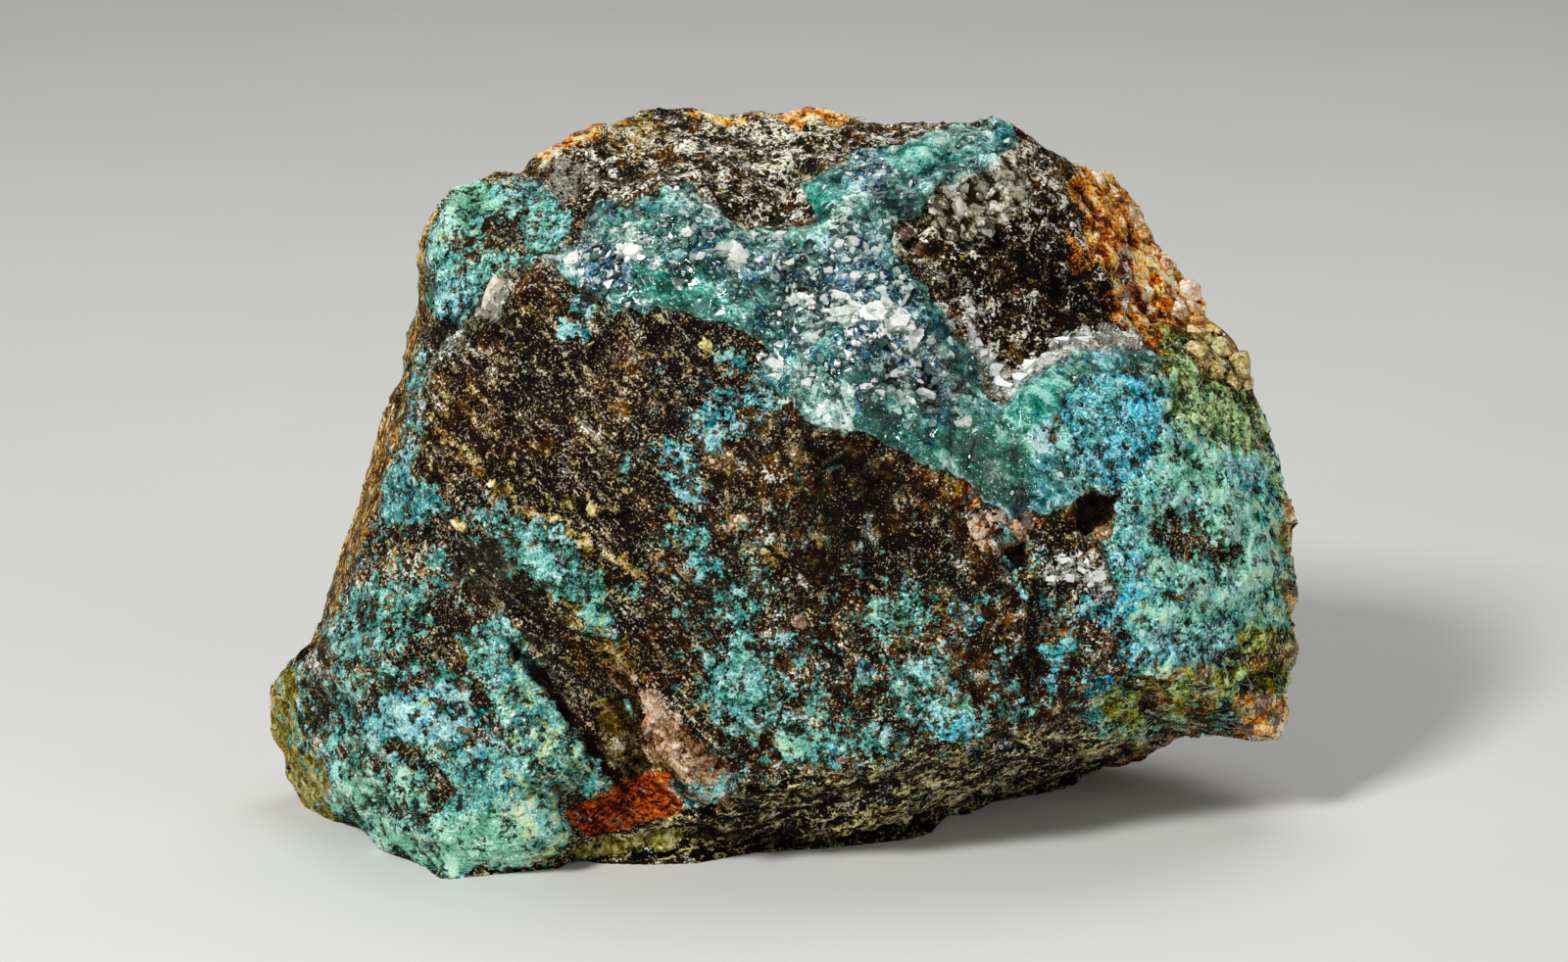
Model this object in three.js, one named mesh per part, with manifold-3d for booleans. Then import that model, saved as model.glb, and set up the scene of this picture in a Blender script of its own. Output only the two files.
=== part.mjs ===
// A hand specimen of plancheite: one broken piece of rock, about 95 mm wide, that stands on a flat
// fracture. Its display face leans back, the crust and veins of copper silicate cover that face, and
// the weathered back bulges behind it.
//
// The stone is described by points on its surface, in millimetres, as [across, up, back]:
//   RIM   the ring where the display face meets the back, in order round the stone
//   FACE  ridges, ledges and hollows of the display face, inside the rim
//   BACK  the same for the back
// Each set of points is joined into facets, the way a stone breaks, and a closed ball of triangles is
// drawn over the facets. The stone is then tilted back and cut off flat where it stands.
import * as THREE from "three";
import { mergeVertices } from "three/addons/utils/BufferGeometryUtils.js";
import Module from "manifold-3d";

// Driving dimensions, in millimetres and degrees.
const LEAN_DEG = 15; // how far the display face leans back from upright
const FLARE = 520; // the stone widens backwards by 1 part in this for each millimetre of depth
const SEAT = [0.25, -28.43, 38.2]; // across, back and up: puts the origin at the middle of the base
const HEART = [0, 0.1]; // across, up: every point of the rim can be seen from here
const DETAIL = 18; // the ball has 20 * (DETAIL + 1)^2 triangles
const FRONT_SHARE = 0.8; // below 1 the ball's triangles crowd towards the display face
const SOFTEN = 2.2; // radius over which the edges between facets are rounded
const COARSE = { size: 9, height: 0.7 }; // lumps of the broken surface
const FINE = { size: 4, height: 0.35 };

const RIM = [
  [44.3, 0.1, 28], [43.6, 3.9, 29], [42.3, 7.8, 30], [41, 11.1, 30], [39.8, 13, 31], [37.6, 14.5, 32],
  [37.6, 16, 33], [36.1, 17.6, 33], [34.8, 19.4, 33], [33.6, 20.2, 33], [32.5, 22.7, 34], [31.7, 24.8, 34],
  [30.8, 26, 34], [30, 26.2, 34], [29.3, 27.5, 33], [26.4, 28.4, 30], [23.8, 29.5, 28], [21.5, 31, 27],
  [19.3, 32.4, 26], [14.5, 31.9, 29], [9.7, 31.8, 32], [5.9, 32.5, 33], [1.8, 33.4, 34], [-1.6, 32.8, 33],
  [-5.1, 32.3, 32], [-8.9, 33.4, 33], [-10.8, 33.2, 33], [-15, 31.9, 31], [-19.2, 30.9, 30], [-22.6, 29, 29],
  [-23.8, 27.5, 28], [-25.6, 27.6, 28], [-28, 26.2, 26], [-29.7, 26, 25], [-31.2, 24.5, 25], [-32.5, 22, 28],
  [-32.7, 18.9, 29], [-32.7, 16, 29], [-34, 11.1, 30], [-34.1, 9.2, 31], [-35.2, 7.5, 31], [-36.3, 3.6, 32],
  [-37.4, 0.1, 32], [-39.7, -6.9, 32], [-42.3, -14.5, 31], [-44.3, -16, 32], [-45.8, -18.4, 33],
  [-45.5, -23.1, 34], [-44.5, -26.7, 34], [-43, -29, 33], [-40.5, -30.4, 30], [-37.9, -30.6, 25],
  [-35.6, -33.2, 20], [-32.1, -34.4, 16], [-31, -35.5, 13.5], [-29.9, -35.6, 13.5], [-24.9, -35.1, 14.5],
  [-20, -34.6, 15.5], [-18.6, -33.6, 16.5], [-16.7, -34.2, 17.3], [-12.2, -34.3, 17.6], [-7.9, -34.2, 18],
  [-2.9, -33.3, 20.5], [4.4, -32.8, 23], [11.1, -32.1, 25.5], [13.4, -31.4, 28], [14.6, -29.9, 31],
  [16.6, -29.8, 33], [18.7, -28.7, 37], [22.3, -28.1, 40], [25.6, -27.4, 43], [27.1, -26.3, 44],
  [28.3, -25.5, 44], [32.2, -25.1, 43], [33.2, -24, 40], [35.4, -22.9, 35], [37.6, -22.5, 30],
  [41.1, -23, 28], [44.2, -23.4, 27], [45.4, -21.1, 25.5], [44.8, -18, 26], [46.1, -14.9, 26],
  [45.4, -12.9, 26], [45.8, -9.6, 27], [45.1, -7.1, 27], [45.6, -3.9, 28],
];

const FACE = [
  [-22.3, 18.9, 10.2], [-24.9, 16.3, 11], [-27.3, 13.6, 11.2], [-32.2, 9.3, 13], [-32.9, 5.3, 12.8],
  [-32.7, 1.7, 12.3], [-28.9, -2.4, 10.5], [-25.4, -3.6, 9.4], [-21, -4.7, 8.6], [-16.6, -6.7, 8.2],
  [-12.7, -9.4, 8.2], [-17.5, 8, 7.2], [-21, 14.1, 8.8], [-15.7, 14.1, 8.4], [-8.8, 8, 6.2],
  [-24.5, 5.3, 8.8], [-21, 1, 7.6], [0, 1.8, 5.4], [-8.8, -0.8, 5.8], [-14, 1.8, 6.6], [4.4, -6, 5],
  [-1.8, -7.8, 5.6], [13.1, -6, 6.2], [8.8, -0.8, 5.6], [-3.5, -13.9, 6.4], [4.4, -13, 5.8],
  [8.8, -18.3, 6.6], [14, -14.8, 6.8], [0, -20, 7.2], [-5.2, -21.8, 8.2], [5.2, -24, 7.8],
  [17.5, -21.8, 9.2], [22.8, -20, 11.4], [-8.8, -17.4, 8.8], [-9.6, -13, 8.2], [21, -9.5, 8.4],
  [17.5, -11.3, 7.4], [-17.5, 23.3, 14], [-17.1, 20.2, 12.4], [-19.2, 18, 11.2], [-14, 22.7, 11.6],
  [-13.1, 16.7, 9.6], [-9.6, 24.1, 12], [-7, 23.3, 12], [-4.8, 21.5, 11.2], [-5.2, 16.7, 8.6],
  [-8.8, 19.3, 9.6], [-1.8, 14.1, 7.8], [0, 20, 10.2], [3.5, 21.3, 10.8], [4.4, 24.1, 12.4],
  [2.3, 26.2, 15.5], [7, 26.8, 15.5], [8.8, 24.1, 13], [11.4, 29.1, 19.5], [15.3, 30.7, 23],
  [18.8, 31.4, 25], [16.6, 28.5, 20.5], [6.1, 16.7, 8.2], [2.6, 11.5, 7.2], [6.1, 12.3, 6.4],
  [10.1, 13.6, 6.2], [12.2, 9.7, 7.6], [14, 14.1, 9.6], [9.2, 19.3, 11], [10.9, 16.7, 10.6], [8.8, 6.2, 6.4],
  [3.9, 6.9, 6.2], [16.2, 10.6, 10.6], [16.2, 8, 9.6], [17.5, 4.5, 9], [13.1, 2.7, 6.8], [17.5, -0.8, 8],
  [21.4, 1, 9.6], [21.9, -3, 9.4], [-18.4, 24.4, 17], [-19.9, 26.3, 21.5], [-22.3, 26.9, 25.5],
  [-12.7, 25.8, 16.2], [-8.8, 26.3, 16], [-5.1, 24.4, 15.6], [-3.7, 22.1, 14.6], [0, 22, 14.2],
  [2.8, 24.1, 15.6], [-14, 28.5, 22], [-8.8, 29.8, 24], [-3.5, 28.1, 22], [0, 25.5, 18.5], [2.6, 29.8, 24.5],
  [8.8, 29.8, 23.5], [11.4, 30.9, 26.5], [-17.5, 29, 25.5], [21, 30.3, 26], [17.5, 26.8, 18.8],
  [13.6, 25.9, 16.8], [12.1, 22.7, 14.4], [17.5, 22, 15.4], [22.8, 22, 18.5], [22.9, 26.8, 23.5],
  [25.8, 25.9, 25.5], [27.8, 20.6, 23], [14, 18.9, 13], [17.5, 15, 13.4], [22.8, 15, 16.2],
  [28.9, 15.1, 20.5], [18.4, 10.4, 12.2], [19.4, 8.4, 11.6], [22.8, 11.5, 14.6], [27.1, 12.8, 17.2],
  [32.8, 12.2, 21.8], [26.7, 27.4, 29], [28.2, 24.1, 27.5], [30.6, 20, 28], [31.9, 15, 25.5], [35.4, 15, 29],
  [34.1, 12.8, 25.5], [34.1, 17.1, 29], [30.4, 24.1, 31], [20.1, 6.9, 9.6], [22.8, 8.8, 10.8],
  [27.1, 10.8, 13], [33.2, 10.2, 17.6], [38.3, 9.4, 24], [40.4, 6.2, 25], [39.4, 3.6, 21.5], [33.2, 4.5, 14],
  [26.2, 4.5, 9.8], [23.2, 1, 8.4], [22.8, -3.8, 8.8], [27.1, -4.3, 9.2], [33.2, -4.3, 11.8],
  [39.4, -3.4, 17], [42.9, -2.5, 23], [42.9, -8.7, 20.5], [35, -11.3, 12.8], [26.2, -11.3, 9.8],
  [29.7, -7.8, 10], [42, -14.8, 20], [43.3, -11.3, 21.5], [35, -17.4, 15], [28, -17.4, 12.4],
  [39.4, -18.7, 20], [42.9, -21.3, 22.5], [40.7, -22, 24.5], [32.4, -20.5, 18], [37.2, -21.6, 24],
  [43.4, -22, 21.5], [42, -22.8, 24], [44.4, -19.6, 22.5], [-30.6, 24.4, 20], [-25.4, 26.7, 23.4],
  [-20.6, 25.3, 18.4], [-18.8, 22.1, 15.8], [-23.6, 22.8, 16.4], [-28, 20.6, 16.6], [-30.9, 16.7, 18],
  [-28, 15.1, 15.6], [-24.7, 17.9, 14.8], [-22.7, 20, 14.2], [-31.8, 12.3, 17.4], [-31.4, 20, 18.6],
  [-32.4, 11.3, 17.4], [-33.3, 8, 18], [-34.8, 3.6, 18.8], [-35.9, -0.8, 19.2], [-38, -6.9, 20],
  [-39.4, -10.6, 20.2], [-40.5, -14.1, 19.4], [-33.2, 4.5, 14.6], [-34.3, 1, 16.2], [-31.5, -1.3, 13],
  [-33.2, -4.3, 14.6], [-36.8, -9.5, 16.4], [-28, -8.7, 11], [-21, -10.4, 9.4], [-29.7, -4.7, 12.2],
  [-39.8, -17.4, 17.6], [-35, -13.9, 13.6], [-28, -14.8, 10.6], [-24.1, -13.9, 9], [-26.2, -20, 9],
  [-31.5, -21.8, 10.6], [-36.3, -21.8, 14], [-35, -27, 13], [-39.4, -22.2, 20.5], [-40.1, -27, 21],
  [-30.6, -31.4, 10.4], [-24.5, -27, 8.4], [-20.6, -19.6, 8], [-17.5, -24.4, 8.2], [-15.9, -27, 8.8],
  [-21, -31.4, 9.4], [-26.2, -34, 11.6], [-35.4, -31, 16], [-19.7, -33, 12.5], [-18.4, -14.3, 9.8],
  [-15.7, -18.3, 11.8], [-13.1, -22.7, 12.2], [-14, -26.2, 13.4], [-9.6, -23.5, 10.4], [-11.2, -20.9, 9.6],
  [-6.8, -26.3, 9.2], [-9.8, -27, 10.6], [-18.4, -29.5, 13.6], [-14.4, -28.8, 15], [-10.1, -28.3, 13],
  [-17.5, -31.4, 15], [-10.5, -30.7, 14.4], [-41.8, -15.1, 27], [-43.6, -18.3, 27.5], [-43, -23.5, 26.5],
  [-41.1, -27.5, 25.5], [-40.9, -19.2, 23.5], [-41.1, -23.5, 23.5], [-38, -29.5, 22], [-5.1, -27, 9.4],
  [0, -26.3, 9], [5.2, -26.6, 9.2], [11.4, -25.5, 9.8], [17.5, -24.2, 11.6], [24.5, -22.5, 14.6],
  [31.5, -22.3, 20], [-8.8, -32.1, 15.5], [0, -30.4, 15], [8.8, -29.5, 18], [17.5, -27, 22.5],
  [26.2, -24.9, 29.5], [33.2, -23.1, 31], [4.4, -31.4, 20], [13.1, -29.2, 24],
];

const BACK = [
  [-24.5, 22, 44], [-14, 25.5, 46], [0, 26.8, 47], [14, 25.9, 46.5], [24.5, 21.1, 45], [32.4, 14.1, 44],
  [-28, 14.1, 46], [-17.5, 16.7, 51], [-3.5, 18.5, 52.5], [11.4, 16.7, 51], [22.8, 11.5, 49.5],
  [-14, 2.7, 54], [-11.4, -9.5, 54.5], [-9.6, -20, 53], [-32.4, 5.3, 45], [-35, -6, 45.5],
  [-36.8, -16.5, 45], [-39.4, -24.4, 42], [35, 6.2, 44], [37.6, -4.3, 44], [38.1, -13, 43],
  [36.3, -19.6, 41], [25.4, 1, 50], [27.1, -11.3, 49.5], [24.5, -20, 48], [41.1, -21.3, 35],
  [43.4, -22.2, 32], [43.8, -18.3, 34], [38.5, -21.8, 38], [4.4, 6.2, 52.5], [7, -9.5, 53], [7, -21.8, 51],
  [-31.5, -27, 46], [-21, -27, 49], [-8.8, -27.9, 49.5], [4.4, -27.9, 48.5], [17.5, -26.2, 47.5],
  [28, -24.4, 45],
];

// Joins points into triangles, so that no point lies inside another triangle's circle.
function facets(points) {
  const all = points.map(([x, y]) => [x, y]);
  const n = all.length;
  all.push([-9000, -7000], [9000, -7100], [10, 9000]);
  let tris = [[n, n + 1, n + 2]];
  for (let i = 0; i < n; i++) {
    const [px, py] = all[i];
    const edges = new Map();
    const kept = [];
    for (const t of tris) {
      const [a, b, c] = t.map((k) => [all[k][0] - px, all[k][1] - py]);
      const inside =
        (a[0] * a[0] + a[1] * a[1]) * (b[0] * c[1] - c[0] * b[1]) -
        (b[0] * b[0] + b[1] * b[1]) * (a[0] * c[1] - c[0] * a[1]) +
        (c[0] * c[0] + c[1] * c[1]) * (a[0] * b[1] - b[0] * a[1]);
      if (inside <= 0) {
        kept.push(t);
        continue;
      }
      for (const [e, f] of [
        [t[0], t[1]],
        [t[1], t[2]],
        [t[2], t[0]],
      ]) {
        const back = f + "," + e;
        if (edges.has(back)) edges.delete(back);
        else edges.set(e + "," + f, [e, f]);
      }
    }
    tris = kept.concat([...edges.values()].map(([e, f]) => [e, f, i]));
  }
  return tris.filter((t) => t.every((k) => k < n));
}

// The depth of a faceted surface at any place across and up.
function surface(points) {
  const tris = facets(points).map((t) => {
    const [a, b, c] = t.map((k) => points[k]);
    const area = (b[0] - a[0]) * (c[1] - a[1]) - (c[0] - a[0]) * (b[1] - a[1]);
    return { a, b, c, area };
  });
  const at = (x, y) => {
    let best = null;
    for (const { a, b, c, area } of tris) {
      const u = ((x - a[0]) * (c[1] - a[1]) - (c[0] - a[0]) * (y - a[1])) / area;
      const v = ((b[0] - a[0]) * (y - a[1]) - (x - a[0]) * (b[1] - a[1])) / area;
      const out = Math.max(0, -u, -v, u + v - 1);
      if (best === null || out < best.out) best = { out, u, v, a, b, c };
      if (out === 0) break;
    }
    const u = Math.max(0, Math.min(1, best.u));
    const v = Math.max(0, Math.min(1 - u, best.v));
    return best.a[2] + u * (best.b[2] - best.a[2]) + v * (best.c[2] - best.a[2]);
  };
  return (x, y, round) => {
    let sum = 2 * at(x, y);
    for (let k = 0; k < 6; k++) {
      const turn = (k * Math.PI) / 3;
      sum += at(x + round * Math.cos(turn), y + round * Math.sin(turn));
    }
    return sum / 8;
  };
}

// How far the rim lies from the heart in a direction.
function rimRadius(turn) {
  const dx = Math.cos(turn);
  const dy = Math.sin(turn);
  let far = 0;
  for (let i = 0; i < RIM.length; i++) {
    const [ax, ay] = [RIM[i][0] - HEART[0], RIM[i][1] - HEART[1]];
    const j = (i + 1) % RIM.length;
    const [bx, by] = [RIM[j][0] - HEART[0], RIM[j][1] - HEART[1]];
    const det = dx * (ay - by) - dy * (ax - bx);
    if (Math.abs(det) < 1e-9) continue;
    const r = (ax * (ay - by) - ay * (ax - bx)) / det;
    const s = (dx * ay - dy * ax) / det;
    if (r > 0 && s >= -1e-9 && s <= 1 + 1e-9) far = Math.max(far, r);
  }
  return far;
}

// Smooth noise between -1 and 1.
function lattice(i, j, k) {
  let h = (i * 374761393 + j * 668265263 + k * 2147483647) | 0;
  h = Math.imul(h ^ (h >>> 13), 1274126177);
  h = Math.imul(h ^ (h >>> 16), 2246822519);
  return ((h ^ (h >>> 15)) >>> 0) / 2147483648 - 1;
}
function noise(p, size) {
  const q = p.map((x) => x / size);
  const base = q.map(Math.floor);
  const f = q.map((x, n) => x - base[n]).map((t) => t * t * t * (t * (6 * t - 15) + 10));
  let sum = 0;
  for (let c = 0; c < 8; c++) {
    const o = [c & 1, (c >> 1) & 1, c >> 2];
    const weight = o.reduce((w, bit, n) => w * (bit ? f[n] : 1 - f[n]), 1);
    sum += weight * lattice(base[0] + o[0], base[1] + o[1], base[2] + o[2]);
  }
  return sum;
}

const face = surface([...RIM, ...FACE]);
const back = surface([...RIM, ...BACK]);
const lean = THREE.MathUtils.degToRad(LEAN_DEG);

// [across, up, back] on the upright stone to x, y, z on the stone as it stands.
function stand([x, up, deep]) {
  const flare = 1 + deep / FLARE;
  return [
    x * flare + SEAT[0],
    up * flare * Math.sin(lean) + deep * Math.cos(lean) + SEAT[1],
    up * flare * Math.cos(lean) - deep * Math.sin(lean) + SEAT[2],
  ];
}

// A closed ball of triangles, drawn over the two surfaces.
const ball = new THREE.IcosahedronGeometry(1, DETAIL);
ball.deleteAttribute("normal");
ball.deleteAttribute("uv");
const skin = mergeVertices(ball, 1e-5);
const spot = skin.getAttribute("position");
for (let i = 0; i < spot.count; i++) {
  const n = [spot.getX(i), spot.getY(i), spot.getZ(i)];
  const turn = Math.atan2(n[2], n[0]);
  const tilt = 2 * Math.atan(FRONT_SHARE * Math.tan(Math.acos(THREE.MathUtils.clamp(-n[1], -1, 1)) / 2));
  const onFace = tilt <= Math.PI / 2;
  const t = onFace ? tilt : Math.PI - tilt;
  const share = (Math.sqrt(1 - Math.cos(t)) + Math.sin(t)) / 2;
  const r = share * rimRadius(turn);
  const x = HEART[0] + r * Math.cos(turn);
  const up = HEART[1] + r * Math.sin(turn);
  const round = Math.min(SOFTEN, 0.5 * (1 - share) * rimRadius(turn));
  const deep = (onFace ? face : back)(x, up, round);
  spot.setXYZ(i, ...stand([x, up, deep]));
}
skin.computeVertexNormals();
const out = skin.getAttribute("normal");
const lumps = [];
for (let i = 0; i < spot.count; i++) {
  const p = [spot.getX(i), spot.getY(i), spot.getZ(i)];
  const h = COARSE.height * noise(p, COARSE.size) + FINE.height * noise([p[1], p[2], p[0]], FINE.size);
  lumps.push([p[0] + h * out.getX(i), p[1] + h * out.getY(i), p[2] + h * out.getZ(i)]);
}
lumps.forEach((p, i) => spot.setXYZ(i, ...p));

// Cut off flat where it stands.
const wasm = await Module();
wasm.setup();
function solid(geometry) {
  const bare = geometry.clone();
  bare.deleteAttribute("normal");
  bare.deleteAttribute("uv");
  const merged = mergeVertices(bare, 1e-5);
  return new wasm.Manifold(
    new wasm.Mesh({
      numProp: 3,
      vertProperties: new Float32Array(merged.getAttribute("position").array),
      triVerts: new Uint32Array(merged.index.array),
    }),
  );
}
const ground = new THREE.BoxGeometry(300, 300, 60).translate(0, 0, -30);
const stone = solid(skin).subtract(solid(ground)).getMesh();
const geometry = new THREE.BufferGeometry()
  .setAttribute("position", new THREE.BufferAttribute(new Float32Array(stone.vertProperties), 3))
  .setIndex(new THREE.BufferAttribute(new Uint32Array(stone.triVerts), 1));
geometry.computeVertexNormals();

const rock = new THREE.Mesh(
  geometry,
  new THREE.MeshStandardMaterial({ color: 0x4f6f66, roughness: 0.85, metalness: 0 }),
);
rock.name = "plancheite_rock";

const specimen = new THREE.Group();
specimen.add(rock);
export default specimen;
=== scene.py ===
# The looks of a plancheite hand specimen: fractured rock, turquoise crust, glassy green vein, quartz,
# grains and fibres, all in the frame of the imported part. Lengths below are millimetres on the upright
# stone, [across, up, back], until place() puts them in the frame, in metres.
import math

import bmesh
import bpy
import numpy as np
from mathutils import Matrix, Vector, geometry


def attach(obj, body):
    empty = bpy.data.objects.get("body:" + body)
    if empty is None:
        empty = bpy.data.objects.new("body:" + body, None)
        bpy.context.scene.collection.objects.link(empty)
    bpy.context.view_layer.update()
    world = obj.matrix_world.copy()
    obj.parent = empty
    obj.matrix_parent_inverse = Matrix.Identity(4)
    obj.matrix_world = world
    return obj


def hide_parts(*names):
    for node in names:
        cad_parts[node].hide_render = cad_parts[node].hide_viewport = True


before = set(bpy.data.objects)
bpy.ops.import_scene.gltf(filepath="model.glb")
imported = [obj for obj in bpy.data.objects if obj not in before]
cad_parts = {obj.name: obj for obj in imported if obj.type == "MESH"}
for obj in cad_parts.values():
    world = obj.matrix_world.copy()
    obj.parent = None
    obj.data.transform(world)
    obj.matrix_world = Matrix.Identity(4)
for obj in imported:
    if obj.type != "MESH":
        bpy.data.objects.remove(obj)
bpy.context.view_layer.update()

RIM = [
  [44.3, 0.1, 28], [43.6, 3.9, 29], [42.3, 7.8, 30], [41, 11.1, 30], [39.8, 13, 31], [37.6, 14.5, 32],
  [37.6, 16, 33], [36.1, 17.6, 33], [34.8, 19.4, 33], [33.6, 20.2, 33], [32.5, 22.7, 34], [31.7, 24.8, 34],
  [30.8, 26, 34], [30, 26.2, 34], [29.3, 27.5, 33], [26.4, 28.4, 30], [23.8, 29.5, 28], [21.5, 31, 27],
  [19.3, 32.4, 26], [14.5, 31.9, 29], [9.7, 31.8, 32], [5.9, 32.5, 33], [1.8, 33.4, 34], [-1.6, 32.8, 33],
  [-5.1, 32.3, 32], [-8.9, 33.4, 33], [-10.8, 33.2, 33], [-15, 31.9, 31], [-19.2, 30.9, 30], [-22.6, 29, 29],
  [-23.8, 27.5, 28], [-25.6, 27.6, 28], [-28, 26.2, 26], [-29.7, 26, 25], [-31.2, 24.5, 25], [-32.5, 22, 28],
  [-32.7, 18.9, 29], [-32.7, 16, 29], [-34, 11.1, 30], [-34.1, 9.2, 31], [-35.2, 7.5, 31], [-36.3, 3.6, 32],
  [-37.4, 0.1, 32], [-39.7, -6.9, 32], [-42.3, -14.5, 31], [-44.3, -16, 32], [-45.8, -18.4, 33],
  [-45.5, -23.1, 34], [-44.5, -26.7, 34], [-43, -29, 33], [-40.5, -30.4, 30], [-37.9, -30.6, 25],
  [-35.6, -33.2, 20], [-32.1, -34.4, 16], [-31, -35.5, 13.5], [-29.9, -35.6, 13.5], [-24.9, -35.1, 14.5],
  [-20, -34.6, 15.5], [-18.6, -33.6, 16.5], [-16.7, -34.2, 17.3], [-12.2, -34.3, 17.6], [-7.9, -34.2, 18],
  [-2.9, -33.3, 20.5], [4.4, -32.8, 23], [11.1, -32.1, 25.5], [13.4, -31.4, 28], [14.6, -29.9, 31],
  [16.6, -29.8, 33], [18.7, -28.7, 37], [22.3, -28.1, 40], [25.6, -27.4, 43], [27.1, -26.3, 44],
  [28.3, -25.5, 44], [32.2, -25.1, 43], [33.2, -24, 40], [35.4, -22.9, 35], [37.6, -22.5, 30],
  [41.1, -23, 28], [44.2, -23.4, 27], [45.4, -21.1, 25.5], [44.8, -18, 26], [46.1, -14.9, 26],
  [45.4, -12.9, 26], [45.8, -9.6, 27], [45.1, -7.1, 27], [45.6, -3.9, 28],
]
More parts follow.
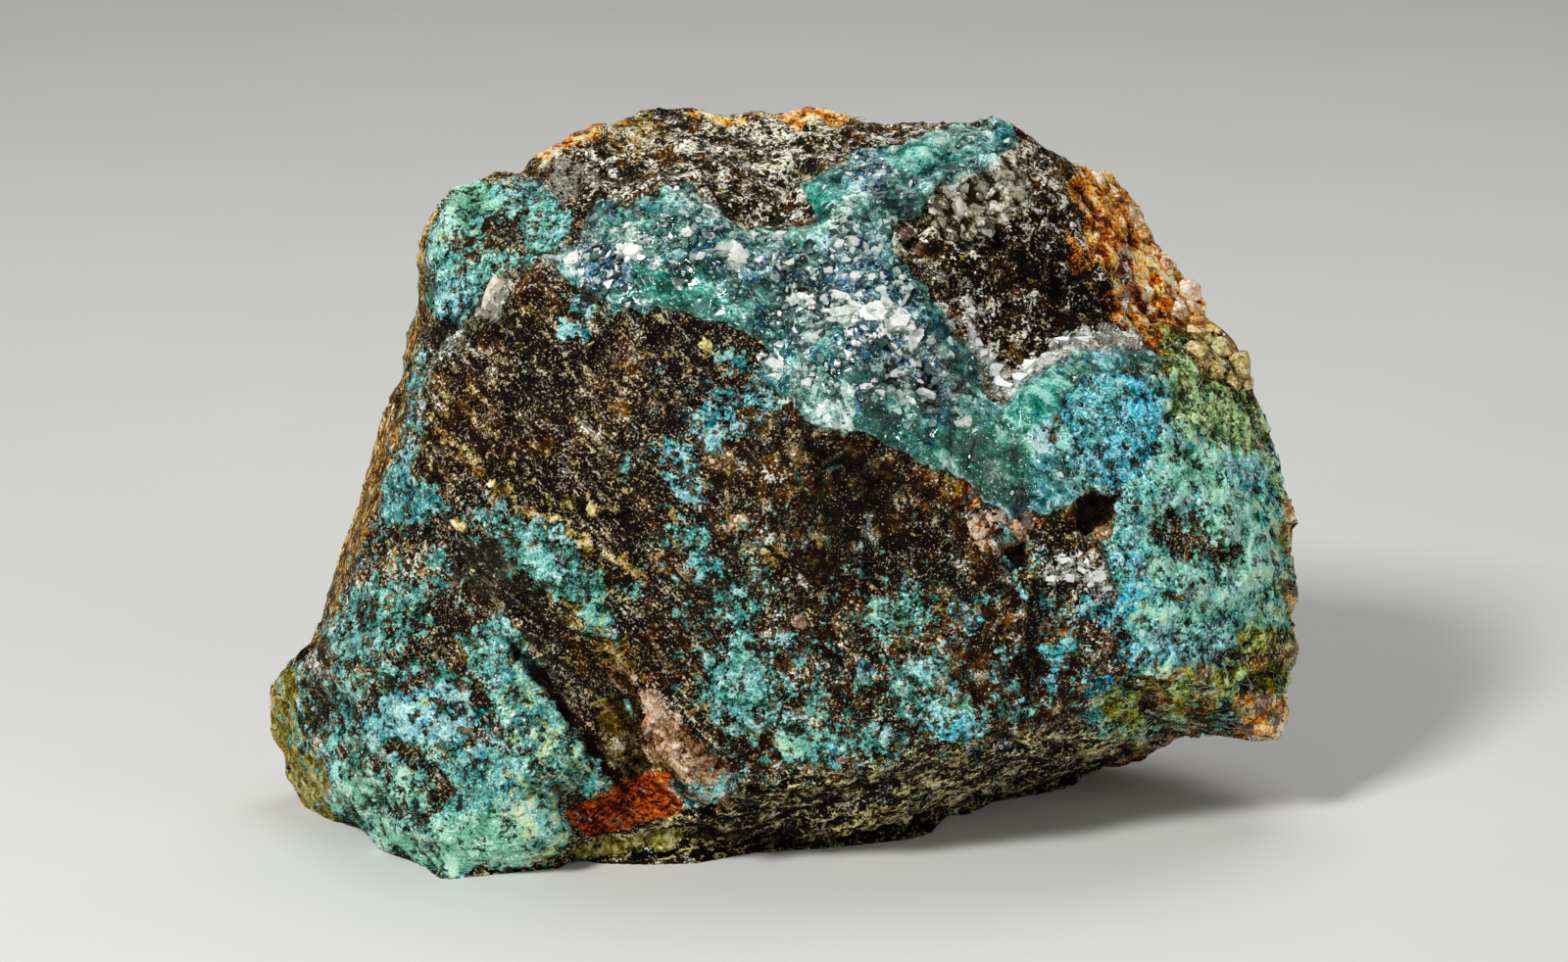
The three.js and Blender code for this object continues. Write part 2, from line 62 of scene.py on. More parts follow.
FACE = [
  [-22.3, 18.9, 10.2], [-24.9, 16.3, 11], [-27.3, 13.6, 11.2], [-32.2, 9.3, 13], [-32.9, 5.3, 12.8],
  [-32.7, 1.7, 12.3], [-28.9, -2.4, 10.5], [-25.4, -3.6, 9.4], [-21, -4.7, 8.6], [-16.6, -6.7, 8.2],
  [-12.7, -9.4, 8.2], [-17.5, 8, 7.2], [-21, 14.1, 8.8], [-15.7, 14.1, 8.4], [-8.8, 8, 6.2],
  [-24.5, 5.3, 8.8], [-21, 1, 7.6], [0, 1.8, 5.4], [-8.8, -0.8, 5.8], [-14, 1.8, 6.6], [4.4, -6, 5],
  [-1.8, -7.8, 5.6], [13.1, -6, 6.2], [8.8, -0.8, 5.6], [-3.5, -13.9, 6.4], [4.4, -13, 5.8],
  [8.8, -18.3, 6.6], [14, -14.8, 6.8], [0, -20, 7.2], [-5.2, -21.8, 8.2], [5.2, -24, 7.8],
  [17.5, -21.8, 9.2], [22.8, -20, 11.4], [-8.8, -17.4, 8.8], [-9.6, -13, 8.2], [21, -9.5, 8.4],
  [17.5, -11.3, 7.4], [-17.5, 23.3, 14], [-17.1, 20.2, 12.4], [-19.2, 18, 11.2], [-14, 22.7, 11.6],
  [-13.1, 16.7, 9.6], [-9.6, 24.1, 12], [-7, 23.3, 12], [-4.8, 21.5, 11.2], [-5.2, 16.7, 8.6],
  [-8.8, 19.3, 9.6], [-1.8, 14.1, 7.8], [0, 20, 10.2], [3.5, 21.3, 10.8], [4.4, 24.1, 12.4],
  [2.3, 26.2, 15.5], [7, 26.8, 15.5], [8.8, 24.1, 13], [11.4, 29.1, 19.5], [15.3, 30.7, 23],
  [18.8, 31.4, 25], [16.6, 28.5, 20.5], [6.1, 16.7, 8.2], [2.6, 11.5, 7.2], [6.1, 12.3, 6.4],
  [10.1, 13.6, 6.2], [12.2, 9.7, 7.6], [14, 14.1, 9.6], [9.2, 19.3, 11], [10.9, 16.7, 10.6], [8.8, 6.2, 6.4],
  [3.9, 6.9, 6.2], [16.2, 10.6, 10.6], [16.2, 8, 9.6], [17.5, 4.5, 9], [13.1, 2.7, 6.8], [17.5, -0.8, 8],
  [21.4, 1, 9.6], [21.9, -3, 9.4], [-18.4, 24.4, 17], [-19.9, 26.3, 21.5], [-22.3, 26.9, 25.5],
  [-12.7, 25.8, 16.2], [-8.8, 26.3, 16], [-5.1, 24.4, 15.6], [-3.7, 22.1, 14.6], [0, 22, 14.2],
  [2.8, 24.1, 15.6], [-14, 28.5, 22], [-8.8, 29.8, 24], [-3.5, 28.1, 22], [0, 25.5, 18.5], [2.6, 29.8, 24.5],
  [8.8, 29.8, 23.5], [11.4, 30.9, 26.5], [-17.5, 29, 25.5], [21, 30.3, 26], [17.5, 26.8, 18.8],
  [13.6, 25.9, 16.8], [12.1, 22.7, 14.4], [17.5, 22, 15.4], [22.8, 22, 18.5], [22.9, 26.8, 23.5],
  [25.8, 25.9, 25.5], [27.8, 20.6, 23], [14, 18.9, 13], [17.5, 15, 13.4], [22.8, 15, 16.2],
  [28.9, 15.1, 20.5], [18.4, 10.4, 12.2], [19.4, 8.4, 11.6], [22.8, 11.5, 14.6], [27.1, 12.8, 17.2],
  [32.8, 12.2, 21.8], [26.7, 27.4, 29], [28.2, 24.1, 27.5], [30.6, 20, 28], [31.9, 15, 25.5], [35.4, 15, 29],
  [34.1, 12.8, 25.5], [34.1, 17.1, 29], [30.4, 24.1, 31], [20.1, 6.9, 9.6], [22.8, 8.8, 10.8],
  [27.1, 10.8, 13], [33.2, 10.2, 17.6], [38.3, 9.4, 24], [40.4, 6.2, 25], [39.4, 3.6, 21.5], [33.2, 4.5, 14],
  [26.2, 4.5, 9.8], [23.2, 1, 8.4], [22.8, -3.8, 8.8], [27.1, -4.3, 9.2], [33.2, -4.3, 11.8],
  [39.4, -3.4, 17], [42.9, -2.5, 23], [42.9, -8.7, 20.5], [35, -11.3, 12.8], [26.2, -11.3, 9.8],
  [29.7, -7.8, 10], [42, -14.8, 20], [43.3, -11.3, 21.5], [35, -17.4, 15], [28, -17.4, 12.4],
  [39.4, -18.7, 20], [42.9, -21.3, 22.5], [40.7, -22, 24.5], [32.4, -20.5, 18], [37.2, -21.6, 24],
  [43.4, -22, 21.5], [42, -22.8, 24], [44.4, -19.6, 22.5], [-30.6, 24.4, 20], [-25.4, 26.7, 23.4],
  [-20.6, 25.3, 18.4], [-18.8, 22.1, 15.8], [-23.6, 22.8, 16.4], [-28, 20.6, 16.6], [-30.9, 16.7, 18],
  [-28, 15.1, 15.6], [-24.7, 17.9, 14.8], [-22.7, 20, 14.2], [-31.8, 12.3, 17.4], [-31.4, 20, 18.6],
  [-32.4, 11.3, 17.4], [-33.3, 8, 18], [-34.8, 3.6, 18.8], [-35.9, -0.8, 19.2], [-38, -6.9, 20],
  [-39.4, -10.6, 20.2], [-40.5, -14.1, 19.4], [-33.2, 4.5, 14.6], [-34.3, 1, 16.2], [-31.5, -1.3, 13],
  [-33.2, -4.3, 14.6], [-36.8, -9.5, 16.4], [-28, -8.7, 11], [-21, -10.4, 9.4], [-29.7, -4.7, 12.2],
  [-39.8, -17.4, 17.6], [-35, -13.9, 13.6], [-28, -14.8, 10.6], [-24.1, -13.9, 9], [-26.2, -20, 9],
  [-31.5, -21.8, 10.6], [-36.3, -21.8, 14], [-35, -27, 13], [-39.4, -22.2, 20.5], [-40.1, -27, 21],
  [-30.6, -31.4, 10.4], [-24.5, -27, 8.4], [-20.6, -19.6, 8], [-17.5, -24.4, 8.2], [-15.9, -27, 8.8],
  [-21, -31.4, 9.4], [-26.2, -34, 11.6], [-35.4, -31, 16], [-19.7, -33, 12.5], [-18.4, -14.3, 9.8],
  [-15.7, -18.3, 11.8], [-13.1, -22.7, 12.2], [-14, -26.2, 13.4], [-9.6, -23.5, 10.4], [-11.2, -20.9, 9.6],
  [-6.8, -26.3, 9.2], [-9.8, -27, 10.6], [-18.4, -29.5, 13.6], [-14.4, -28.8, 15], [-10.1, -28.3, 13],
  [-17.5, -31.4, 15], [-10.5, -30.7, 14.4], [-41.8, -15.1, 27], [-43.6, -18.3, 27.5], [-43, -23.5, 26.5],
  [-41.1, -27.5, 25.5], [-40.9, -19.2, 23.5], [-41.1, -23.5, 23.5], [-38, -29.5, 22], [-5.1, -27, 9.4],
  [0, -26.3, 9], [5.2, -26.6, 9.2], [11.4, -25.5, 9.8], [17.5, -24.2, 11.6], [24.5, -22.5, 14.6],
  [31.5, -22.3, 20], [-8.8, -32.1, 15.5], [0, -30.4, 15], [8.8, -29.5, 18], [17.5, -27, 22.5],
  [26.2, -24.9, 29.5], [33.2, -23.1, 31], [4.4, -31.4, 20], [13.1, -29.2, 24],
]
BACK = [
  [-24.5, 22, 44], [-14, 25.5, 46], [0, 26.8, 47], [14, 25.9, 46.5], [24.5, 21.1, 45], [32.4, 14.1, 44],
  [-28, 14.1, 46], [-17.5, 16.7, 51], [-3.5, 18.5, 52.5], [11.4, 16.7, 51], [22.8, 11.5, 49.5],
  [-14, 2.7, 54], [-11.4, -9.5, 54.5], [-9.6, -20, 53], [-32.4, 5.3, 45], [-35, -6, 45.5],
  [-36.8, -16.5, 45], [-39.4, -24.4, 42], [35, 6.2, 44], [37.6, -4.3, 44], [38.1, -13, 43],
  [36.3, -19.6, 41], [25.4, 1, 50], [27.1, -11.3, 49.5], [24.5, -20, 48], [41.1, -21.3, 35],
  [43.4, -22.2, 32], [43.8, -18.3, 34], [38.5, -21.8, 38], [4.4, 6.2, 52.5], [7, -9.5, 53], [7, -21.8, 51],
  [-31.5, -27, 46], [-21, -27, 49], [-8.8, -27.9, 49.5], [4.4, -27.9, 48.5], [17.5, -26.2, 47.5],
  [28, -24.4, 45],
]
CRUST = [
  (0.86, 0.5, [
    (-30.9, 25), (-29, 25.5), (-27.1, 25.5), (-25.3, 26.6), (-23.4, 27), (-21.5, 26.6), (-19.9, 25.2),
    (-19.2, 23.4), (-19.5, 21.9), (-20, 20.6), (-21.5, 20.3), (-22.8, 19.7), (-23.4, 18.9), (-24.3, 18.4),
    (-25.9, 17.5), (-26.7, 16.4), (-27.5, 15.3), (-28.7, 13.7), (-30.1, 12.9), (-31.4, 13.2), (-31.8, 15.9),
    (-31.7, 19.1), (-31.5, 21.9), (-31, 24.1),
  ]),
  (0.6, 0.5, [
    (-32.5, 12.2), (-32.1, 9.9), (-32.8, 7.1), (-33.2, 4.5), (-32.9, 1.7), (-33.9, 1), (-34.9, 1.3),
    (-34.3, 4.5), (-33.9, 8), (-33.2, 10.8),
  ]),
  (0.9, 0.4, [
    (-34.9, 1.2), (-33.5, 1.7), (-32.4, 0.4), (-31, -1.1), (-29.6, -2.4), (-30.8, -3.4), (-32.8, -3.8),
    (-34.3, -4), (-36.2, -4.1), (-35.5, -1.4),
  ]),
  (0.94, 0.8, [
    (-27.5, -2.6), (-25.3, -2.4), (-23.1, -3.6), (-20.2, -4.2), (-18, -6.7), (-15.8, -9.5), (-14.6, -12.7),
    (-15.2, -14.5), (-17.8, -13.3), (-19, -11.1), (-21.5, -9.5), (-24, -8.3), (-25.5, -6.4), (-27.1, -4.2),
  ]),
  (0.45, 1, [
    (-21, -6), (-17.5, -7.3), (-13.1, -9.5), (-12.7, -11.3), (-15.7, -10.4), (-19.2, -8.7),
  ]),
  (0.97, 0.5, [
    (-30.4, 26.3), (-26.1, 26.9), (-25.4, 24.4), (-30.1, 23.5),
  ]),
  (0.68, 0.6, [
    (-38.7, -8.9), (-36.5, -9.5), (-34, -8.5), (-31.5, -8.3), (-30.3, -10.1), (-30.9, -12.1), (-32.1, -13.9),
    (-34.3, -14.9), (-36.5, -15.7), (-38.1, -16.4), (-40.9, -15.5), (-40.6, -13.3), (-39.6, -10.5),
  ]),
  (0.55, 0.7, [
    (-33.2, -5), (-30.6, -6), (-28.9, -8.7), (-28, -11.3), (-30.2, -11.7), (-31.5, -9.5), (-32.8, -7.3),
  ]),
  (0.9, 0.5, [
    (-29, -13.9), (-27.1, -12.1), (-25.3, -11.1), (-24.3, -13.3), (-22.4, -15.7), (-22.1, -18.3),
    (-23.1, -20.1), (-25.3, -19.5), (-27.1, -17.9), (-28.7, -16.4),
  ]),
  (0.95, 0.6, [
    (-38.4, -22), (-35.5, -19.5), (-32.7, -18.3), (-29.7, -17.9), (-27.7, -18.9), (-25.9, -20.1),
    (-26.5, -22.7), (-29, -23.9), (-31.5, -24.5), (-34, -23.9), (-36.5, -23),
  ]),
  (0.88, 0.4, [
    (-25.9, -13), (-24.1, -13.9), (-22.4, -16.7), (-21.6, -19.2), (-19.9, -20.8), (-18.4, -23), (-17, -24.6),
    (-15.1, -27), (-15.8, -27.7), (-17.8, -28.1), (-19.9, -27.6), (-21.5, -25.5), (-22.8, -24.5),
    (-24.6, -23.3), (-25.9, -21.4), (-26.5, -18.3),
  ]),
  (0.97, 0.5, [
    (-31.5, -24.5), (-29, -23.9), (-26.5, -22.7), (-24.6, -23.3), (-22.8, -24.5), (-21.5, -26.1), (-19.9, -28),
    (-19.5, -30.2), (-19.2, -32), (-20.8, -33.8), (-22.4, -34.6), (-25.5, -34.9), (-28.7, -35.4),
    (-30.9, -35.1), (-32.8, -34.2), (-31.8, -31.4), (-30.5, -28.9), (-30.3, -27),
  ]),
  (0.78, 0.5, [
    (-38.4, -29.2), (-36.5, -29.6), (-34.3, -29.6), (-32.5, -30.4), (-32, -32.1), (-32.8, -33.7),
    (-34.6, -33.9), (-36, -32.8), (-36.9, -31.4), (-38, -30.5),
  ]),
  (0.75, 0.8, [
    (-41.2, -17.4), (-40.2, -16.2), (-38.3, -16.9), (-37.4, -19.2), (-38, -21.3), (-39.4, -22.2),
    (-40.4, -21.3), (-41.1, -19.6),
  ]),
  (0.42, 0.8, [
    (-37.7, -15.7), (-34.1, -15.1), (-29, -15.7), (-28.4, -18.3), (-32.4, -18.3), (-35.4, -19.3),
    (-37.4, -18.7),
  ]),
  (0.7, 0.6, [
    (-41.3, -21.3), (-39.4, -22), (-37.1, -22.8), (-35, -24.6), (-36.5, -25.2), (-38.7, -26.1), (-40.6, -27),
    (-41.5, -24.4),
  ]),
  (0.48, 0.8, [
    (-37.1, -22.8), (-34.1, -24.1), (-31.1, -24.8), (-30.4, -26.7), (-32.4, -27.5), (-35, -26.2),
    (-36.8, -24.8),
  ]),
  (0.74, 0.6, [
    (-40.6, -27.6), (-38.7, -26.1), (-36.5, -25.2), (-34.3, -24.5), (-31.5, -25.2), (-30.5, -26.4),
    (-31.5, -28.9), (-34, -29.6), (-36.5, -29.6), (-39, -29.8), (-41.2, -28.9),
  ]),
  (0.25, 1, [
    (-38.1, -6), (-35, -4.7), (-31.5, -6), (-30.6, -8.2), (-35, -8.7), (-37.6, -9.5),
  ]),
  (0.78, 0.5, [
    (-5.7, 8.7), (-4.9, 7.9), (-4.3, 6.9), (-4.5, 5.3), (-3.9, 4.4), (-5.2, 3.4), (-6.1, 2.1), (-7.4, 2.7),
    (-8.1, 4.7), (-8.4, 6.3), (-7.1, 6.6), (-6.3, 7.9),
  ]),
  (0.74, 0.5, [
    (-11.8, 3.5), (-10.6, 4.4), (-8.7, 3.5), (-8.2, 1.6), (-7.1, -0.4), (-6.7, -2), (-8, -2.7), (-9.8, -1.3),
    (-10.9, 0.6),
  ]),
  (0.75, 0.4, [
    (-15, 0.4), (-13.6, 2.2), (-12.2, 2.9), (-11.8, 2.2), (-13.3, 1.3), (-14.5, 0),
  ]),
  (0.66, 0.6, [
    (-6.8, 11.5), (-4.6, 11.5), (-2.7, 11.3), (-1.8, 9.7), (-2.1, 8.3), (-3.4, 8), (-4.3, 9.2), (-5.9, 10.5),
  ]),
  (0.75, 0.4, [
    (-1.8, 8.1), (-0.7, 8), (0.1, 6.9), (-0.3, 5.8), (-1.4, 6.1),
  ]),
  (0.72, 0.4, [
    (-20.6, 14.7), (-18.4, 14.6), (-16.4, 14.1), (-16.7, 12.7), (-17.9, 12.2), (-19.2, 12.7), (-20.5, 13.1),
  ]),
  (0.6, 0.5, [
    (-19.8, 17.1), (-17.5, 16.7), (-15, 16.2), (-14.5, 15.1), (-16.6, 14.5), (-18.8, 15.1),
  ]),
  (0.62, 0.8, [
    (-10.8, -2.5), (-8.8, -2.7), (-7.3, -4.3), (-5.4, -6), (-5.1, -7.8), (-6.1, -9.2), (-7.7, -8.8),
    (-8.8, -6.9), (-10.1, -5.2),
  ]),
  (0.56, 1, [
    (-6.8, -9.2), (-4.8, -8.7), (-2.8, -9.5), (-2.4, -13), (-3.1, -15.5), (-5.1, -15.1), (-6.3, -12.2),
  ]),
  (0.88, 0.6, [
    (-7.6, -16.5), (-6.8, -15.1), (-4.8, -14.3), (-2.6, -14.8), (-1, -15.8), (-0.3, -17.4), (-1.1, -19.3),
    (-0.8, -21.3), (-2.1, -22.8), (-3.8, -23.4), (-5.2, -22.3), (-6.6, -20.6), (-7.7, -18.7),
  ]),
  (0.86, 0.5, [
    (-1.2, -23), (0, -22), (1.9, -22.2), (3.9, -22.1), (5.4, -22.8), (5.9, -24.2), (4.5, -25.4), (2.2, -25.7),
    (0, -25.3), (-1.2, -24.3),
  ]),
  (0.8, 0.7, [
    (7.1, -11.7), (8, -10.2), (10.1, -9.4), (12.2, -9.7), (13.9, -11.1), (14.3, -13), (13.2, -14.4), (11, -14),
    (9.2, -14.9), (7.9, -13.9),
  ]),
  (0.78, 0.7, [
    (9.3, -16.5), (10.9, -15.3), (13.1, -15.5), (15.3, -17.2), (16.9, -18.7), (17.5, -20.9), (18.5, -22.7),
    (16.3, -24.1), (14, -23.2), (11.8, -22.8), (10.1, -21.4), (9.1, -19.2),
  ]),
  (0.36, 1, [
    (-1.4, -12.7), (1.8, -12.5), (3.7, -13.9), (3.3, -17.1), (0.7, -17.4), (-1.2, -15.5),
  ]),
  (0.54, 0.8, [
    (1.2, -18.5), (4.4, -18.3), (5.1, -20.9), (4, -22.3), (1.6, -22),
  ]),
  (0.85, 0.4, [
    (6.3, -16.4), (7.3, -16.1), (8, -17.1), (7.5, -18.2), (6.5, -18),
  ]),
  (0.45, 0.8, [
    (14.5, -11.1), (16.6, -10.6), (18, -12.2), (17.8, -14.8), (16.2, -15.5), (14.9, -13.9),
  ]),
  (0.62, 0.6, [
    (5.9, -22), (8.8, -21.3), (10.9, -22.8), (10.5, -24.8), (7.9, -25.5), (5.9, -24.8),
  ]),
  (0.72, 0.5, [
    (-9.6, -27.5), (-8.2, -27), (-5.2, -26.2), (-4.2, -27.3), (-4.8, -28.6), (-6.8, -29), (-8.8, -28.8),
  ]),
  (0.2, 2, [
    (-9.6, -2.5), (0, -2.5), (11.4, -7.8), (21.9, -9.5), (24.5, -18.3), (22.8, -22.2), (14, -24.4),
    (3.5, -25.7), (-5.2, -25.7), (-8.8, -21.8), (-9.6, -13), (-12.2, -8.7),
  ]),
  (0.05, 2, [
    (-21, 14.1), (-8.8, 13.2), (0, 8), (11.4, 1), (17.5, -6), (0, -2.5), (-9.6, -1.7), (-17.5, 6.2),
  ]),
  (0.96, 0.5, [
    (23.4, 7.8), (25.8, 9.3), (28.9, 9.9), (31.7, 9.5), (33.2, 9.7), (34.1, 7.1), (35, 4.5), (34.1, 1),
    (31.5, -0.8), (28.9, -1), (26.7, -0.4), (24.9, 1.5), (24, 4.5),
  ]),
  (1.1, 0.6, [
    (32.5, 3.8), (38.9, 3.4), (40.4, -1.2), (38.5, -2.5), (33.2, -1.8),
  ]),
  (0.95, 0.7, [
    (31.5, 9.3), (35, 10.4), (38.5, 9.3), (41.6, 8.4), (42.9, 5.3), (43.8, 1.8), (44.6, -2.5), (45.3, -6),
    (44.8, -9.5), (45.1, -13), (43.8, -15.5), (40.4, -15.8), (37.2, -16.2), (34.1, -17.4), (31.1, -18.3),
    (29.7, -16.5), (30.6, -13), (29.7, -9.5), (28, -6.9), (29.3, -4.7), (30.6, -2.5), (29.7, -0.8),
    (32.8, 1.8), (33.2, 5.3),
  ]),
  (0.78, 0.6, [
    (33.2, 13.6), (36.3, 13.6), (38.9, 12.3), (41.1, 9.7), (38.5, 8.7), (35, 9.3), (33.1, 10.4),
  ]),
  (0.8, 0.7, [
    (26.7, -17.4), (30.6, -17.8), (35, -17.4), (40.2, -16.2), (43.8, -15.5), (45.1, -17.4), (44.8, -18.7),
    (41.1, -18.8), (40.4, -20), (40.4, -22), (37.2, -22.1), (33.2, -22), (29.7, -22.5), (26.6, -22),
    (25.8, -20),
  ]),
  (0.64, 0.5, [
    (22.8, -15.8), (24.3, -14.3), (26.2, -14.1), (27.3, -15.2), (25.4, -15.8), (24.8, -17.4), (24.3, -19.3),
    (23.3, -19.7), (22.8, -17.8),
  ]),
  (0.5, 0.6, [
    (24.3, -0.8), (26.2, -0.1), (28.9, -0.8), (29.7, -2.1), (27.1, -1.5), (24.9, -2.1),
  ]),
  (0.4, 0.8, [
    (18.4, -2.5), (21, -3), (22.8, -6), (21.9, -9.5), (19.2, -8.7), (17.9, -6),
  ]),
  (0.45, 0.7, [
    (21, -9.5), (23.6, -8.7), (25.8, -10.4), (27.1, -13), (24.5, -13.5), (21.9, -12.2),
  ]),
  (0.66, 0.5, [
    (25.9, -10.6), (28, -9.9), (29.9, -10.6), (30.8, -13), (30.3, -14.8), (28.9, -14.1), (27.8, -12.3),
    (26.2, -12),
  ]),
  (0.52, 0.5, [
    (25.9, -18.3), (27.3, -17.2), (28.9, -16.9), (30.3, -14.8), (31.1, -16.5), (30.6, -18.3), (28.7, -19.7),
    (26.2, -19.7),
  ]),
  (0.45, 0.6, [
    (18.4, -18.3), (21, -17.4), (22.9, -18.3), (22.8, -20.9), (20.1, -22), (18.2, -20.6),
  ]),
  (0.3, 1, [
    (-43.8, -15.7), (-41.6, -16.5), (-40.9, -21.8), (-41.1, -27), (-43.8, -26.2), (-45, -21.8), (-44.8, -18.3),
  ]),
  (0.55, 0.6, [
    (-7, 8.7), (-4.2, 8), (-3.8, 9.4), (-0.9, 9.2), (0.5, 7.1), (-0.3, 5.3), (-2.6, 5.8),
  ]),
]
BARE = [
  (0.8, 1.5, [
    (-1, -6), (4.4, -5.7), (5.4, -10.4), (0, -11.5),
  ]),
  (0.5, 1, [
    (24.5, -17.4), (27.3, -17.2), (27.5, -19.7), (24.5, -19.9),
  ]),
  (0.45, 1, [
    (-30.1, 22.3), (-26.1, 22.3), (-26.1, 19.3), (-29.9, 19),
  ]),
  (1, 0.4, [
    (35.5, 12.9), (37.1, 13.7), (39.4, 13.2), (41.8, 11.1), (42.3, 8.1), (40.4, 8.3), (38.5, 9), (36.9, 9.9),
    (35.7, 11.1),
  ]),
  (0.75, 0.8, [
    (-27.1, 23.5), (-25.2, 24.2), (-23.6, 23.5), (-23.1, 21.6), (-24.1, 20), (-26.2, 20), (-27.1, 21.4),
  ]),
  (1, 0.5, [
    (-31.4, 14.4), (-30.1, 14.8), (-28.9, 14.4), (-29.4, 12.9), (-30.8, 12.3), (-31.5, 12.9),
  ]),
  (1, 0.4, [
    (26.1, -1.8), (27.6, -1.1), (29.9, -1.3), (29.6, -2.7), (28.3, -3.8), (26.9, -4.8), (25.9, -3.8),
  ]),
  (0.62, 0.9, [
    (32.9, -2.9), (35, -2.2), (37.8, -3.2), (40.4, -6), (40.4, -7.6), (38.1, -7.8), (36.2, -6.6), (34.6, -6.9),
    (33.2, -5.7),
  ]),
  (0.7, 0.5, [
    (-38, -11.1), (-36.8, -10.6), (-36.2, -11.6), (-36.9, -12.5), (-38, -12.3),
  ]),
  (0.7, 0.4, [
    (-25.2, -15.3), (-24, -15.5), (-23.8, -16.5), (-25, -16.7),
  ]),
  (0.8, 0.6, [
    (-31.5, -27), (-30.4, -26.2), (-29.7, -27), (-30.4, -28.1),
  ]),
  (0.5, 0.8, [
    (34.6, -9.2), (36, -9.5), (35.5, -10.9), (34.3, -10.4),
  ]),
  (0.6, 0.8, [
    (40.6, -14.3), (42.9, -14.1), (43.8, -16.2), (42, -17.4), (40.4, -16.5),
  ]),
  (0.8, 0.5, [
    (31.5, -18.6), (33.4, -18.3), (34.6, -19.7), (33.2, -20.9), (31.5, -20.4),
  ]),
  (0.7, 0.5, [
    (27.6, -15.8), (29.7, -15.5), (30.3, -17.1), (28.5, -17.6),
  ]),
]
VEIN = [
  (1, 0.4, [
    (-18.2, 22.3), (-17.7, 24.2), (-16.4, 25.1), (-15, 24.8), (-13.6, 23.9), (-12.4, 25), (-10.5, 25.9),
    (-9.1, 25.6), (-8, 26.2), (-7, 25), (-5.1, 23.2), (-4.2, 22.1), (-2.6, 21.8), (0, 22), (2.3, 22.3),
    (3.3, 23.5), (2.8, 24.9), (1.9, 26.2), (3.3, 26.9), (5.4, 28.3), (7.3, 29), (9.3, 29.8), (11.4, 30.2),
    (14.7, 31.1), (17.9, 31.9), (19.6, 32.3), (20.6, 31.1), (20.3, 29.7), (18.5, 28.4), (16.6, 27.6),
    (14.2, 26.7), (12.9, 25.5), (12.1, 23.5), (10, 23), (8.8, 22.3), (9.1, 20.6), (10.7, 19.3), (12.1, 17.4),
    (13.6, 15.1), (15, 12.9), (16.6, 11.3), (17.7, 9), (18.4, 6.9), (19.6, 6.7), (21, 6.2), (21.3, 4.5),
    (21.7, 1.8), (22.4, -0.8), (22, -2.5), (20.1, -3.2), (18, -2), (16.3, 0.1), (14, 1.1), (11.9, 1.8),
    (9.6, 3.4), (7.3, 4.5), (5.2, 4.8), (3.3, 5), (1.9, 5.5), (0.7, 6.4), (1, 7.8), (-0.9, 8), (-2.1, 9.4),
    (-1.4, 11.3), (-2.4, 12.8), (-4.2, 14.1), (-6.8, 14.8), (-9.6, 15.1), (-12.9, 15.3), (-15.7, 15.8),
    (-17.5, 17.1), (-18.9, 18.3), (-20.5, 19.7), (-19.2, 20.4), (-18, 20.6),
  ]),
  (1, 0.4, [
    (19.9, 6.9), (21.4, 8.4), (23.6, 10.1), (26.2, 11.5), (29.7, 12), (33.4, 11.1), (33.6, 10.1), (30.6, 10.1),
    (27.3, 9.4), (25.2, 8.1), (24, 6.2), (24.1, 3.6), (25.2, 1.1), (27.1, -0.8), (25.4, -2.5), (22.9, -3.1),
    (21.7, -0.8), (21.3, 2.7), (20.6, 4.8),
  ]),
  (0.8, 0.4, [
    (-21, 20), (-19.7, 20.6), (-17.8, 20), (-17.7, 18.3), (-19.2, 17.6), (-20.5, 18.5),
  ]),
]
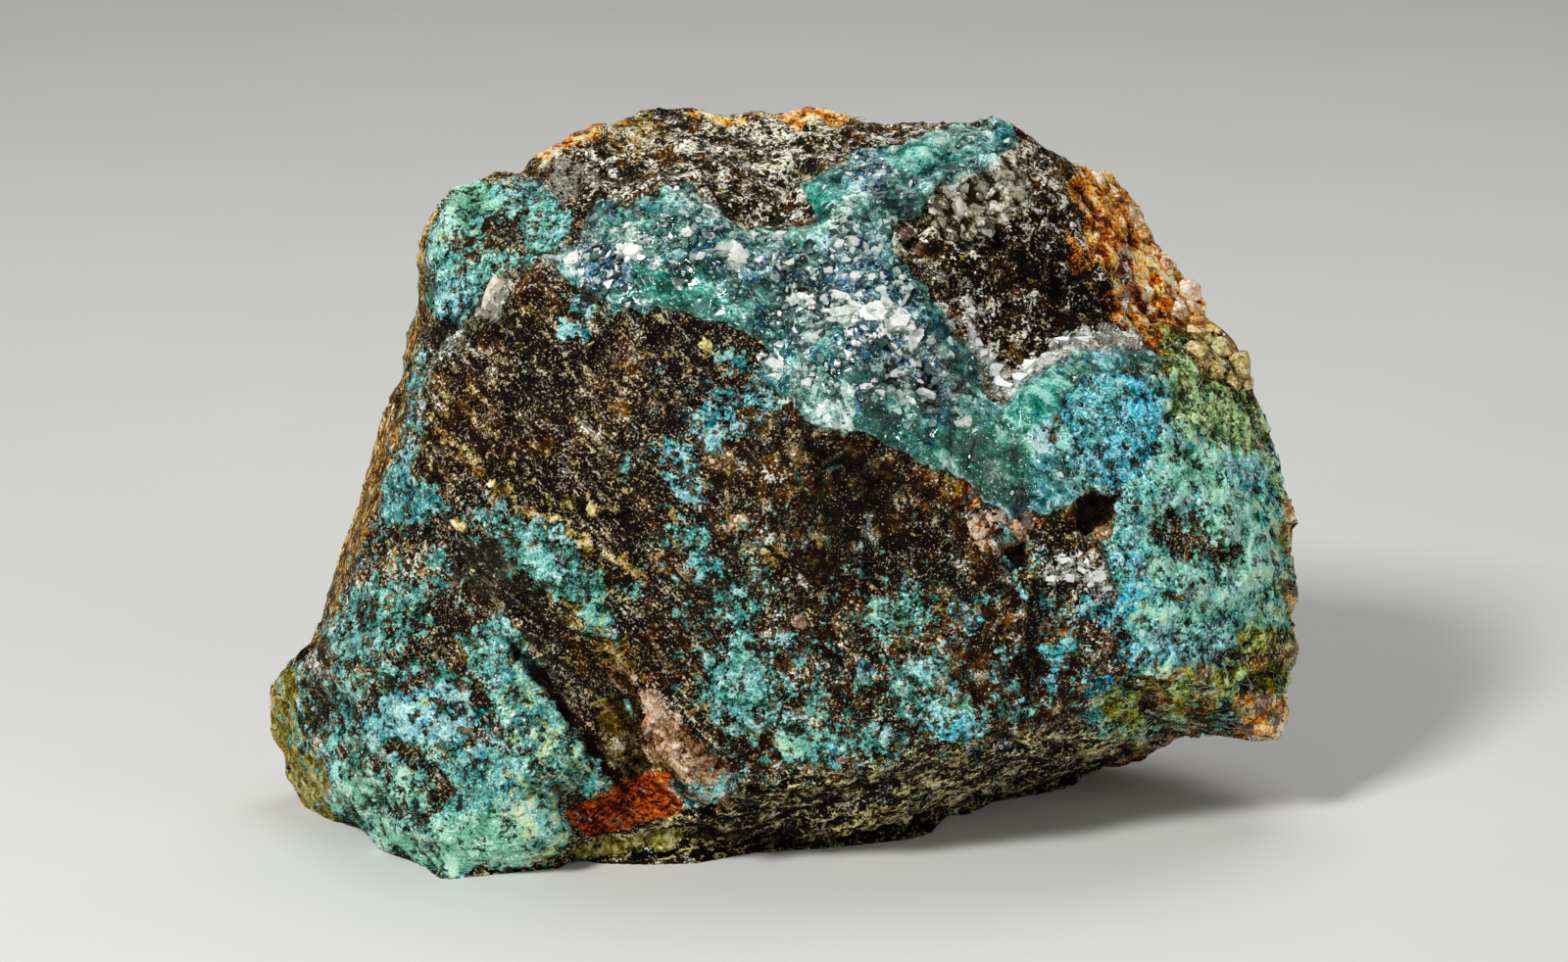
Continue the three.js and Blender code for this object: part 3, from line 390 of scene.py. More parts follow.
RELIEF = [
  (-1.6, 0.5, [
    (-24.5, -13.9), (-23.3, -15.1), (-21.3, -17.6), (-19.6, -20.2), (-17.1, -23.2), (-15.2, -25.8),
    (-14, -27.7), (-15, -27.6), (-17, -24.9), (-18.9, -22.5), (-21, -19.7), (-22.8, -17.4), (-24.1, -15.3),
  ]),
  (-1.2, 0.4, [
    (26.1, -1.8), (27.6, -1.1), (29.9, -1.3), (29.6, -2.7), (28.3, -3.8), (26.9, -4.8), (25.9, -3.8),
  ]),
  (-0.5, 0.8, [
    (32.9, -2.9), (35, -2.2), (37.8, -3.2), (40.4, -6), (40.4, -7.6), (38.1, -7.8), (36.2, -6.6), (34.6, -6.9),
    (33.2, -5.7),
  ]),
  (-0.9, 0.5, [
    (-28.7, 13.6), (-30.1, 12.8), (-31.5, 12.3), (-31.5, 14.1), (-29.3, 14.8),
  ]),
  (-1, 0.6, [
    (19.4, -6), (21.5, -5), (22, -7.3), (20.6, -8.7), (19.1, -7.8),
  ]),
  (0.8, 0.5, [
    (-13.1, -19.3), (-11.9, -19), (-10.8, -20.9), (-9.8, -22.8), (-8.4, -23.7), (-6.3, -25.1), (-5.1, -27),
    (-5.6, -28.6), (-7.2, -28.1), (-8.8, -27), (-10.5, -25.1), (-12.2, -22.2),
  ]),
  (0.12, 0.5, [
    (-29.2, 3.1), (-28.3, 2.9), (-26.2, 1), (-23.6, -1.7), (-20.5, -3.2), (-17.5, -5), (-14, -6.9),
    (-12.1, -8.5), (-12.4, -9), (-15.7, -7.3), (-19.2, -5.3), (-22, -3.9), (-25.4, -1.5), (-27.6, 0.8),
  ]),
  (-0.4, 0.5, [
    (-14, -21.8), (-11.5, -22.5), (-12.2, -26.2), (-14, -26.2),
  ]),
  (-0.7, 0.5, [
    (8.8, 10.4), (10.9, 10.8), (13.1, 9.7), (13.8, 8), (11.8, 7.6), (9.2, 8.3),
  ]),
  (0.7, 0.8, [
    (12.2, 26.3), (14.4, 27.6), (17.5, 27.9), (20.1, 28.3), (21.5, 26.3), (21, 23.3), (18.4, 22), (16.2, 21.4),
    (14, 22.1), (12.6, 24.1),
  ]),
  (0.6, 0.6, [
    (8.9, 22.8), (10.9, 23.2), (13.6, 22.7), (13.8, 20.6), (11.8, 19.5), (9.2, 20.6),
  ]),
  (0.6, 0.5, [
    (24.5, -6.6), (27.1, -6), (28.9, -7.8), (28.4, -9.4), (25.4, -9.5),
  ]),
  (-0.6, 0.8, [
    (21.9, -13), (23.6, -13), (22.8, -20), (19.2, -21.8), (20.1, -16.5),
  ]),
  (0.5, 0.4, [
    (16.6, -3.4), (18.2, -2.2), (20.1, -2.7), (22, -3.4), (21.9, -5.3), (19.4, -6), (17.5, -6.6), (16.8, -5),
  ]),
  (-0.5, 0.5, [
    (31.5, -18.6), (33.4, -18.3), (34.6, -19.7), (33.2, -20.9), (31.5, -20.4),
  ]),
]
BACKCRUST = [
  (0.55, 4, [
    (35, 5.3), (43.8, 3.6), (44.6, -13), (36.8, -16.5), (31.5, -6),
  ]),
  (0.4, 4, [
    (-32.4, 6.2), (-24.5, 9.7), (-17.5, 1), (-24.5, -9.5), (-33.2, -6),
  ]),
  (0.35, 3, [
    (-3.5, -13), (8.8, -9.5), (14, -18.3), (5.2, -25.3), (-3.5, -21.8),
  ]),
  (0.3, 3, [
    (7, 29), (17.5, 29.8), (20.1, 22), (10.5, 20.2),
  ]),
]
TINT = {
 "blue": [
  (0.55, 1.5, [
    (-24.9, 26.9), (-21.4, 26.9), (-19.4, 25), (-19.2, 22), (-21, 21.1), (-22.3, 23.7), (-24.5, 25),
  ]),
  (0.8, 1, [
    (-31.5, 18), (-28.9, 18.5), (-26.9, 16.7), (-27.3, 15.1), (-29.6, 13.6), (-31.5, 15.1),
  ]),
  (0.75, 0.8, [
    (-35, 1.1), (-33.5, 1.7), (-31, -1.1), (-29.6, -2.4), (-32.8, -3.8), (-36.2, -4.1),
  ]),
  (0.35, 1, [
    (-33.9, 8), (-32.1, 9.9), (-32.9, 1.8), (-34.6, 1.5),
  ]),
  (0.95, 1.2, [
    (-38.4, -22), (-35.5, -19.5), (-32.7, -18.3), (-29.7, -17.9), (-27.7, -18.9), (-26.2, -20), (-26.9, -22.2),
    (-29.6, -23.4), (-34, -23.5),
  ]),
  (0.3, 2, [
    (-27.5, -2.6), (-20.2, -4.2), (-14.6, -12.7), (-19, -11.1),
  ]),
  (1, 0.8, [
    (-5.7, 9), (-3.8, 8), (-3.7, 4.4), (-5.7, 1.8), (-8.4, 3.1), (-8.8, 6.3),
  ]),
  (1, 0.8, [
    (-15.3, 0.1), (-12.2, 3.1), (-8.7, 4.4), (-6.5, -2), (-9.6, -2.2), (-11.8, 1.8),
  ]),
  (0.9, 0.8, [
    (-7.3, 11.9), (-0.9, 11.6), (0.5, 5.3), (-3.5, 5.3), (-4.8, 8.4),
  ]),
  (1, 0.6, [
    (-21, 15.1), (-16.4, 14.8), (-16.4, 12.3), (-19.2, 12.2),
  ]),
  (0.9, 0.6, [
    (-19.8, 17.6), (-14.5, 16.7), (-14.3, 15), (-18.4, 14.8),
  ]),
  (0.6, 1, [
    (-8.8, -5.2), (-4.8, -5.7), (-5.1, -9.4), (-8.2, -8.8),
  ]),
  (0.4, 1.5, [
    (-7.6, -16.5), (-4.8, -14.3), (-0.3, -16.5), (-0.8, -21.3), (-3.8, -23.4), (-7.7, -18.7),
  ]),
  (0.65, 1, [
    (-1.4, -21.8), (5.9, -22.1), (5.9, -25.8), (-1.4, -25.6),
  ]),
  (0.8, 0.6, [
    (5.9, -15.8), (8.2, -16), (7.9, -18.5), (6.1, -18.3),
  ]),
  (0.5, 1, [
    (14.5, -10.6), (18.2, -11.3), (18, -15.5), (14.7, -14.8),
  ]),
  (1, 1.2, [
    (23.6, 8), (25.8, 9.1), (28.9, 9.7), (31.9, 9.2), (32.9, 7.1), (33.2, 3.1), (32.4, 0.8), (29.7, -0.8),
    (27.6, 0.1), (26.1, 2.5), (24.7, 5.3),
  ]),
  (0.7, 1, [
    (32.2, 3.4), (38.5, 3.1), (39.5, -1.5), (32.4, -1.8),
  ]),
  (0.55, 1.2, [
    (29.6, -6.2), (34.1, -7.1), (39.4, -7.1), (39.9, -13), (34.1, -13.9), (29.7, -13),
  ]),
  (0.36, 2, [
    (32.4, 6.2), (37.6, 4.5), (43.8, 1), (45.1, -6), (44.8, -13), (37.6, -16.2), (30.6, -17.4), (30.2, -9.5),
    (30.6, -2.5),
  ]),
  (0.7, 1, [
    (22.4, -13.9), (27.3, -13.9), (25.4, -20), (22.8, -19.9),
  ]),
  (0.9, 0.8, [
    (25.7, -10.1), (30.6, -10.1), (31.5, -17.4), (26.2, -19.9), (25.9, -17.4), (28.7, -16.5), (28.9, -14.4),
    (26.1, -12.2),
  ]),
  (0.3, 1.5, [
    (26.2, -19.3), (30.3, -19), (30.6, -22.3), (26.6, -22.1),
  ]),
  (0.5, 1, [
    (-9.6, -27), (-4.2, -26.2), (-4.4, -28.8), (-8.8, -29.1),
  ]),
  (0.6, 1, [
    (-30.2, -22.2), (-25.8, -22.2), (-25.2, -25.5), (-29.7, -26),
  ]),
 ],
 "pale": [
  (1.2, 1, [
    (32.9, 3.4), (38.7, 3.2), (39.4, -1.3), (33.2, -1.5),
  ]),
  (0.9, 1, [
    (-30.4, 26.3), (-26.1, 26.7), (-25.5, 24.2), (-30.1, 23.5),
  ]),
  (1, 1, [
    (-35.5, -31.4), (-31.5, -31.1), (-30.4, -34.9), (-35, -34.4),
  ]),
  (0.9, 1, [
    (28.7, 11.8), (33.2, 11.1), (33.2, 9.7), (28.9, 10.1),
  ]),
  (1, 1.5, [
    (-31.6, -29.5), (-28.9, -29.8), (-24.2, -29), (-22.3, -31.4), (-22.8, -34.6), (-30.6, -35.3), (-32.8, -34),
  ]),
  (0.6, 1, [
    (-38.4, -29.2), (-35, -29.6), (-32.8, -31.4), (-34.6, -33.6), (-36.9, -31.4),
  ]),
  (0.8, 1, [
    (-40.6, -27.6), (-36.5, -25.2), (-31.5, -25.2), (-30.5, -26.4), (-31.5, -28.9), (-36.5, -29.6),
    (-41.2, -28.9),
  ]),
  (0.5, 1, [
    (-20.5, 20.4), (-17.5, 20), (-17.5, 18.1), (-20.3, 17.9),
  ]),
  (0.6, 1, [
    (-1.4, -22), (5.9, -22.3), (5.8, -25.6), (-1.4, -25.6),
  ]),
  (0.4, 2, [
    (-31, 24.6), (-28, 25), (-28, 20.2), (-31.3, 19.3),
  ]),
  (0.6, 2, [
    (32.4, 1.8), (42.9, -0.8), (43.8, -13), (31.5, -14.8),
  ]),
 ],
 "deep": [
  (1, 1.2, [
    (-25.9, -13.9), (-23.6, -14.8), (-21.3, -19.3), (-18.2, -23.2), (-15.6, -27.2), (-17.8, -27.9),
    (-21, -26.2), (-24.5, -22.8), (-26.2, -18.3),
  ]),
  (1.25, 1.2, [
    (-25.5, -25.1), (-19.7, -26.6), (-19.1, -31.4), (-23.6, -31.6), (-25.7, -28.3),
  ]),
  (1.1, 1.2, [
    (29.7, -2.1), (33.2, -2.1), (33.2, -5.7), (29.7, -5.7),
  ]),
  (1.3, 1, [
    (24.1, 3.6), (27.5, 3.1), (28, -1.2), (24.5, -0.8),
  ]),
  (0.6, 1, [
    (-30.1, -25.1), (-26.2, -24), (-24.5, -26.2), (-25.2, -29.7), (-28, -30.4), (-29.9, -28.8),
  ]),
  (0.8, 1, [
    (-35, 1), (-33.5, 1.5), (-31, -1.1), (-31.5, -3.4), (-35.9, -3.9),
  ]),
  (0.6, 1.5, [
    (-40.9, -13), (-38.5, -10), (-36.3, -10.6), (-36.5, -15.2), (-40.7, -15.5),
  ]),
  (0.9, 1, [
    (25.4, 8.7), (28.9, 9.3), (30.6, 8), (29.7, 4.5), (27.1, 2.7), (24.9, 4.5),
  ]),
  (0.5, 1.5, [
    (-41.2, -16.5), (-37.6, -16.5), (-37.4, -21.8), (-41.1, -21.8),
  ]),
  (0.5, 1.5, [
    (-33.2, -5), (-28.9, -6), (-27.1, -11.3), (-31.5, -11.7),
  ]),
  (0.6, 1, [
    (26.2, -18.7), (30.6, -18.3), (30.6, -22.5), (26.2, -22.3),
  ]),
  (0.5, 1.5, [
    (40.2, 4.5), (43.8, 3.6), (45.1, -4.3), (42, -4.3),
  ]),
 ],
 "olive": [
  (0.3, 1.5, [
    (-25.4, -14.8), (-21, -19.3), (-17.5, -24), (-16.2, -27), (-21, -31.4), (-24.5, -30.5), (-23.6, -26.2),
    (-25.5, -20.9),
  ]),
  (0.3, 1, [
    (-30.1, 22.3), (-25.9, 22.3), (-25.9, 19.2), (-29.9, 18.8),
  ]),
  (0.75, 1.5, [
    (32.5, 13.6), (36.3, 14.1), (40.2, 12.3), (42.4, 8.4), (43.6, 3.6), (42.9, 1.4), (39, 2.9), (36, 3.9),
    (34.1, 5.3), (34.1, 8), (32.9, 10.4),
  ]),
  (0.55, 1.5, [
    (42.4, 1.8), (44.3, 1), (45.3, -6), (45.3, -13), (42.9, -13), (43.3, -6),
  ]),
  (0.8, 1.2, [
    (27.8, -18.8), (31.9, -17.2), (38.5, -16.7), (43.8, -14.4), (46, -13.6), (46, -18.3), (41.1, -18.8),
    (38.5, -21.1), (34.1, -22), (28.9, -22.3),
  ]),
  (1, 1, [
    (40.6, -13), (43.8, -13), (45.7, -14.8), (45.1, -18.7), (41.1, -18.8),
  ]),
  (0.5, 1.2, [
    (-22.3, -32.3), (-19.2, -31.4), (-18.8, -34), (-21.9, -34.9),
  ]),
  (0.35, 1.5, [
    (-18.4, -6), (-14, -7.3), (-13.1, -13), (-17.5, -13),
  ]),
  (0.45, 1.5, [
    (-17.5, 15.8), (-8.8, 15), (-5.2, 10.6), (-10.5, 9.7), (-16.6, 12.3),
  ]),
  (0.4, 1.5, [
    (-25.9, -27), (-24.2, -26), (-21.7, -26), (-20.3, -27.8), (-20.3, -29.9), (-22.3, -31.2), (-24.8, -31.2),
    (-25.9, -29.7),
  ]),
 ],
}
ROCK = {
 "speck": [
  (1, 1.2, [
    (-24.5, 27.2), (-22.3, 28.5), (-18.4, 30.7), (-14, 31.8), (-8.8, 33.2), (-3.5, 32.3), (0, 33.2),
    (6.1, 32.5), (11.4, 31.6), (17.5, 31.9), (17.5, 31.1), (10.5, 29.7), (6.1, 28.5), (2.3, 26.9), (3.3, 24.1),
    (0, 22), (-4.4, 22), (-8.8, 25.8), (-13.1, 25.5), (-16.6, 24.2), (-18.4, 25), (-19.7, 25.8), (-21.4, 26.9),
  ]),
  (0.95, 1.2, [
    (20.1, 29.8), (22.8, 29.4), (26.2, 27.6), (26.7, 22.8), (28.9, 18.5), (30.6, 14.1), (28.9, 12.8),
    (24.5, 12.8), (21, 10.6), (18.4, 10.4), (16.6, 14.1), (14, 17.6), (11.8, 20), (9.2, 21.1), (9.8, 23.3),
    (12.7, 24.1), (17.5, 28.1),
  ]),
  (0.9, 0.8, [
    (-44.1, -15.8), (-42, -14.3), (-40.6, -14.8), (-40.8, -17.4), (-42.9, -18.3),
  ]),
  (0.6, 1.2, [
    (-40.2, -9.5), (-33.2, -4.7), (-28.9, -6), (-29.7, -8.7), (-35, -9.5), (-39.4, -11.3),
  ]),
  (0.7, 1.2, [
    (22.8, -6), (27.1, -5.2), (30.6, -8.7), (29.7, -13), (23.6, -13), (21.9, -9.5),
  ]),
  (0.5, 1, [
    (25.4, -12.2), (28.9, -12.2), (29.4, -16.5), (26.2, -17.4), (24.8, -14.8),
  ]),
 ],
 "rust": [
  (0.5, 0.8, [
    (24.7, 22.4), (26.9, 22.4), (27.6, 18.9), (25.5, 18.9),
  ]),
  (1, 0.8, [
    (26.2, 29.1), (28.4, 29), (31.1, 27.2), (33.7, 23.3), (35.4, 20.9), (37.6, 17.6), (38.8, 14.1),
    (37.3, 13.4), (35, 13.6), (33.9, 12.3), (33.2, 10.9), (30.6, 12.8), (28.9, 16.7), (27.3, 20.6),
    (26.2, 24.1), (25.9, 26.8),
  ]),
  (1, 0.5, [
    (-22.8, 28.8), (-21, 30), (-18.4, 31.2), (-15.3, 31.9), (-14, 31.8), (-15.7, 31.1), (-18.4, 30),
    (-20.6, 28.6),
  ]),
  (1, 0.5, [
    (-0.9, 32.6), (0.7, 33.5), (3.5, 33.5), (6.3, 32.5), (5.8, 31.8), (2.6, 31.9), (0, 31.9),
  ]),
  (0.8, 0.5, [
    (-9.6, 33.2), (-8.8, 33.5), (-4.8, 32.5), (-1.8, 32.6), (-1.8, 32.1), (-4.8, 31.8), (-8.8, 32.8),
  ]),
  (0.9, 0.6, [
    (-45.8, -18.3), (-45.1, -17.4), (-44.4, -18.3), (-44.8, -21.8), (-43.9, -26.2), (-42.7, -28.6),
    (-39.8, -30.4), (-40.2, -30.7), (-43.2, -29.3), (-44.6, -27), (-45.7, -22.7),
  ]),
  (0.8, 0.6, [
    (40.4, -19.3), (42.9, -18.6), (45.1, -18.8), (45.7, -20.9), (44.4, -23.5), (42, -23.1), (40.4, -22),
  ]),
  (0.8, 0.5, [
    (44.2, -0.8), (45.3, -1.2), (45.7, -6), (44.8, -6.9), (44.2, -4.3),
  ]),
  (0.8, 0.5, [
    (44.6, -9.5), (46, -10.4), (46.2, -13.9), (45.3, -14.1),
  ]),
  (0.95, 0.7, [
    (28, -22.8), (32.8, -22.8), (36.8, -22.2), (36.3, -23.2), (32.4, -24.9), (28, -25.7), (25.8, -26.6),
    (27.1, -24.8),
  ]),
  (0.22, 2, [
    (-21, -13), (-10.5, -13), (-8.8, -23.5), (-14, -23.5),
  ]),
  (0.6, 0.8, [
    (33.8, -19.3), (35.9, -18.3), (38.3, -18.8), (39.4, -20.2), (37.3, -21.6), (34.6, -21.3),
  ]),
  (0.5, 0.6, [
    (40.9, -15.5), (42.9, -15), (43.8, -16.2), (42.2, -17.4),
  ]),
  (0.5, 1, [
    (16.2, 0.5), (17.8, 0.5), (18, -2.5), (16.2, -2.5),
  ]),
  (0.5, 1, [
    (21, -2.1), (22.9, -2.5), (22.8, -6), (21, -5.6),
  ]),
 ],
 "rind": [
  (1, 0.5, [
    (-31, 25.5), (-32, 24.1), (-32.5, 22.4), (-33.1, 16.7), (-33.6, 12.8), (-34.3, 9.7), (-35.2, 7.5),
    (-36.4, 3.6), (-37.8, 0.1), (-39.7, -5.6), (-41.5, -13), (-42.2, -15.1), (-40.8, -14.3), (-39.6, -11.7),
    (-38.1, -7.3), (-35.9, -1.2), (-34.1, 4), (-33.2, 8), (-32.5, 12.3), (-32, 16.7), (-31.7, 21.1),
  ]),
  (0.9, 0.5, [
    (-31.5, 24.4), (-30.2, 24.9), (-28, 26.3), (-24.3, 27.6), (-24.1, 26.7), (-27.1, 25.6), (-29.6, 24.8),
  ]),
 ],
 "dim": [
  (0.8, 1.5, [
    (-2.1, -1.5), (4.4, -0.6), (11.4, -1.2), (13.6, -6), (7.9, -10), (0, -10.6), (-2.1, -6.9),
  ]),
  (0.6, 1.2, [
    (17.5, -22.2), (25.8, -21.3), (26.2, -24.8), (17.5, -26.6),
  ]),
  (0.2, 1.5, [
    (-7.4, 27.4), (0, 27.6), (0.4, 23.3), (-5.7, 22.7),
  ]),
  (1, 1.5, [
    (19.2, 22.4), (22.8, 23.3), (26.2, 22), (28.9, 17.6), (29.7, 13.6), (26.2, 12.8), (22.8, 13.2),
    (20.1, 16.7), (18.4, 19.8),
  ]),
  (0.7, 1.5, [
    (14, 21.1), (18.4, 21.1), (19.2, 14.1), (16.6, 15), (14.4, 17.6),
  ]),
  (0.7, 2, [
    (0, 5.3), (7, 4.5), (11.4, 0.1), (13.1, -6), (7, -9.5), (1.8, -4.3),
  ]),
  (0.8, 2, [
    (18.4, -8.7), (22.8, -6), (26.2, -11.3), (27.1, -18.3), (22.8, -22.7), (17.5, -23.5), (16.6, -16.5),
  ]),
  (0.6, 2, [
    (-19.2, -6), (-14, -9.5), (-10.5, -13), (-14, -14.8), (-17.5, -11.3),
  ]),
  (0.5, 2, [
    (-14, -0.8), (-7, -2.5), (-7, -13), (-12.2, -14.8), (-14, -7.8),
  ]),
  (0.6, 1.5, [
    (-8.8, -23.5), (-1.8, -20), (0, -24.4), (-5.2, -26.2),
  ]),
  (0.5, 2, [
    (17.5, 1.8), (22.8, -2.5), (28.9, -0.8), (30.6, -6), (24.5, -9.5), (18.4, -7.8),
  ]),
  (0.45, 1.5, [
    (8.6, -7.3), (10.1, -6.3), (12.5, -6.3), (13.8, -8), (13.8, -10), (12, -11.2), (9.6, -11.2), (8.6, -9.7),
  ]),
  (0.4, 1.5, [
    (-39.5, -2.3), (-38.6, -1.3), (-37.4, -1.3), (-36.7, -3), (-36.7, -5), (-37.6, -6.2), (-38.9, -6.2),
    (-39.5, -4.7),
  ]),
 ],
 "red": [
  (1, 0.35, [
    (-19.6, -29.3), (-18.2, -28.6), (-15.7, -28.1), (-14, -26.8), (-12.2, -26.2), (-10.1, -26.3),
    (-9.4, -28.1), (-9.6, -29.5), (-11.5, -30.2), (-13.3, -30.7), (-15.7, -31.4), (-17.8, -31.6),
    (-19.4, -30.7),
  ]),
 ],
 "tan": [
  (0.8, 0.8, [
    (-7, -27), (0, -26.5), (1.9, -28.1), (-5.2, -30.1),
  ]),
  (0.5, 1, [
    (-9.6, -16.5), (-7.3, -16.5), (-7, -20.9), (-9.2, -20.9),
  ]),
  (1, 1, [
    (-17.1, -19.7), (-13.1, -19.7), (-9.3, -24.9), (-10.8, -27), (-14, -26.7), (-16.1, -23.5),
  ]),
  (0.75, 1, [
    (-15.9, 31.6), (-11.2, 32.1), (-10.3, 29.7), (-15.7, 29),
  ]),
  (0.68, 0.5, [
    (35.3, 13), (37.1, 13.7), (39.4, 13), (41.6, 11.1), (42.3, 8.1), (40.4, 8.3), (38.5, 9), (36.9, 9.9),
    (35.5, 11.1),
  ]),
  (0.9, 0.3, [
    (-29.2, 3.1), (-28.3, 2.9), (-26.2, 1), (-23.6, -1.7), (-20.5, -3.2), (-17.5, -5), (-14, -6.9),
    (-12.1, -8.5), (-12.4, -9), (-15.7, -7.3), (-19.2, -5.3), (-22, -3.9), (-25.4, -1.5), (-27.6, 0.8),
  ]),
  (0.62, 0.3, [
    (-31.8, 6.4), (-31.1, 5.9), (-28, 2.5), (-25.8, -0.1), (-26.2, -0.1), (-28.9, 2.4), (-31.8, 5.9),
  ]),
  (0.62, 0.3, [
    (-30.2, 8.1), (-29.7, 7.8), (-26.2, 4.5), (-23.8, 1.8), (-24.1, 1.7), (-27.1, 4.6), (-30.3, 7.8),
  ]),
  (0.62, 0.3, [
    (-33.2, 4.5), (-32.9, 4.1), (-31, 1.8), (-29.6, -0.1), (-29.9, -0.1), (-31.5, 1.7), (-33.4, 3.9),
  ]),
  (0.6, 0.3, [
    (-28, 8.7), (-27.5, 8.3), (-25.2, 5.9), (-25.5, 5.7), (-28, 8.1),
  ]),
  (0.55, 0.3, [
    (-24.5, -0.8), (-24, -1), (-21, -3.1), (-17.5, -4.6), (-17.8, -4.8), (-21.3, -3.4), (-24.5, -1.3),
  ]),
  (0.9, 0.3, [
    (-19.9, -1.5), (-18.7, -1.8), (-18.9, -2.9), (-19.9, -2.7),
  ]),
  (0.9, 0.3, [
    (-17.8, -1.3), (-16.8, -1.7), (-16.4, -3.4), (-17.5, -3.2),
  ]),
  (0.8, 0.4, [
    (-5.4, -4.3), (-4.5, -2.7), (-3.5, -2.4), (-2.6, -3.1), (-3.8, -4.3), (-4.9, -5),
  ]),
  (0.7, 0.6, [
    (-11.2, -1.7), (-10.1, -2.2), (-9.6, -6), (-8.8, -8.7), (-9.6, -9.2), (-10.8, -6),
  ]),
  (0.75, 0.4, [
    (0.5, -11.8), (1.8, -11.8), (2.3, -13), (0.9, -13.4),
  ]),
  (0.7, 0.6, [
    (-17.5, -13), (-14, -14.8), (-12.2, -17.4), (-14, -18.3), (-16.6, -16.5),
  ]),
  (0.6, 0.5, [
    (-12.2, -27), (-10.5, -26.7), (-10.8, -28.1), (-12.1, -28.1),
  ]),
  (0.75, 0.5, [
    (-30.2, -3.6), (-27.8, -3.2), (-27.5, -4.3), (-29.7, -4.3),
  ]),
  (0.6, 1, [
    (-3.5, -5.7), (0, -4.7), (0.9, -6.9), (-1.8, -8.7),
  ]),
  (0.7, 0.5, [
    (-21, -9.5), (-17.5, -10.4), (-14, -13.9), (-15.7, -15.5), (-19.2, -13),
  ]),
  (0.5, 1, [
    (-36.8, -6), (-32.4, -5.7), (-31.5, -7.8), (-35.9, -8.7),
  ]),
 ],
 "chunk": [
  (0.95, 0.6, [
    (-13.6, -18.8), (-11.9, -18.5), (-10.1, -20.6), (-8.8, -22.5), (-7.3, -23.2), (-5.6, -24.9), (-4.5, -27),
    (-5.2, -29), (-7.3, -28.8), (-9.3, -27.6), (-11.2, -25.6), (-12.9, -22.7),
  ]),
  (0.72, 0.4, [
    (16.6, -3.4), (18.2, -2.2), (20.1, -2.7), (22, -3.4), (21.9, -5.3), (19.4, -6), (17.5, -6.6), (16.8, -5),
  ]),
  (0.6, 0.8, [
    (-16.4, -15.5), (-14, -15.8), (-11.5, -18.3), (-12.2, -19.7), (-14.9, -18.3),
  ]),
 ],
 "frost": [
  (0.34, 1, [
    (14, 17.6), (17.5, 17.6), (17.8, 13.6), (14.9, 13.6),
  ]),
  (0.36, 1.2, [
    (14, 27), (18.4, 27.4), (18.7, 24.1), (14.9, 23.5),
  ]),
  (0.6, 0.8, [
    (28.7, 12.3), (31.9, 12.3), (32.8, 10.9), (28.9, 11.1),
  ]),
  (1, 0.5, [
    (16.1, 13.2), (17.8, 12.7), (19.4, 10.9), (20.3, 9.2), (21.9, 10.9), (24.7, 12.8), (28, 13.7),
    (31.5, 13.7), (31.7, 12), (28, 11.6), (25.2, 10.6), (23.1, 8.8), (20.8, 7.1), (19.2, 6.9), (17.8, 8.3),
    (16.4, 10.4),
  ]),
  (0.9, 0.3, [
    (-27.1, 14.8), (-26.2, 16.7), (-24.8, 17.8), (-24, 17.4), (-24.7, 16.2), (-25.9, 14.4), (-26.8, 14.1),
  ]),
  (0.5, 0.25, [
    (-32.5, 9.9), (-32, 10.2), (-32.4, 6.2), (-32.5, 3.6), (-33.1, 1.8), (-33.2, 4.5), (-32.9, 7.1),
  ]),
  (0.5, 1, [
    (-30.8, 12.7), (-28, 13.4), (-27.5, 12.7), (-30.6, 10.9), (-31.8, 9.9),
  ]),
  (0.42, 0.8, [
    (23.1, -7.8), (25.4, -6), (28, -6.7), (30.2, -9.5), (28, -10.6), (24.5, -10),
  ]),
  (0.7, 0.5, [
    (-40.6, -27.6), (-38.7, -26.1), (-36.8, -25.5), (-37.4, -27), (-39.2, -28.8), (-40.6, -29.1),
  ]),
  (0.5, 0.3, [
    (30.4, 21.1), (30.9, 20.9), (31.1, 14.1), (30.6, 13.9), (30.3, 17.6),
  ]),
  (0.5, 1, [
    (-22.3, 26.3), (-21, 24.6), (-18.4, 26.3), (-17.5, 28.1), (-20.1, 29),
  ]),
 ],
 "smoky": [
  (1, 1, [
    (12.2, 26.3), (14.4, 27.6), (17.5, 27.9), (20.1, 28.3), (21.5, 26.3), (21, 23.3), (18.4, 22), (16.2, 21.4),
    (14, 22.1), (12.6, 24.1),
  ]),
 ],
 "grey": [
  (0.9, 1.2, [
    (-29.7, -4.5), (-26.2, -5), (-23.6, -7.8), (-21, -10.4), (-24.5, -10.8), (-28, -9.5),
  ]),
  (0.8, 1, [
    (-24, -13), (-21, -14.8), (-17.5, -18.3), (-14, -20), (-14.9, -22.2), (-17.8, -20), (-21, -18.3),
  ]),
  (0.7, 1, [
    (-14, -22.2), (-9.6, -26.2), (-11.4, -27), (-14, -24.4),
  ]),
  (0.8, 1, [
    (-42.6, -17.4), (-40.6, -17.4), (-40.4, -21.8), (-41.5, -23.5), (-42.5, -21.8),
  ]),
  (0.6, 1.5, [
    (-8.8, -6), (-3.5, -4.7), (-2.6, -11.3), (-7, -13.9), (-9.6, -11.3),
  ]),
 ],
 # cracks and sunken places: sunk into the skin, and painted near-black there as shade
 "void": [
  (0.42, 1.5, [
    (-1.2, -1.8), (4.4, -1.2), (11.4, -2.5), (8.8, -8.5), (0.5, -9.5),
  ]),
  (1, 0.5, [
    (-24.5, -13.9), (-23.3, -15.1), (-21.3, -17.6), (-19.6, -20.2), (-17.1, -23.2), (-15.2, -25.8),
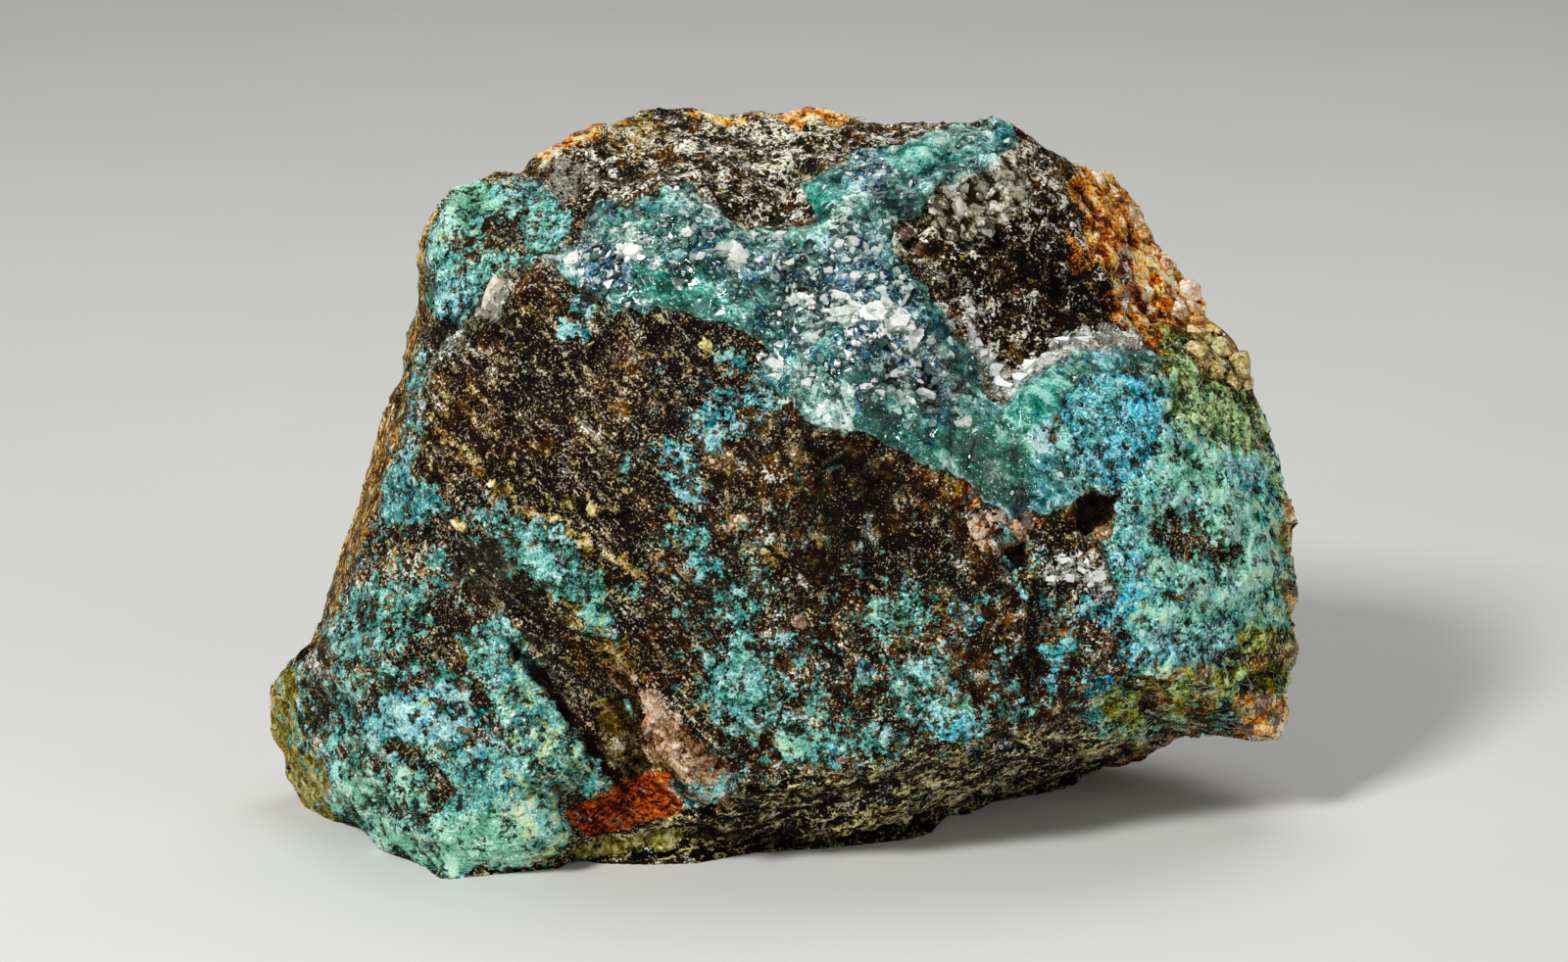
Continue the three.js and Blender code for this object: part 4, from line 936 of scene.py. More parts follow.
    (-14, -27.7), (-15, -27.6), (-17, -24.9), (-18.9, -22.5), (-21, -19.7), (-22.8, -17.4), (-24.1, -15.3),
  ]),
  (0.4, 0.8, [
    (-16.6, -16.5), (-14, -18.3), (-14.3, -21.8), (-15.4, -23.5), (-17.1, -20.9),
  ]),
  (0.1, 0.6, [
    (-14, -21.8), (-11.5, -22.5), (-12.2, -26.2), (-14, -26.2),
  ]),
  (0.9, 0.6, [
    (26.1, -1.8), (27.6, -1.1), (29.9, -1.3), (29.6, -2.7), (28.3, -3.8), (26.9, -4.8), (25.9, -3.8),
  ]),
  (0.8, 0.6, [
    (8.8, 10.4), (10.9, 10.8), (13.1, 9.7), (13.8, 8), (11.8, 7.6), (9.2, 8.3),
  ]),
  (0.7, 0.6, [
    (18.4, 9.9), (19.4, 9.7), (19.9, 7.8), (18.9, 7.8),
  ]),
  (0.8, 0.8, [
    (19.4, -6), (21.5, -5), (22, -7.3), (20.6, -8.7), (19.1, -7.8),
  ]),
  (0.5, 1.5, [
    (21.9, -13), (23.6, -13), (22.8, -20), (19.2, -21.8), (20.1, -16.5),
  ]),
  (0.6, 1, [
    (-28.7, 13.6), (-30.1, 12.8), (-31.5, 12.3), (-31.5, 14.1), (-29.3, 14.8),
  ]),
  (0.6, 0.8, [
    (-5.1, -27), (0, -27.6), (8.8, -26.2), (16.6, -24.4), (16.2, -25.5), (8.8, -27.6), (0, -29), (-5.1, -28.6),
  ]),
  (0.7, 1, [
    (-8.8, -31.4), (-3.5, -30.2), (5.2, -31.1), (11.4, -30), (14, -31.1), (7, -32.1), (-1.8, -32.8), (-7, -33),
  ]),
  (0.5, 2, [
    (0, 5.3), (7, 4.5), (11.4, 0.1), (8.8, -4.3), (2.6, -1.7),
  ]),
 ],
 "under": [
  (1, 0.7, [
    (-9.6, -29), (-5.1, -26.8), (0, -26), (5.2, -26.2), (11.4, -25.1), (17.5, -23.9), (24.5, -22.1),
    (31.5, -22), (37.6, -22.1), (36.3, -23), (33.2, -24.2), (28.4, -25.6), (25.8, -27.6), (18.4, -29),
    (14, -31.1), (5.2, -33.2), (-2.6, -33.7), (-8.8, -34.6), (-14, -34), (-18.4, -33.9), (-19.1, -33),
    (-17.5, -32.1), (-13.1, -31.2),
  ]),
 ],
 "lobe": [
  (1, 0.7, [
    (-45.5, -18.3), (-44.1, -16.5), (-42.7, -17.8), (-42.2, -21.8), (-41.1, -25.3), (-39.9, -28.3),
    (-39.5, -30.4), (-42.7, -29), (-44.4, -26.5), (-45.5, -22.7),
  ]),
  (0.9, 0.5, [
    (-19.2, -32.8), (-17.5, -32.1), (-13.1, -31.4), (-8.9, -31.6), (-8.9, -32.5), (-13.1, -33), (-17.1, -33.3),
  ]),
 ],
}
VTINT = {
 "vblue": [
  (1, 0.8, [
    (-18.4, 20), (-16.2, 20.7), (-14, 20), (-13.1, 18.3), (-14, 16.7), (-16.6, 16.9), (-18.2, 18.1),
  ]),
  (0.9, 0.8, [
    (5.9, 28.6), (8.8, 29), (9.3, 26.9), (7.9, 25.8), (6.1, 26.3),
  ]),
  (0.8, 1, [
    (4, 21.1), (7, 22), (8.8, 19.3), (12.2, 15.8), (14, 12.3), (11.4, 9.7), (7, 10.6), (4.4, 14.1),
    (2.6, 17.6),
  ]),
  (0.5, 1.5, [
    (-12.2, 22), (-7, 22.3), (-1.8, 20), (3.5, 18.5), (2.6, 16.7), (-3.5, 17.6), (-9.6, 18.9),
  ]),
  (0.5, 1, [
    (22.8, 5.3), (24.1, 5.3), (24, 1.8), (22.4, 1.8),
  ]),
  (0.8, 1, [
    (8.8, 12.1), (10.2, 13), (12.4, 13), (13.6, 11.4), (13.6, 9.6), (11.9, 8.5), (9.7, 8.5), (8.8, 9.9),
  ]),
 ],
 "vgreen": [
  (0.9, 1, [
    (-14, 19.3), (-7, 17.6), (-3.5, 15.1), (-5.2, 14.1), (-9.6, 15.3), (-14, 16.7),
  ]),
  (0.8, 1, [
    (9.2, 29.7), (15.7, 30.7), (18.4, 29.8), (14, 27.6), (10.5, 26.3),
  ]),
  (0.8, 1.5, [
    (12.2, 5.3), (21, 5.3), (22, -0.8), (17.5, -0.8), (13.1, 1.8),
  ]),
  (0.9, 1, [
    (20.1, 7.1), (23.6, 9.5), (25.4, 8.8), (24.1, 5.3), (21, 3.6),
  ]),
  (0.9, 1, [
    (1.9, 26.2), (4.4, 26.9), (5.2, 25.1), (3.3, 23.5),
  ]),
 ],
 "vpale": [
  (1.2, 0.8, [
    (0.5, 9.7), (3.7, 9.9), (6.1, 8), (5.9, 5), (2.4, 5), (0.5, 6.7),
  ]),
  (0.8, 0.6, [
    (-4.2, 22.8), (0, 22.1), (-0.3, 20.6), (-3.5, 20.4),
  ]),
  (0.7, 0.6, [
    (-8.8, 25.5), (-6.8, 24.9), (-4.5, 22.3), (-5.6, 22), (-7.7, 23.5),
  ]),
  (0.4, 0.5, [
    (-21, 20.4), (-17.7, 20.4), (-17.5, 17.9), (-20.1, 17.9),
  ]),
  (0.8, 1, [
    (13.1, 31.4), (18.4, 32.1), (18.8, 29.8), (14, 29),
  ]),
  (0.9, 0.4, [
    (7.3, 29.7), (14.7, 31.1), (18.4, 32.1), (18.2, 31.4), (14, 30.2), (7.9, 28.8),
  ]),
  (0.8, 0.6, [
    (4.4, 24.9), (6.3, 24.9), (6.3, 19.3), (4.2, 19.7),
  ]),
  (0.3, 0.8, [
    (5.2, 17.6), (12.2, 16.7), (12.6, 12.3), (6.1, 13.6),
  ]),
 ],
 "vlow": [
  (1, 1, [
    (0, 8.3), (2.6, 6.2), (7.3, 4.5), (11.9, 1.8), (16.3, -0.1), (18.4, -2.2), (22, -2.5), (22.4, -0.6),
    (21.5, 4.5), (19.2, 5.3), (17.5, 4.5), (14, 5.3), (11.4, 4.5), (7.9, 5.9), (5.2, 5.3), (3.1, 5.9),
  ]),
  (0.6, 1, [
    (-12.2, 17.6), (-5.2, 15.8), (-4.2, 14.4), (-8.8, 15.1), (-13.1, 15.8),
  ]),
 ],
 "vdark": [
  (0.9, 1, [
    (-19.9, 22.1), (-16.3, 22.5), (-15.7, 20), (-17.7, 19.3), (-19.8, 20),
  ]),
  (0.9, 0.8, [
    (-19.7, 25), (-17, 24.9), (-16.4, 22.3), (-17.5, 20), (-19.2, 21.1),
  ]),
  (0.8, 1, [
    (-1.8, 20.2), (2.6, 20), (4.4, 14.1), (1.8, 10.6), (-0.7, 14.1),
  ]),
  (0.95, 1, [
    (8.8, 13.6), (13.6, 13.6), (16.6, 8), (13.6, 5.8), (8.8, 7.1),
  ]),
  (0.6, 1, [
    (-9.6, 26.5), (-7.9, 26.2), (-6.8, 24.6), (-8.8, 25),
  ]),
  (0.5, 1.5, [
    (14, 4.5), (20.1, 1.8), (21, -2.5), (16.6, 0.1),
  ]),
  (0.5, 1, [
    (-15.6, 21.7), (-14.3, 22.4), (-12.4, 22.4), (-11.4, 21.2), (-11.4, 19.8), (-12.8, 18.9), (-14.7, 18.9),
    (-15.6, 19.9),
  ]),
  (0.5, 1, [
    (4, 12.3), (5.4, 13.1), (7.4, 13.1), (8.6, 11.7), (8.6, 10), (7, 8.9), (4.9, 8.9), (4, 10.2),
  ]),
 ],
}
BACKROCK = {
 "rust": [
  (0.95, 5, [
    (-31.5, 22), (-14, 31.6), (-3.5, 30.7), (-8.8, 14.1), (-21, -2.5), (-33.2, -11.3), (-38.5, -13),
  ]),
  (0.9, 4, [
    (22.8, 29), (35, 17.6), (42.9, 6.2), (38.5, 1), (30.6, 9.7), (24.5, 16.7),
  ]),
  (0.7, 4, [
    (8.8, -6), (26.2, -2.5), (35, -13), (26.2, -23.5), (14, -20),
  ]),
 ],
 "speck": [
  (0.95, 5, [
    (-3.5, 31.6), (19.2, 30.7), (28, 16.7), (22.8, -0.8), (8.8, -4.3), (-3.5, 6.2), (-7, 20.2),
  ]),
  (0.6, 5, [
    (-33.2, -13), (-14, -6), (3.5, -11.3), (8.8, -27), (-17.5, -32.3), (-35, -27),
  ]),
 ],
 "tan": [
  (0.6, 4, [
    (-17.5, 6.2), (-3.5, 4.5), (0, -6), (-12.2, -9.5),
  ]),
 ],
 "lobe": [
  (0.8, 4, [
    (-44.6, -16.5), (-38.5, -14.8), (-35, -23.5), (-38.5, -28.8), (-43.8, -26.2),
  ]),
 ],
}
XTAL = [
  (5.2, 15, 1.14, 0.88, 10), (6.6, 15.4, 0.88, 0.7, 30), (8.3, 14.8, 1.31, 0.96, 5), (10, 14, 1.49, 1.05, -25),
  (11.5, 12.9, 1.22, 0.88, -40), (8.9, 13.2, 0.96, 0.7, -20), (4.9, 16.4, 0.96, 0.79, 0),
  (10.5, 14.8, 0.96, 0.7, -20), (-4.5, 20.1, 1.4, 1.05, 0), (-5.3, 20.6, 0.7, 0.61, 20),
  (-3.8, 19.7, 0.7, 0.52, -20), (5, 23.5, 0.61, 0.79, 10), (5.3, 22.1, 0.7, 0.79, -15),
  (4.7, 20.8, 0.61, 0.7, 20), (5.9, 24.2, 0.61, 0.52, 0), (5.8, 21.1, 0.52, 0.61, 30),
  (4.8, 16.4, 0.79, 0.61, 0), (1.8, 16, 0.88, 0.7, 15), (1, 16.4, 0.61, 0.52, 0), (2.5, 15.7, 0.61, 0.52, 40),
  (10.5, 17, 0.61, 0.52, 0), (9.8, 17.5, 0.52, 0.44, 30), (15.9, 5.3, 0.7, 0.52, -20),
  (16.6, 4.7, 0.52, 0.44, 0), (15.2, 5.9, 0.52, 0.44, 30), (10.4, 9.9, 0.52, 0.44, 0),
  (8.6, 8, 0.61, 0.52, 30), (7.4, 8.4, 0.52, 0.44, 0), (-1.5, 21.3, 0.79, 0.44, 0),
  (-0.3, 21.2, 0.61, 0.44, 10), (-2.6, 21.4, 0.61, 0.44, -10), (-1.1, 10.2, 0.79, 0.7, 30),
  (-0.3, 9.4, 0.7, 0.61, 0), (-1.8, 11.2, 0.61, 0.61, 20), (-13.6, 20.2, 0.96, 0.79, -10),
  (-14.3, 20.7, 0.7, 0.61, 10), (-12.7, 19.9, 0.61, 0.52, 0), (-8.8, 21.8, 0.61, 0.52, 30),
  (-13.7, 22.5, 0.61, 0.52, 0), (-14.9, 22, 0.52, 0.44, 20), (-19, 19.1, 0.96, 0.7, -30),
  (-20.8, 19.2, 0.79, 0.52, 10), (-7.2, 24.1, 0.61, 0.44, 30), (-6.3, 23.2, 0.61, 0.44, 40),
  (-7.9, 24.7, 0.52, 0.44, 20), (-26, 15.9, 0.61, 2.1, 40), (17.8, 11.3, 0.79, 0.79, 0),
  (18.9, 10.2, 0.96, 0.79, 0), (20.8, 9.4, 0.88, 0.79, -30), (20, 8.3, 0.96, 0.7, 10),
  (21.9, 10.2, 0.79, 0.7, -30), (23.3, 11.2, 0.79, 0.7, -20), (25, 12.2, 0.79, 0.61, -10),
  (26.8, 12.7, 0.79, 0.61, 0), (28.7, 12.9, 0.7, 0.44, 0), (30.6, 12.9, 0.61, 0.44, 0),
  (17.1, 12.2, 0.52, 0.44, 0), (19.4, 9, 0.52, 0.52, 0), (14.7, 14.1, 0.52, 0.44, 0),
  (13.8, 15.7, 0.52, 0.44, 10), (16.2, 15.1, 0.52, 0.44, 0), (36.9, -9.7, 0.61, 0.44, 10),
  (3.5, 25.8, 0.52, 0.44, 0), (8.8, 27.9, 0.52, 0.44, 0), (6.5, 27.4, 0.52, 0.44, 30),
  (-11.4, 18.8, 0.52, 0.44, 10), (-9.8, 19.5, 0.44, 0.35, 30), (-7, 21.4, 0.52, 0.44, 0),
  (0.5, 19.5, 0.52, 0.44, 0), (2.8, 18.3, 0.61, 0.44, 0), (6.1, 18.1, 0.61, 0.52, 0),
  (7.5, 17.8, 0.52, 0.44, 20), (8.6, 16.7, 0.61, 0.52, 0), (7, 12.3, 0.61, 0.52, 0), (5.7, 13, 0.52, 0.44, 0),
  (5.9, 11.5, 0.52, 0.44, 30), (12.7, 12.3, 0.52, 0.52, 0), (4.4, 14.1, 0.52, 0.44, 0),
  (3.7, 15.1, 0.52, 0.44, 0), (12.7, 7.5, 0.61, 0.44, 0), (11.4, 6.9, 0.52, 0.44, 20),
  (-8.8, 20, 0.44, 0.35, 0), (-11.9, 21.4, 0.44, 0.35, 0), (-10.7, 22.7, 0.52, 0.35, 0),
  (-9.3, 23.5, 0.52, 0.35, 20), (-36, -27, 0.44, 0.35, 0), (-37.6, -27.4, 0.52, 0.44, 0),
  (-38.8, -27.9, 0.52, 0.35, 0), (-35, -25.8, 0.44, 0.35, 0), (25.2, -7.1, 0.7, 0.52, 0),
  (26.5, -7.8, 0.7, 0.52, 20), (27.8, -8.5, 0.7, 0.52, 0), (25.7, -8.7, 0.61, 0.44, 0),
  (23.6, -8.5, 0.52, 0.44, 0), (29, -9.4, 0.52, 0.44, 0),
]
SMOKY = [
  (13.6, 24.9, 1.05, 1.22, 0), (14.7, 26.2, 1.14, 0.88, 20), (16.2, 26.7, 1.22, 0.96, 0),
  (17.8, 26.5, 1.05, 1.05, 10), (19.4, 26.9, 1.14, 1.05, 0), (20.5, 25.5, 0.88, 1.14, 0),
  (19.1, 24.6, 1.22, 1.05, 20), (17.3, 24.4, 1.14, 0.96, 0), (15.6, 24.4, 1.14, 1.05, 0),
  (14.2, 23.2, 0.88, 0.79, 0), (16.2, 22.7, 1.05, 0.79, 0), (18, 22.8, 1.05, 0.79, 10),
  (19.9, 23.5, 0.88, 0.79, 0), (21, 27.2, 0.7, 0.7, 0), (13.1, 26.3, 0.7, 0.61, 0),
]
LUMPS = [
  (26.9, 27.6, 1.05, 0.79, 1), (28.2, 27, 1.22, 0.88, 1), (29.4, 26.2, 1.14, 0.88, 1),
  (30.1, 25.1, 0.96, 0.96, 0), (31, 24.4, 1.14, 1.14, 1), (31.6, 23, 1.05, 1.14, 1),
  (32.2, 21.8, 0.88, 0.88, 0), (33.1, 20.6, 0.88, 0.79, 0), (34.1, 19.5, 1.14, 0.96, 1),
  (35, 18.3, 1.22, 1.14, 1), (36, 17.1, 1.31, 1.22, 1), (36.9, 15.7, 1.22, 1.14, 1),
  (37.1, 14.4, 1.05, 1.05, 0), (35.4, 15.3, 1.22, 1.14, 1), (34.5, 16.7, 1.05, 1.05, 0),
  (29, 24.8, 0.88, 0.79, 0), (30.4, 22.7, 0.79, 0.79, 0), (36.9, 12.8, 1.49, 1.22, 2),
  (38.9, 12.1, 1.66, 1.49, 2), (40.5, 10.4, 1.57, 1.66, 2), (38.5, 10.1, 1.66, 1.31, 2),
  (36.6, 11.2, 1.22, 1.14, 2), (41.3, 8.7, 0.96, 0.96, 2), (39.9, 8.8, 1.05, 0.79, 2),
  (41.3, -21.8, 1.05, 0.88, 4), (42.9, -22.3, 1.14, 0.79, 0), (44.1, -21.6, 0.96, 0.96, 3),
  (44.4, -20.2, 0.79, 0.88, 0), (42.7, -20.2, 1.14, 0.96, 4), (41.3, -20.4, 0.96, 0.88, 3),
  (45, -12.2, 0.61, 0.79, 0), (45.3, -14.4, 0.7, 0.79, 3), (44.8, -16.5, 0.7, 0.79, 3),
  (44.8, -2.5, 0.52, 0.88, 0), (45.1, -4.7, 0.52, 0.79, 0), (1.8, 33, 1.05, 0.52, 0), (3.7, 33, 1.05, 0.52, 0),
  (0.5, 32.8, 0.79, 0.52, 0), (5.4, 32.5, 0.79, 0.44, 0), (-18.4, 30.9, 1.05, 0.52, 0),
  (-16.6, 31.5, 0.96, 0.52, 0), (-20.1, 29.8, 0.96, 0.52, 0), (-21.7, 29.1, 0.7, 0.44, 0),
  (-14.9, 31.8, 0.79, 0.44, 2), (10.9, 22, 0.88, 0.61, 4), (12.2, 21.3, 0.7, 0.52, 4),
  (16.8, -0.8, 0.79, 1.22, 4), (16.1, -1.8, 0.7, 0.7, 4), (17.7, -4.3, 0.88, 0.79, 1),
  (19.2, -3.6, 0.88, 0.79, 1), (20.6, -4.3, 0.88, 0.88, 1), (21.5, -3.4, 0.7, 0.88, 4),
  (18.2, -5.7, 0.79, 0.7, 1), (-14, -20.2, 0.44, 1.4, 5), (-11.9, -21.8, 0.88, 1.49, 1),
  (-10, -23.9, 1.31, 1.22, 1), (-8, -25.8, 1.4, 1.14, 1), (-6.5, -27.6, 1.14, 1.05, 1),
  (29.7, -24.2, 0.88, 0.52, 0), (31.5, -23.7, 0.88, 0.52, 0), (34.6, -22.8, 0.88, 0.44, 0),
  (-19.4, -2.1, 0.61, 0.61, 2), (-17.1, -2.4, 0.61, 0.88, 2), (-3.9, -3.4, 0.88, 0.52, 1),
  (-4.8, -4.3, 0.61, 0.61, 1), (-29, -3.8, 1.14, 0.52, 2), (-26.2, -0.2, 0.44, 0.88, 2),
  (-20.6, -3.4, 0.79, 0.44, 2), (1.2, -12.5, 0.79, 0.7, 1), (5.4, -25, 0.7, 0.44, 1),
  (9.2, -26.2, 1.22, 0.44, 1), (-1.8, 12.3, 0.7, 0.61, 2), (-7, 12.2, 1.05, 0.7, 2),
  (-5.7, 11.3, 0.79, 0.61, 2),
]

LEAN = math.radians(15)
SIN, COS = math.sin(LEAN), math.cos(LEAN)
FLARE = 520.0
SEAT = (0.25, -28.43, 38.2)
HEART = (0.0, 0.1)
RINGS = 97  # the stone's skin has 20 * RINGS^2 triangles
FRONT_SHARE = 0.734

# ------------------------------------------------------------------ noise
_r = np.random.default_rng(20)
_perm = np.concatenate([_r.permutation(256)] * 3).astype(np.int32)
_grad = _r.normal(size=(256, 3)).astype(np.float32)
_grad /= np.linalg.norm(_grad, axis=1)[:, None]
_cell = _r.random((256, 3)).astype(np.float32)


def _hash(i, j, k):
    return _perm[(_perm[(_perm[i & 255] + j) & 255] + k) & 255]


def perlin(p, size, seed=0):
    q = (p / size + seed * 17.37 + 41.3).astype(np.float32)
    i = np.floor(q).astype(np.int32)
    f = q - i
    w = f * f * f * (f * (f * 6 - 15) + 10)
    out = np.zeros(len(p), np.float32)
    for c in range(8):
        o = (c & 1, (c >> 1) & 1, c >> 2)
        g = _grad[_hash(i[:, 0] + o[0], i[:, 1] + o[1], i[:, 2] + o[2])]
        d = (g * (f - np.array(o, np.float32))).sum(1)
        for n in range(3):
            d *= w[:, n] if o[n] else 1 - w[:, n]
        out += d
    return out * 1.9


def fbm(p, size, octaves=4, gain=0.5, seed=0):
    out, amp, total = np.zeros(len(p), np.float32), 1.0, 0.0
    for o in range(octaves):
        out += amp * perlin(p, size, seed + 3 * o)
        total += amp * amp
        size, amp = size / 2.03, amp * gain
    return out / math.sqrt(total)


def even(n, spread=0.36):
    """Noise turned into a share between 0 and 1 that is spread evenly."""
    return 1 / (1 + np.exp(-1.702 * n / spread))


def cells(p, size, seed=0, jitter=0.95):
    """Nearest and second nearest seed distance in cell units, the nearest cell's random numbers and the way to its seed."""
    q = (p / size + seed * 13.7 + 57.1).astype(np.float32)
    base = np.floor(q).astype(np.int32)
    d1 = np.full(len(p), 9.0, np.float32)
    d2 = np.full(len(p), 9.0, np.float32)
    who = np.zeros(len(p), np.int32)
    way = np.zeros((len(p), 3), np.float32)
    who2 = np.zeros(len(p), np.int32)
    way2 = np.zeros((len(p), 3), np.float32)
    for x in (-1, 0, 1):
        for y in (-1, 0, 1):
            for z in (-1, 0, 1):
                c = base + np.array((x, y, z), np.int32)
                h = _hash(c[:, 0], c[:, 1], c[:, 2])
                s = c + 0.5 + (_cell[h] - 0.5) * jitter
                v = q - s
                d = np.sqrt((v * v).sum(1))
                a = d < d1
                b = ~a & (d < d2)
                d2 = np.where(a, d1, np.where(b, d, d2))
                who2 = np.where(a, who, np.where(b, h, who2))
                way2 = np.where(a[:, None], way, np.where(b[:, None], v, way2))
                d1 = np.where(a, d, d1)
                who = np.where(a, h, who)
                way = np.where(a[:, None], v, way)
    return d1, d2, who, way, who2, way2


def chips(p, size, tilt=0.55, seed=0, band=0.12):
    """A surface of small tilted facets, between about -1 and 1 facet half-sizes high."""
    d1, d2, who, way, who2, way2 = cells(p, size, seed)
    a = (_grad[who] * way).sum(1) * tilt * 2 + (_cell[who][:, 0] - 0.5) * 0.7
    b = (_grad[who2] * way2).sum(1) * tilt * 2 + (_cell[who2][:, 0] - 0.5) * 0.7
    w = np.clip((d2 - d1) / band, 0, 1)
    w = 0.5 + 0.5 * w * w * (3 - 2 * w)
    return a * w + b * (1 - w)


def smooth(x, a, b):
    t = np.clip((x - a) / (b - a), 0, 1)
    return t * t * (3 - 2 * t)


# ------------------------------------------------------------------ grids over the face
STEP = 0.25
U0, U1, V0, V1 = -50.0, 50.0, -40.0, 38.0
GU = np.arange(U0, U1 + STEP / 2, STEP)
GV = np.arange(V0, V1 + STEP / 2, STEP)


def blur(g, mm):
    s = mm / STEP
    n = max(1, int(3 * s))
    k = np.exp(-0.5 * (np.arange(-n, n + 1) / s) ** 2)
    k /= k.sum()
    g = np.pad(g, n, mode="edge")
    g = sum(k[i] * g[i : i + g.shape[0] - 2 * n] for i in range(2 * n + 1))
    return sum(k[i] * g[:, i : i + g.shape[1] - 2 * n] for i in range(2 * n + 1))


def depth_grid(points, soft):
    """The facets between points, as depth on the grid."""
    flat = [Vector((x, y)) for x, y, _ in points]
    verts, _, faces, orig, _, _ = geometry.delaunay_2d_cdt(flat, [], [], 0, 1e-5)
    deep = [points[o[0]][2] for o in orig]
    g = np.full((len(GV), len(GU)), np.nan)
    for t in faces:
        a, b, c = (np.array(verts[k]) for k in t)
        area = (b[0] - a[0]) * (c[1] - a[1]) - (c[0] - a[0]) * (b[1] - a[1])
        if abs(area) < 1e-9:
            continue
        lo, hi = np.minimum(np.minimum(a, b), c), np.maximum(np.maximum(a, b), c)
        i0, i1 = np.searchsorted(GU, lo[0] - 1e-6), np.searchsorted(GU, hi[0] + 1e-6)
        j0, j1 = np.searchsorted(GV, lo[1] - 1e-6), np.searchsorted(GV, hi[1] + 1e-6)
        if i1 <= i0 or j1 <= j0:
            continue
        x, y = np.meshgrid(GU[i0:i1], GV[j0:j1])
        u = ((x - a[0]) * (c[1] - a[1]) - (c[0] - a[0]) * (y - a[1])) / area
        v = ((b[0] - a[0]) * (y - a[1]) - (x - a[0]) * (b[1] - a[1])) / area
        inside = (u >= -1e-6) & (v >= -1e-6) & (u + v <= 1 + 1e-6)
        d = deep[t[0]] + u * (deep[t[1]] - deep[t[0]]) + v * (deep[t[2]] - deep[t[0]])
        part = g[j0:j1, i0:i1]
        part[inside] = d[inside]
    while np.isnan(g).any():
        near = np.stack([np.roll(g, s, ax) for s, ax in ((1, 0), (-1, 0), (1, 1), (-1, 1))])
        known = ~np.isnan(near)
        fill = np.where(known, near, 0).sum(0) / np.maximum(known.sum(0), 1)
        g = np.where(np.isnan(g) & known.any(0), fill, g)
    return blur(g, soft)


def pick(g, u, v):
    x = np.clip((u - U0) / STEP, 0, len(GU) - 1.001)
    y = np.clip((v - V0) / STEP, 0, len(GV) - 1.001)
    i, j = x.astype(int), y.astype(int)
    fx, fy = x - i, y - j
    return (
        g[j, i] * (1 - fx) * (1 - fy) + g[j, i + 1] * fx * (1 - fy) + g[j + 1, i] * (1 - fx) * fy + g[j + 1, i + 1] * fx * fy
    )


def shape(outline, feather, wobble=None):
    """1 inside an outline, 0 outside, with a soft edge."""
    pts = np.array(outline)
    lo, hi = pts.min(0) - feather - 1, pts.max(0) + feather + 1
    i0, i1 = np.searchsorted(GU, lo[0]), np.searchsorted(GU, hi[0])
    j0, j1 = np.searchsorted(GV, lo[1]), np.searchsorted(GV, hi[1])
    g = np.zeros((len(GV), len(GU)), np.float32)
    if i1 <= i0 or j1 <= j0:
        return g
    x, y = np.meshgrid(GU[i0:i1], GV[j0:j1])
    if wobble is not None:
        x = x + wobble[0][j0:j1, i0:i1]
        y = y + wobble[1][j0:j1, i0:i1]
    near = np.full(x.shape, 1e9)
    inside = np.zeros(x.shape, bool)
    for (ax, ay), (bx, by) in zip(pts, np.roll(pts, -1, 0)):
        ex, ey = bx - ax, by - ay
        t = np.clip(((x - ax) * ex + (y - ay) * ey) / max(ex * ex + ey * ey, 1e-9), 0, 1)
        near = np.minimum(near, (x - ax - t * ex) ** 2 + (y - ay - t * ey) ** 2)
        if ay != by:
            crosses = ((ay > y) != (by > y)) & (x < (bx - ax) * (y - ay) / (by - ay) + ax)
            inside ^= crosses
    d = np.sqrt(near) * np.where(inside, 1, -1)
    g[j0:j1, i0:i1] = smooth(d, -feather, feather)
    return g


_gx, _gy = np.meshgrid(GU, GV)
_flat = np.stack([_gx.ravel(), _gy.ravel(), np.zeros(_gx.size)], 1)
WOBBLE = [
    (0.55 * fbm(_flat, 3.2, 4, 0.6, seed=s)).reshape(_gx.shape) for s in (61, 67)
]


def field(zones, wobble=WOBBLE):
    g = np.zeros((len(GV), len(GU)), np.float32)
    for strength, feather, outline in zones:
        g = np.maximum(g, strength * shape(outline, feather, wobble))
    return g


# ------------------------------------------------------------------ the stone's skin
def ball(n):
    """A closed ball of 20 n^2 triangles."""
    g = (1 + math.sqrt(5)) / 2
    v = np.array(
        [(-1, g, 0), (1, g, 0), (-1, -g, 0), (1, -g, 0), (0, -1, g), (0, 1, g), (0, -1, -g), (0, 1, -g), (g, 0, -1), (g, 0, 1), (-g, 0, -1), (-g, 0, 1)],
        float,
    )
    f = [(0, 11, 5), (0, 5, 1), (0, 1, 7), (0, 7, 10), (0, 10, 11), (1, 5, 9), (5, 11, 4), (11, 10, 2), (10, 7, 6), (7, 1, 8), (3, 9, 4), (3, 4, 2), (3, 2, 6), (3, 6, 8), (3, 8, 9), (4, 9, 5), (2, 4, 11), (6, 2, 10), (8, 6, 7), (9, 8, 1)]
    v /= np.linalg.norm(v, axis=1)[:, None]
    pts, tris, at = [], [], 0
    for a, b, c in f:
        index = {}
        for i in range(n + 1):
            for j in range(n + 1 - i):
                index[i, j] = at + len(index)
                pts.append((v[a] * (n - i - j) + v[b] * i + v[c] * j) / n)
        at += len(index)
        for i in range(n):
            for j in range(n - i):
                tris.append((index[i, j], index[i + 1, j], index[i, j + 1]))
                if j < n - i - 1:
                    tris.append((index[i + 1, j], index[i + 1, j + 1], index[i, j + 1]))
    pts = np.array(pts)
    pts /= np.linalg.norm(pts, axis=1)[:, None]
    _, first, back = np.unique(np.round(pts * 1e5).astype(np.int64), axis=0, return_index=True, return_inverse=True)
    return pts[first], back.reshape(-1)[np.array(tris)]


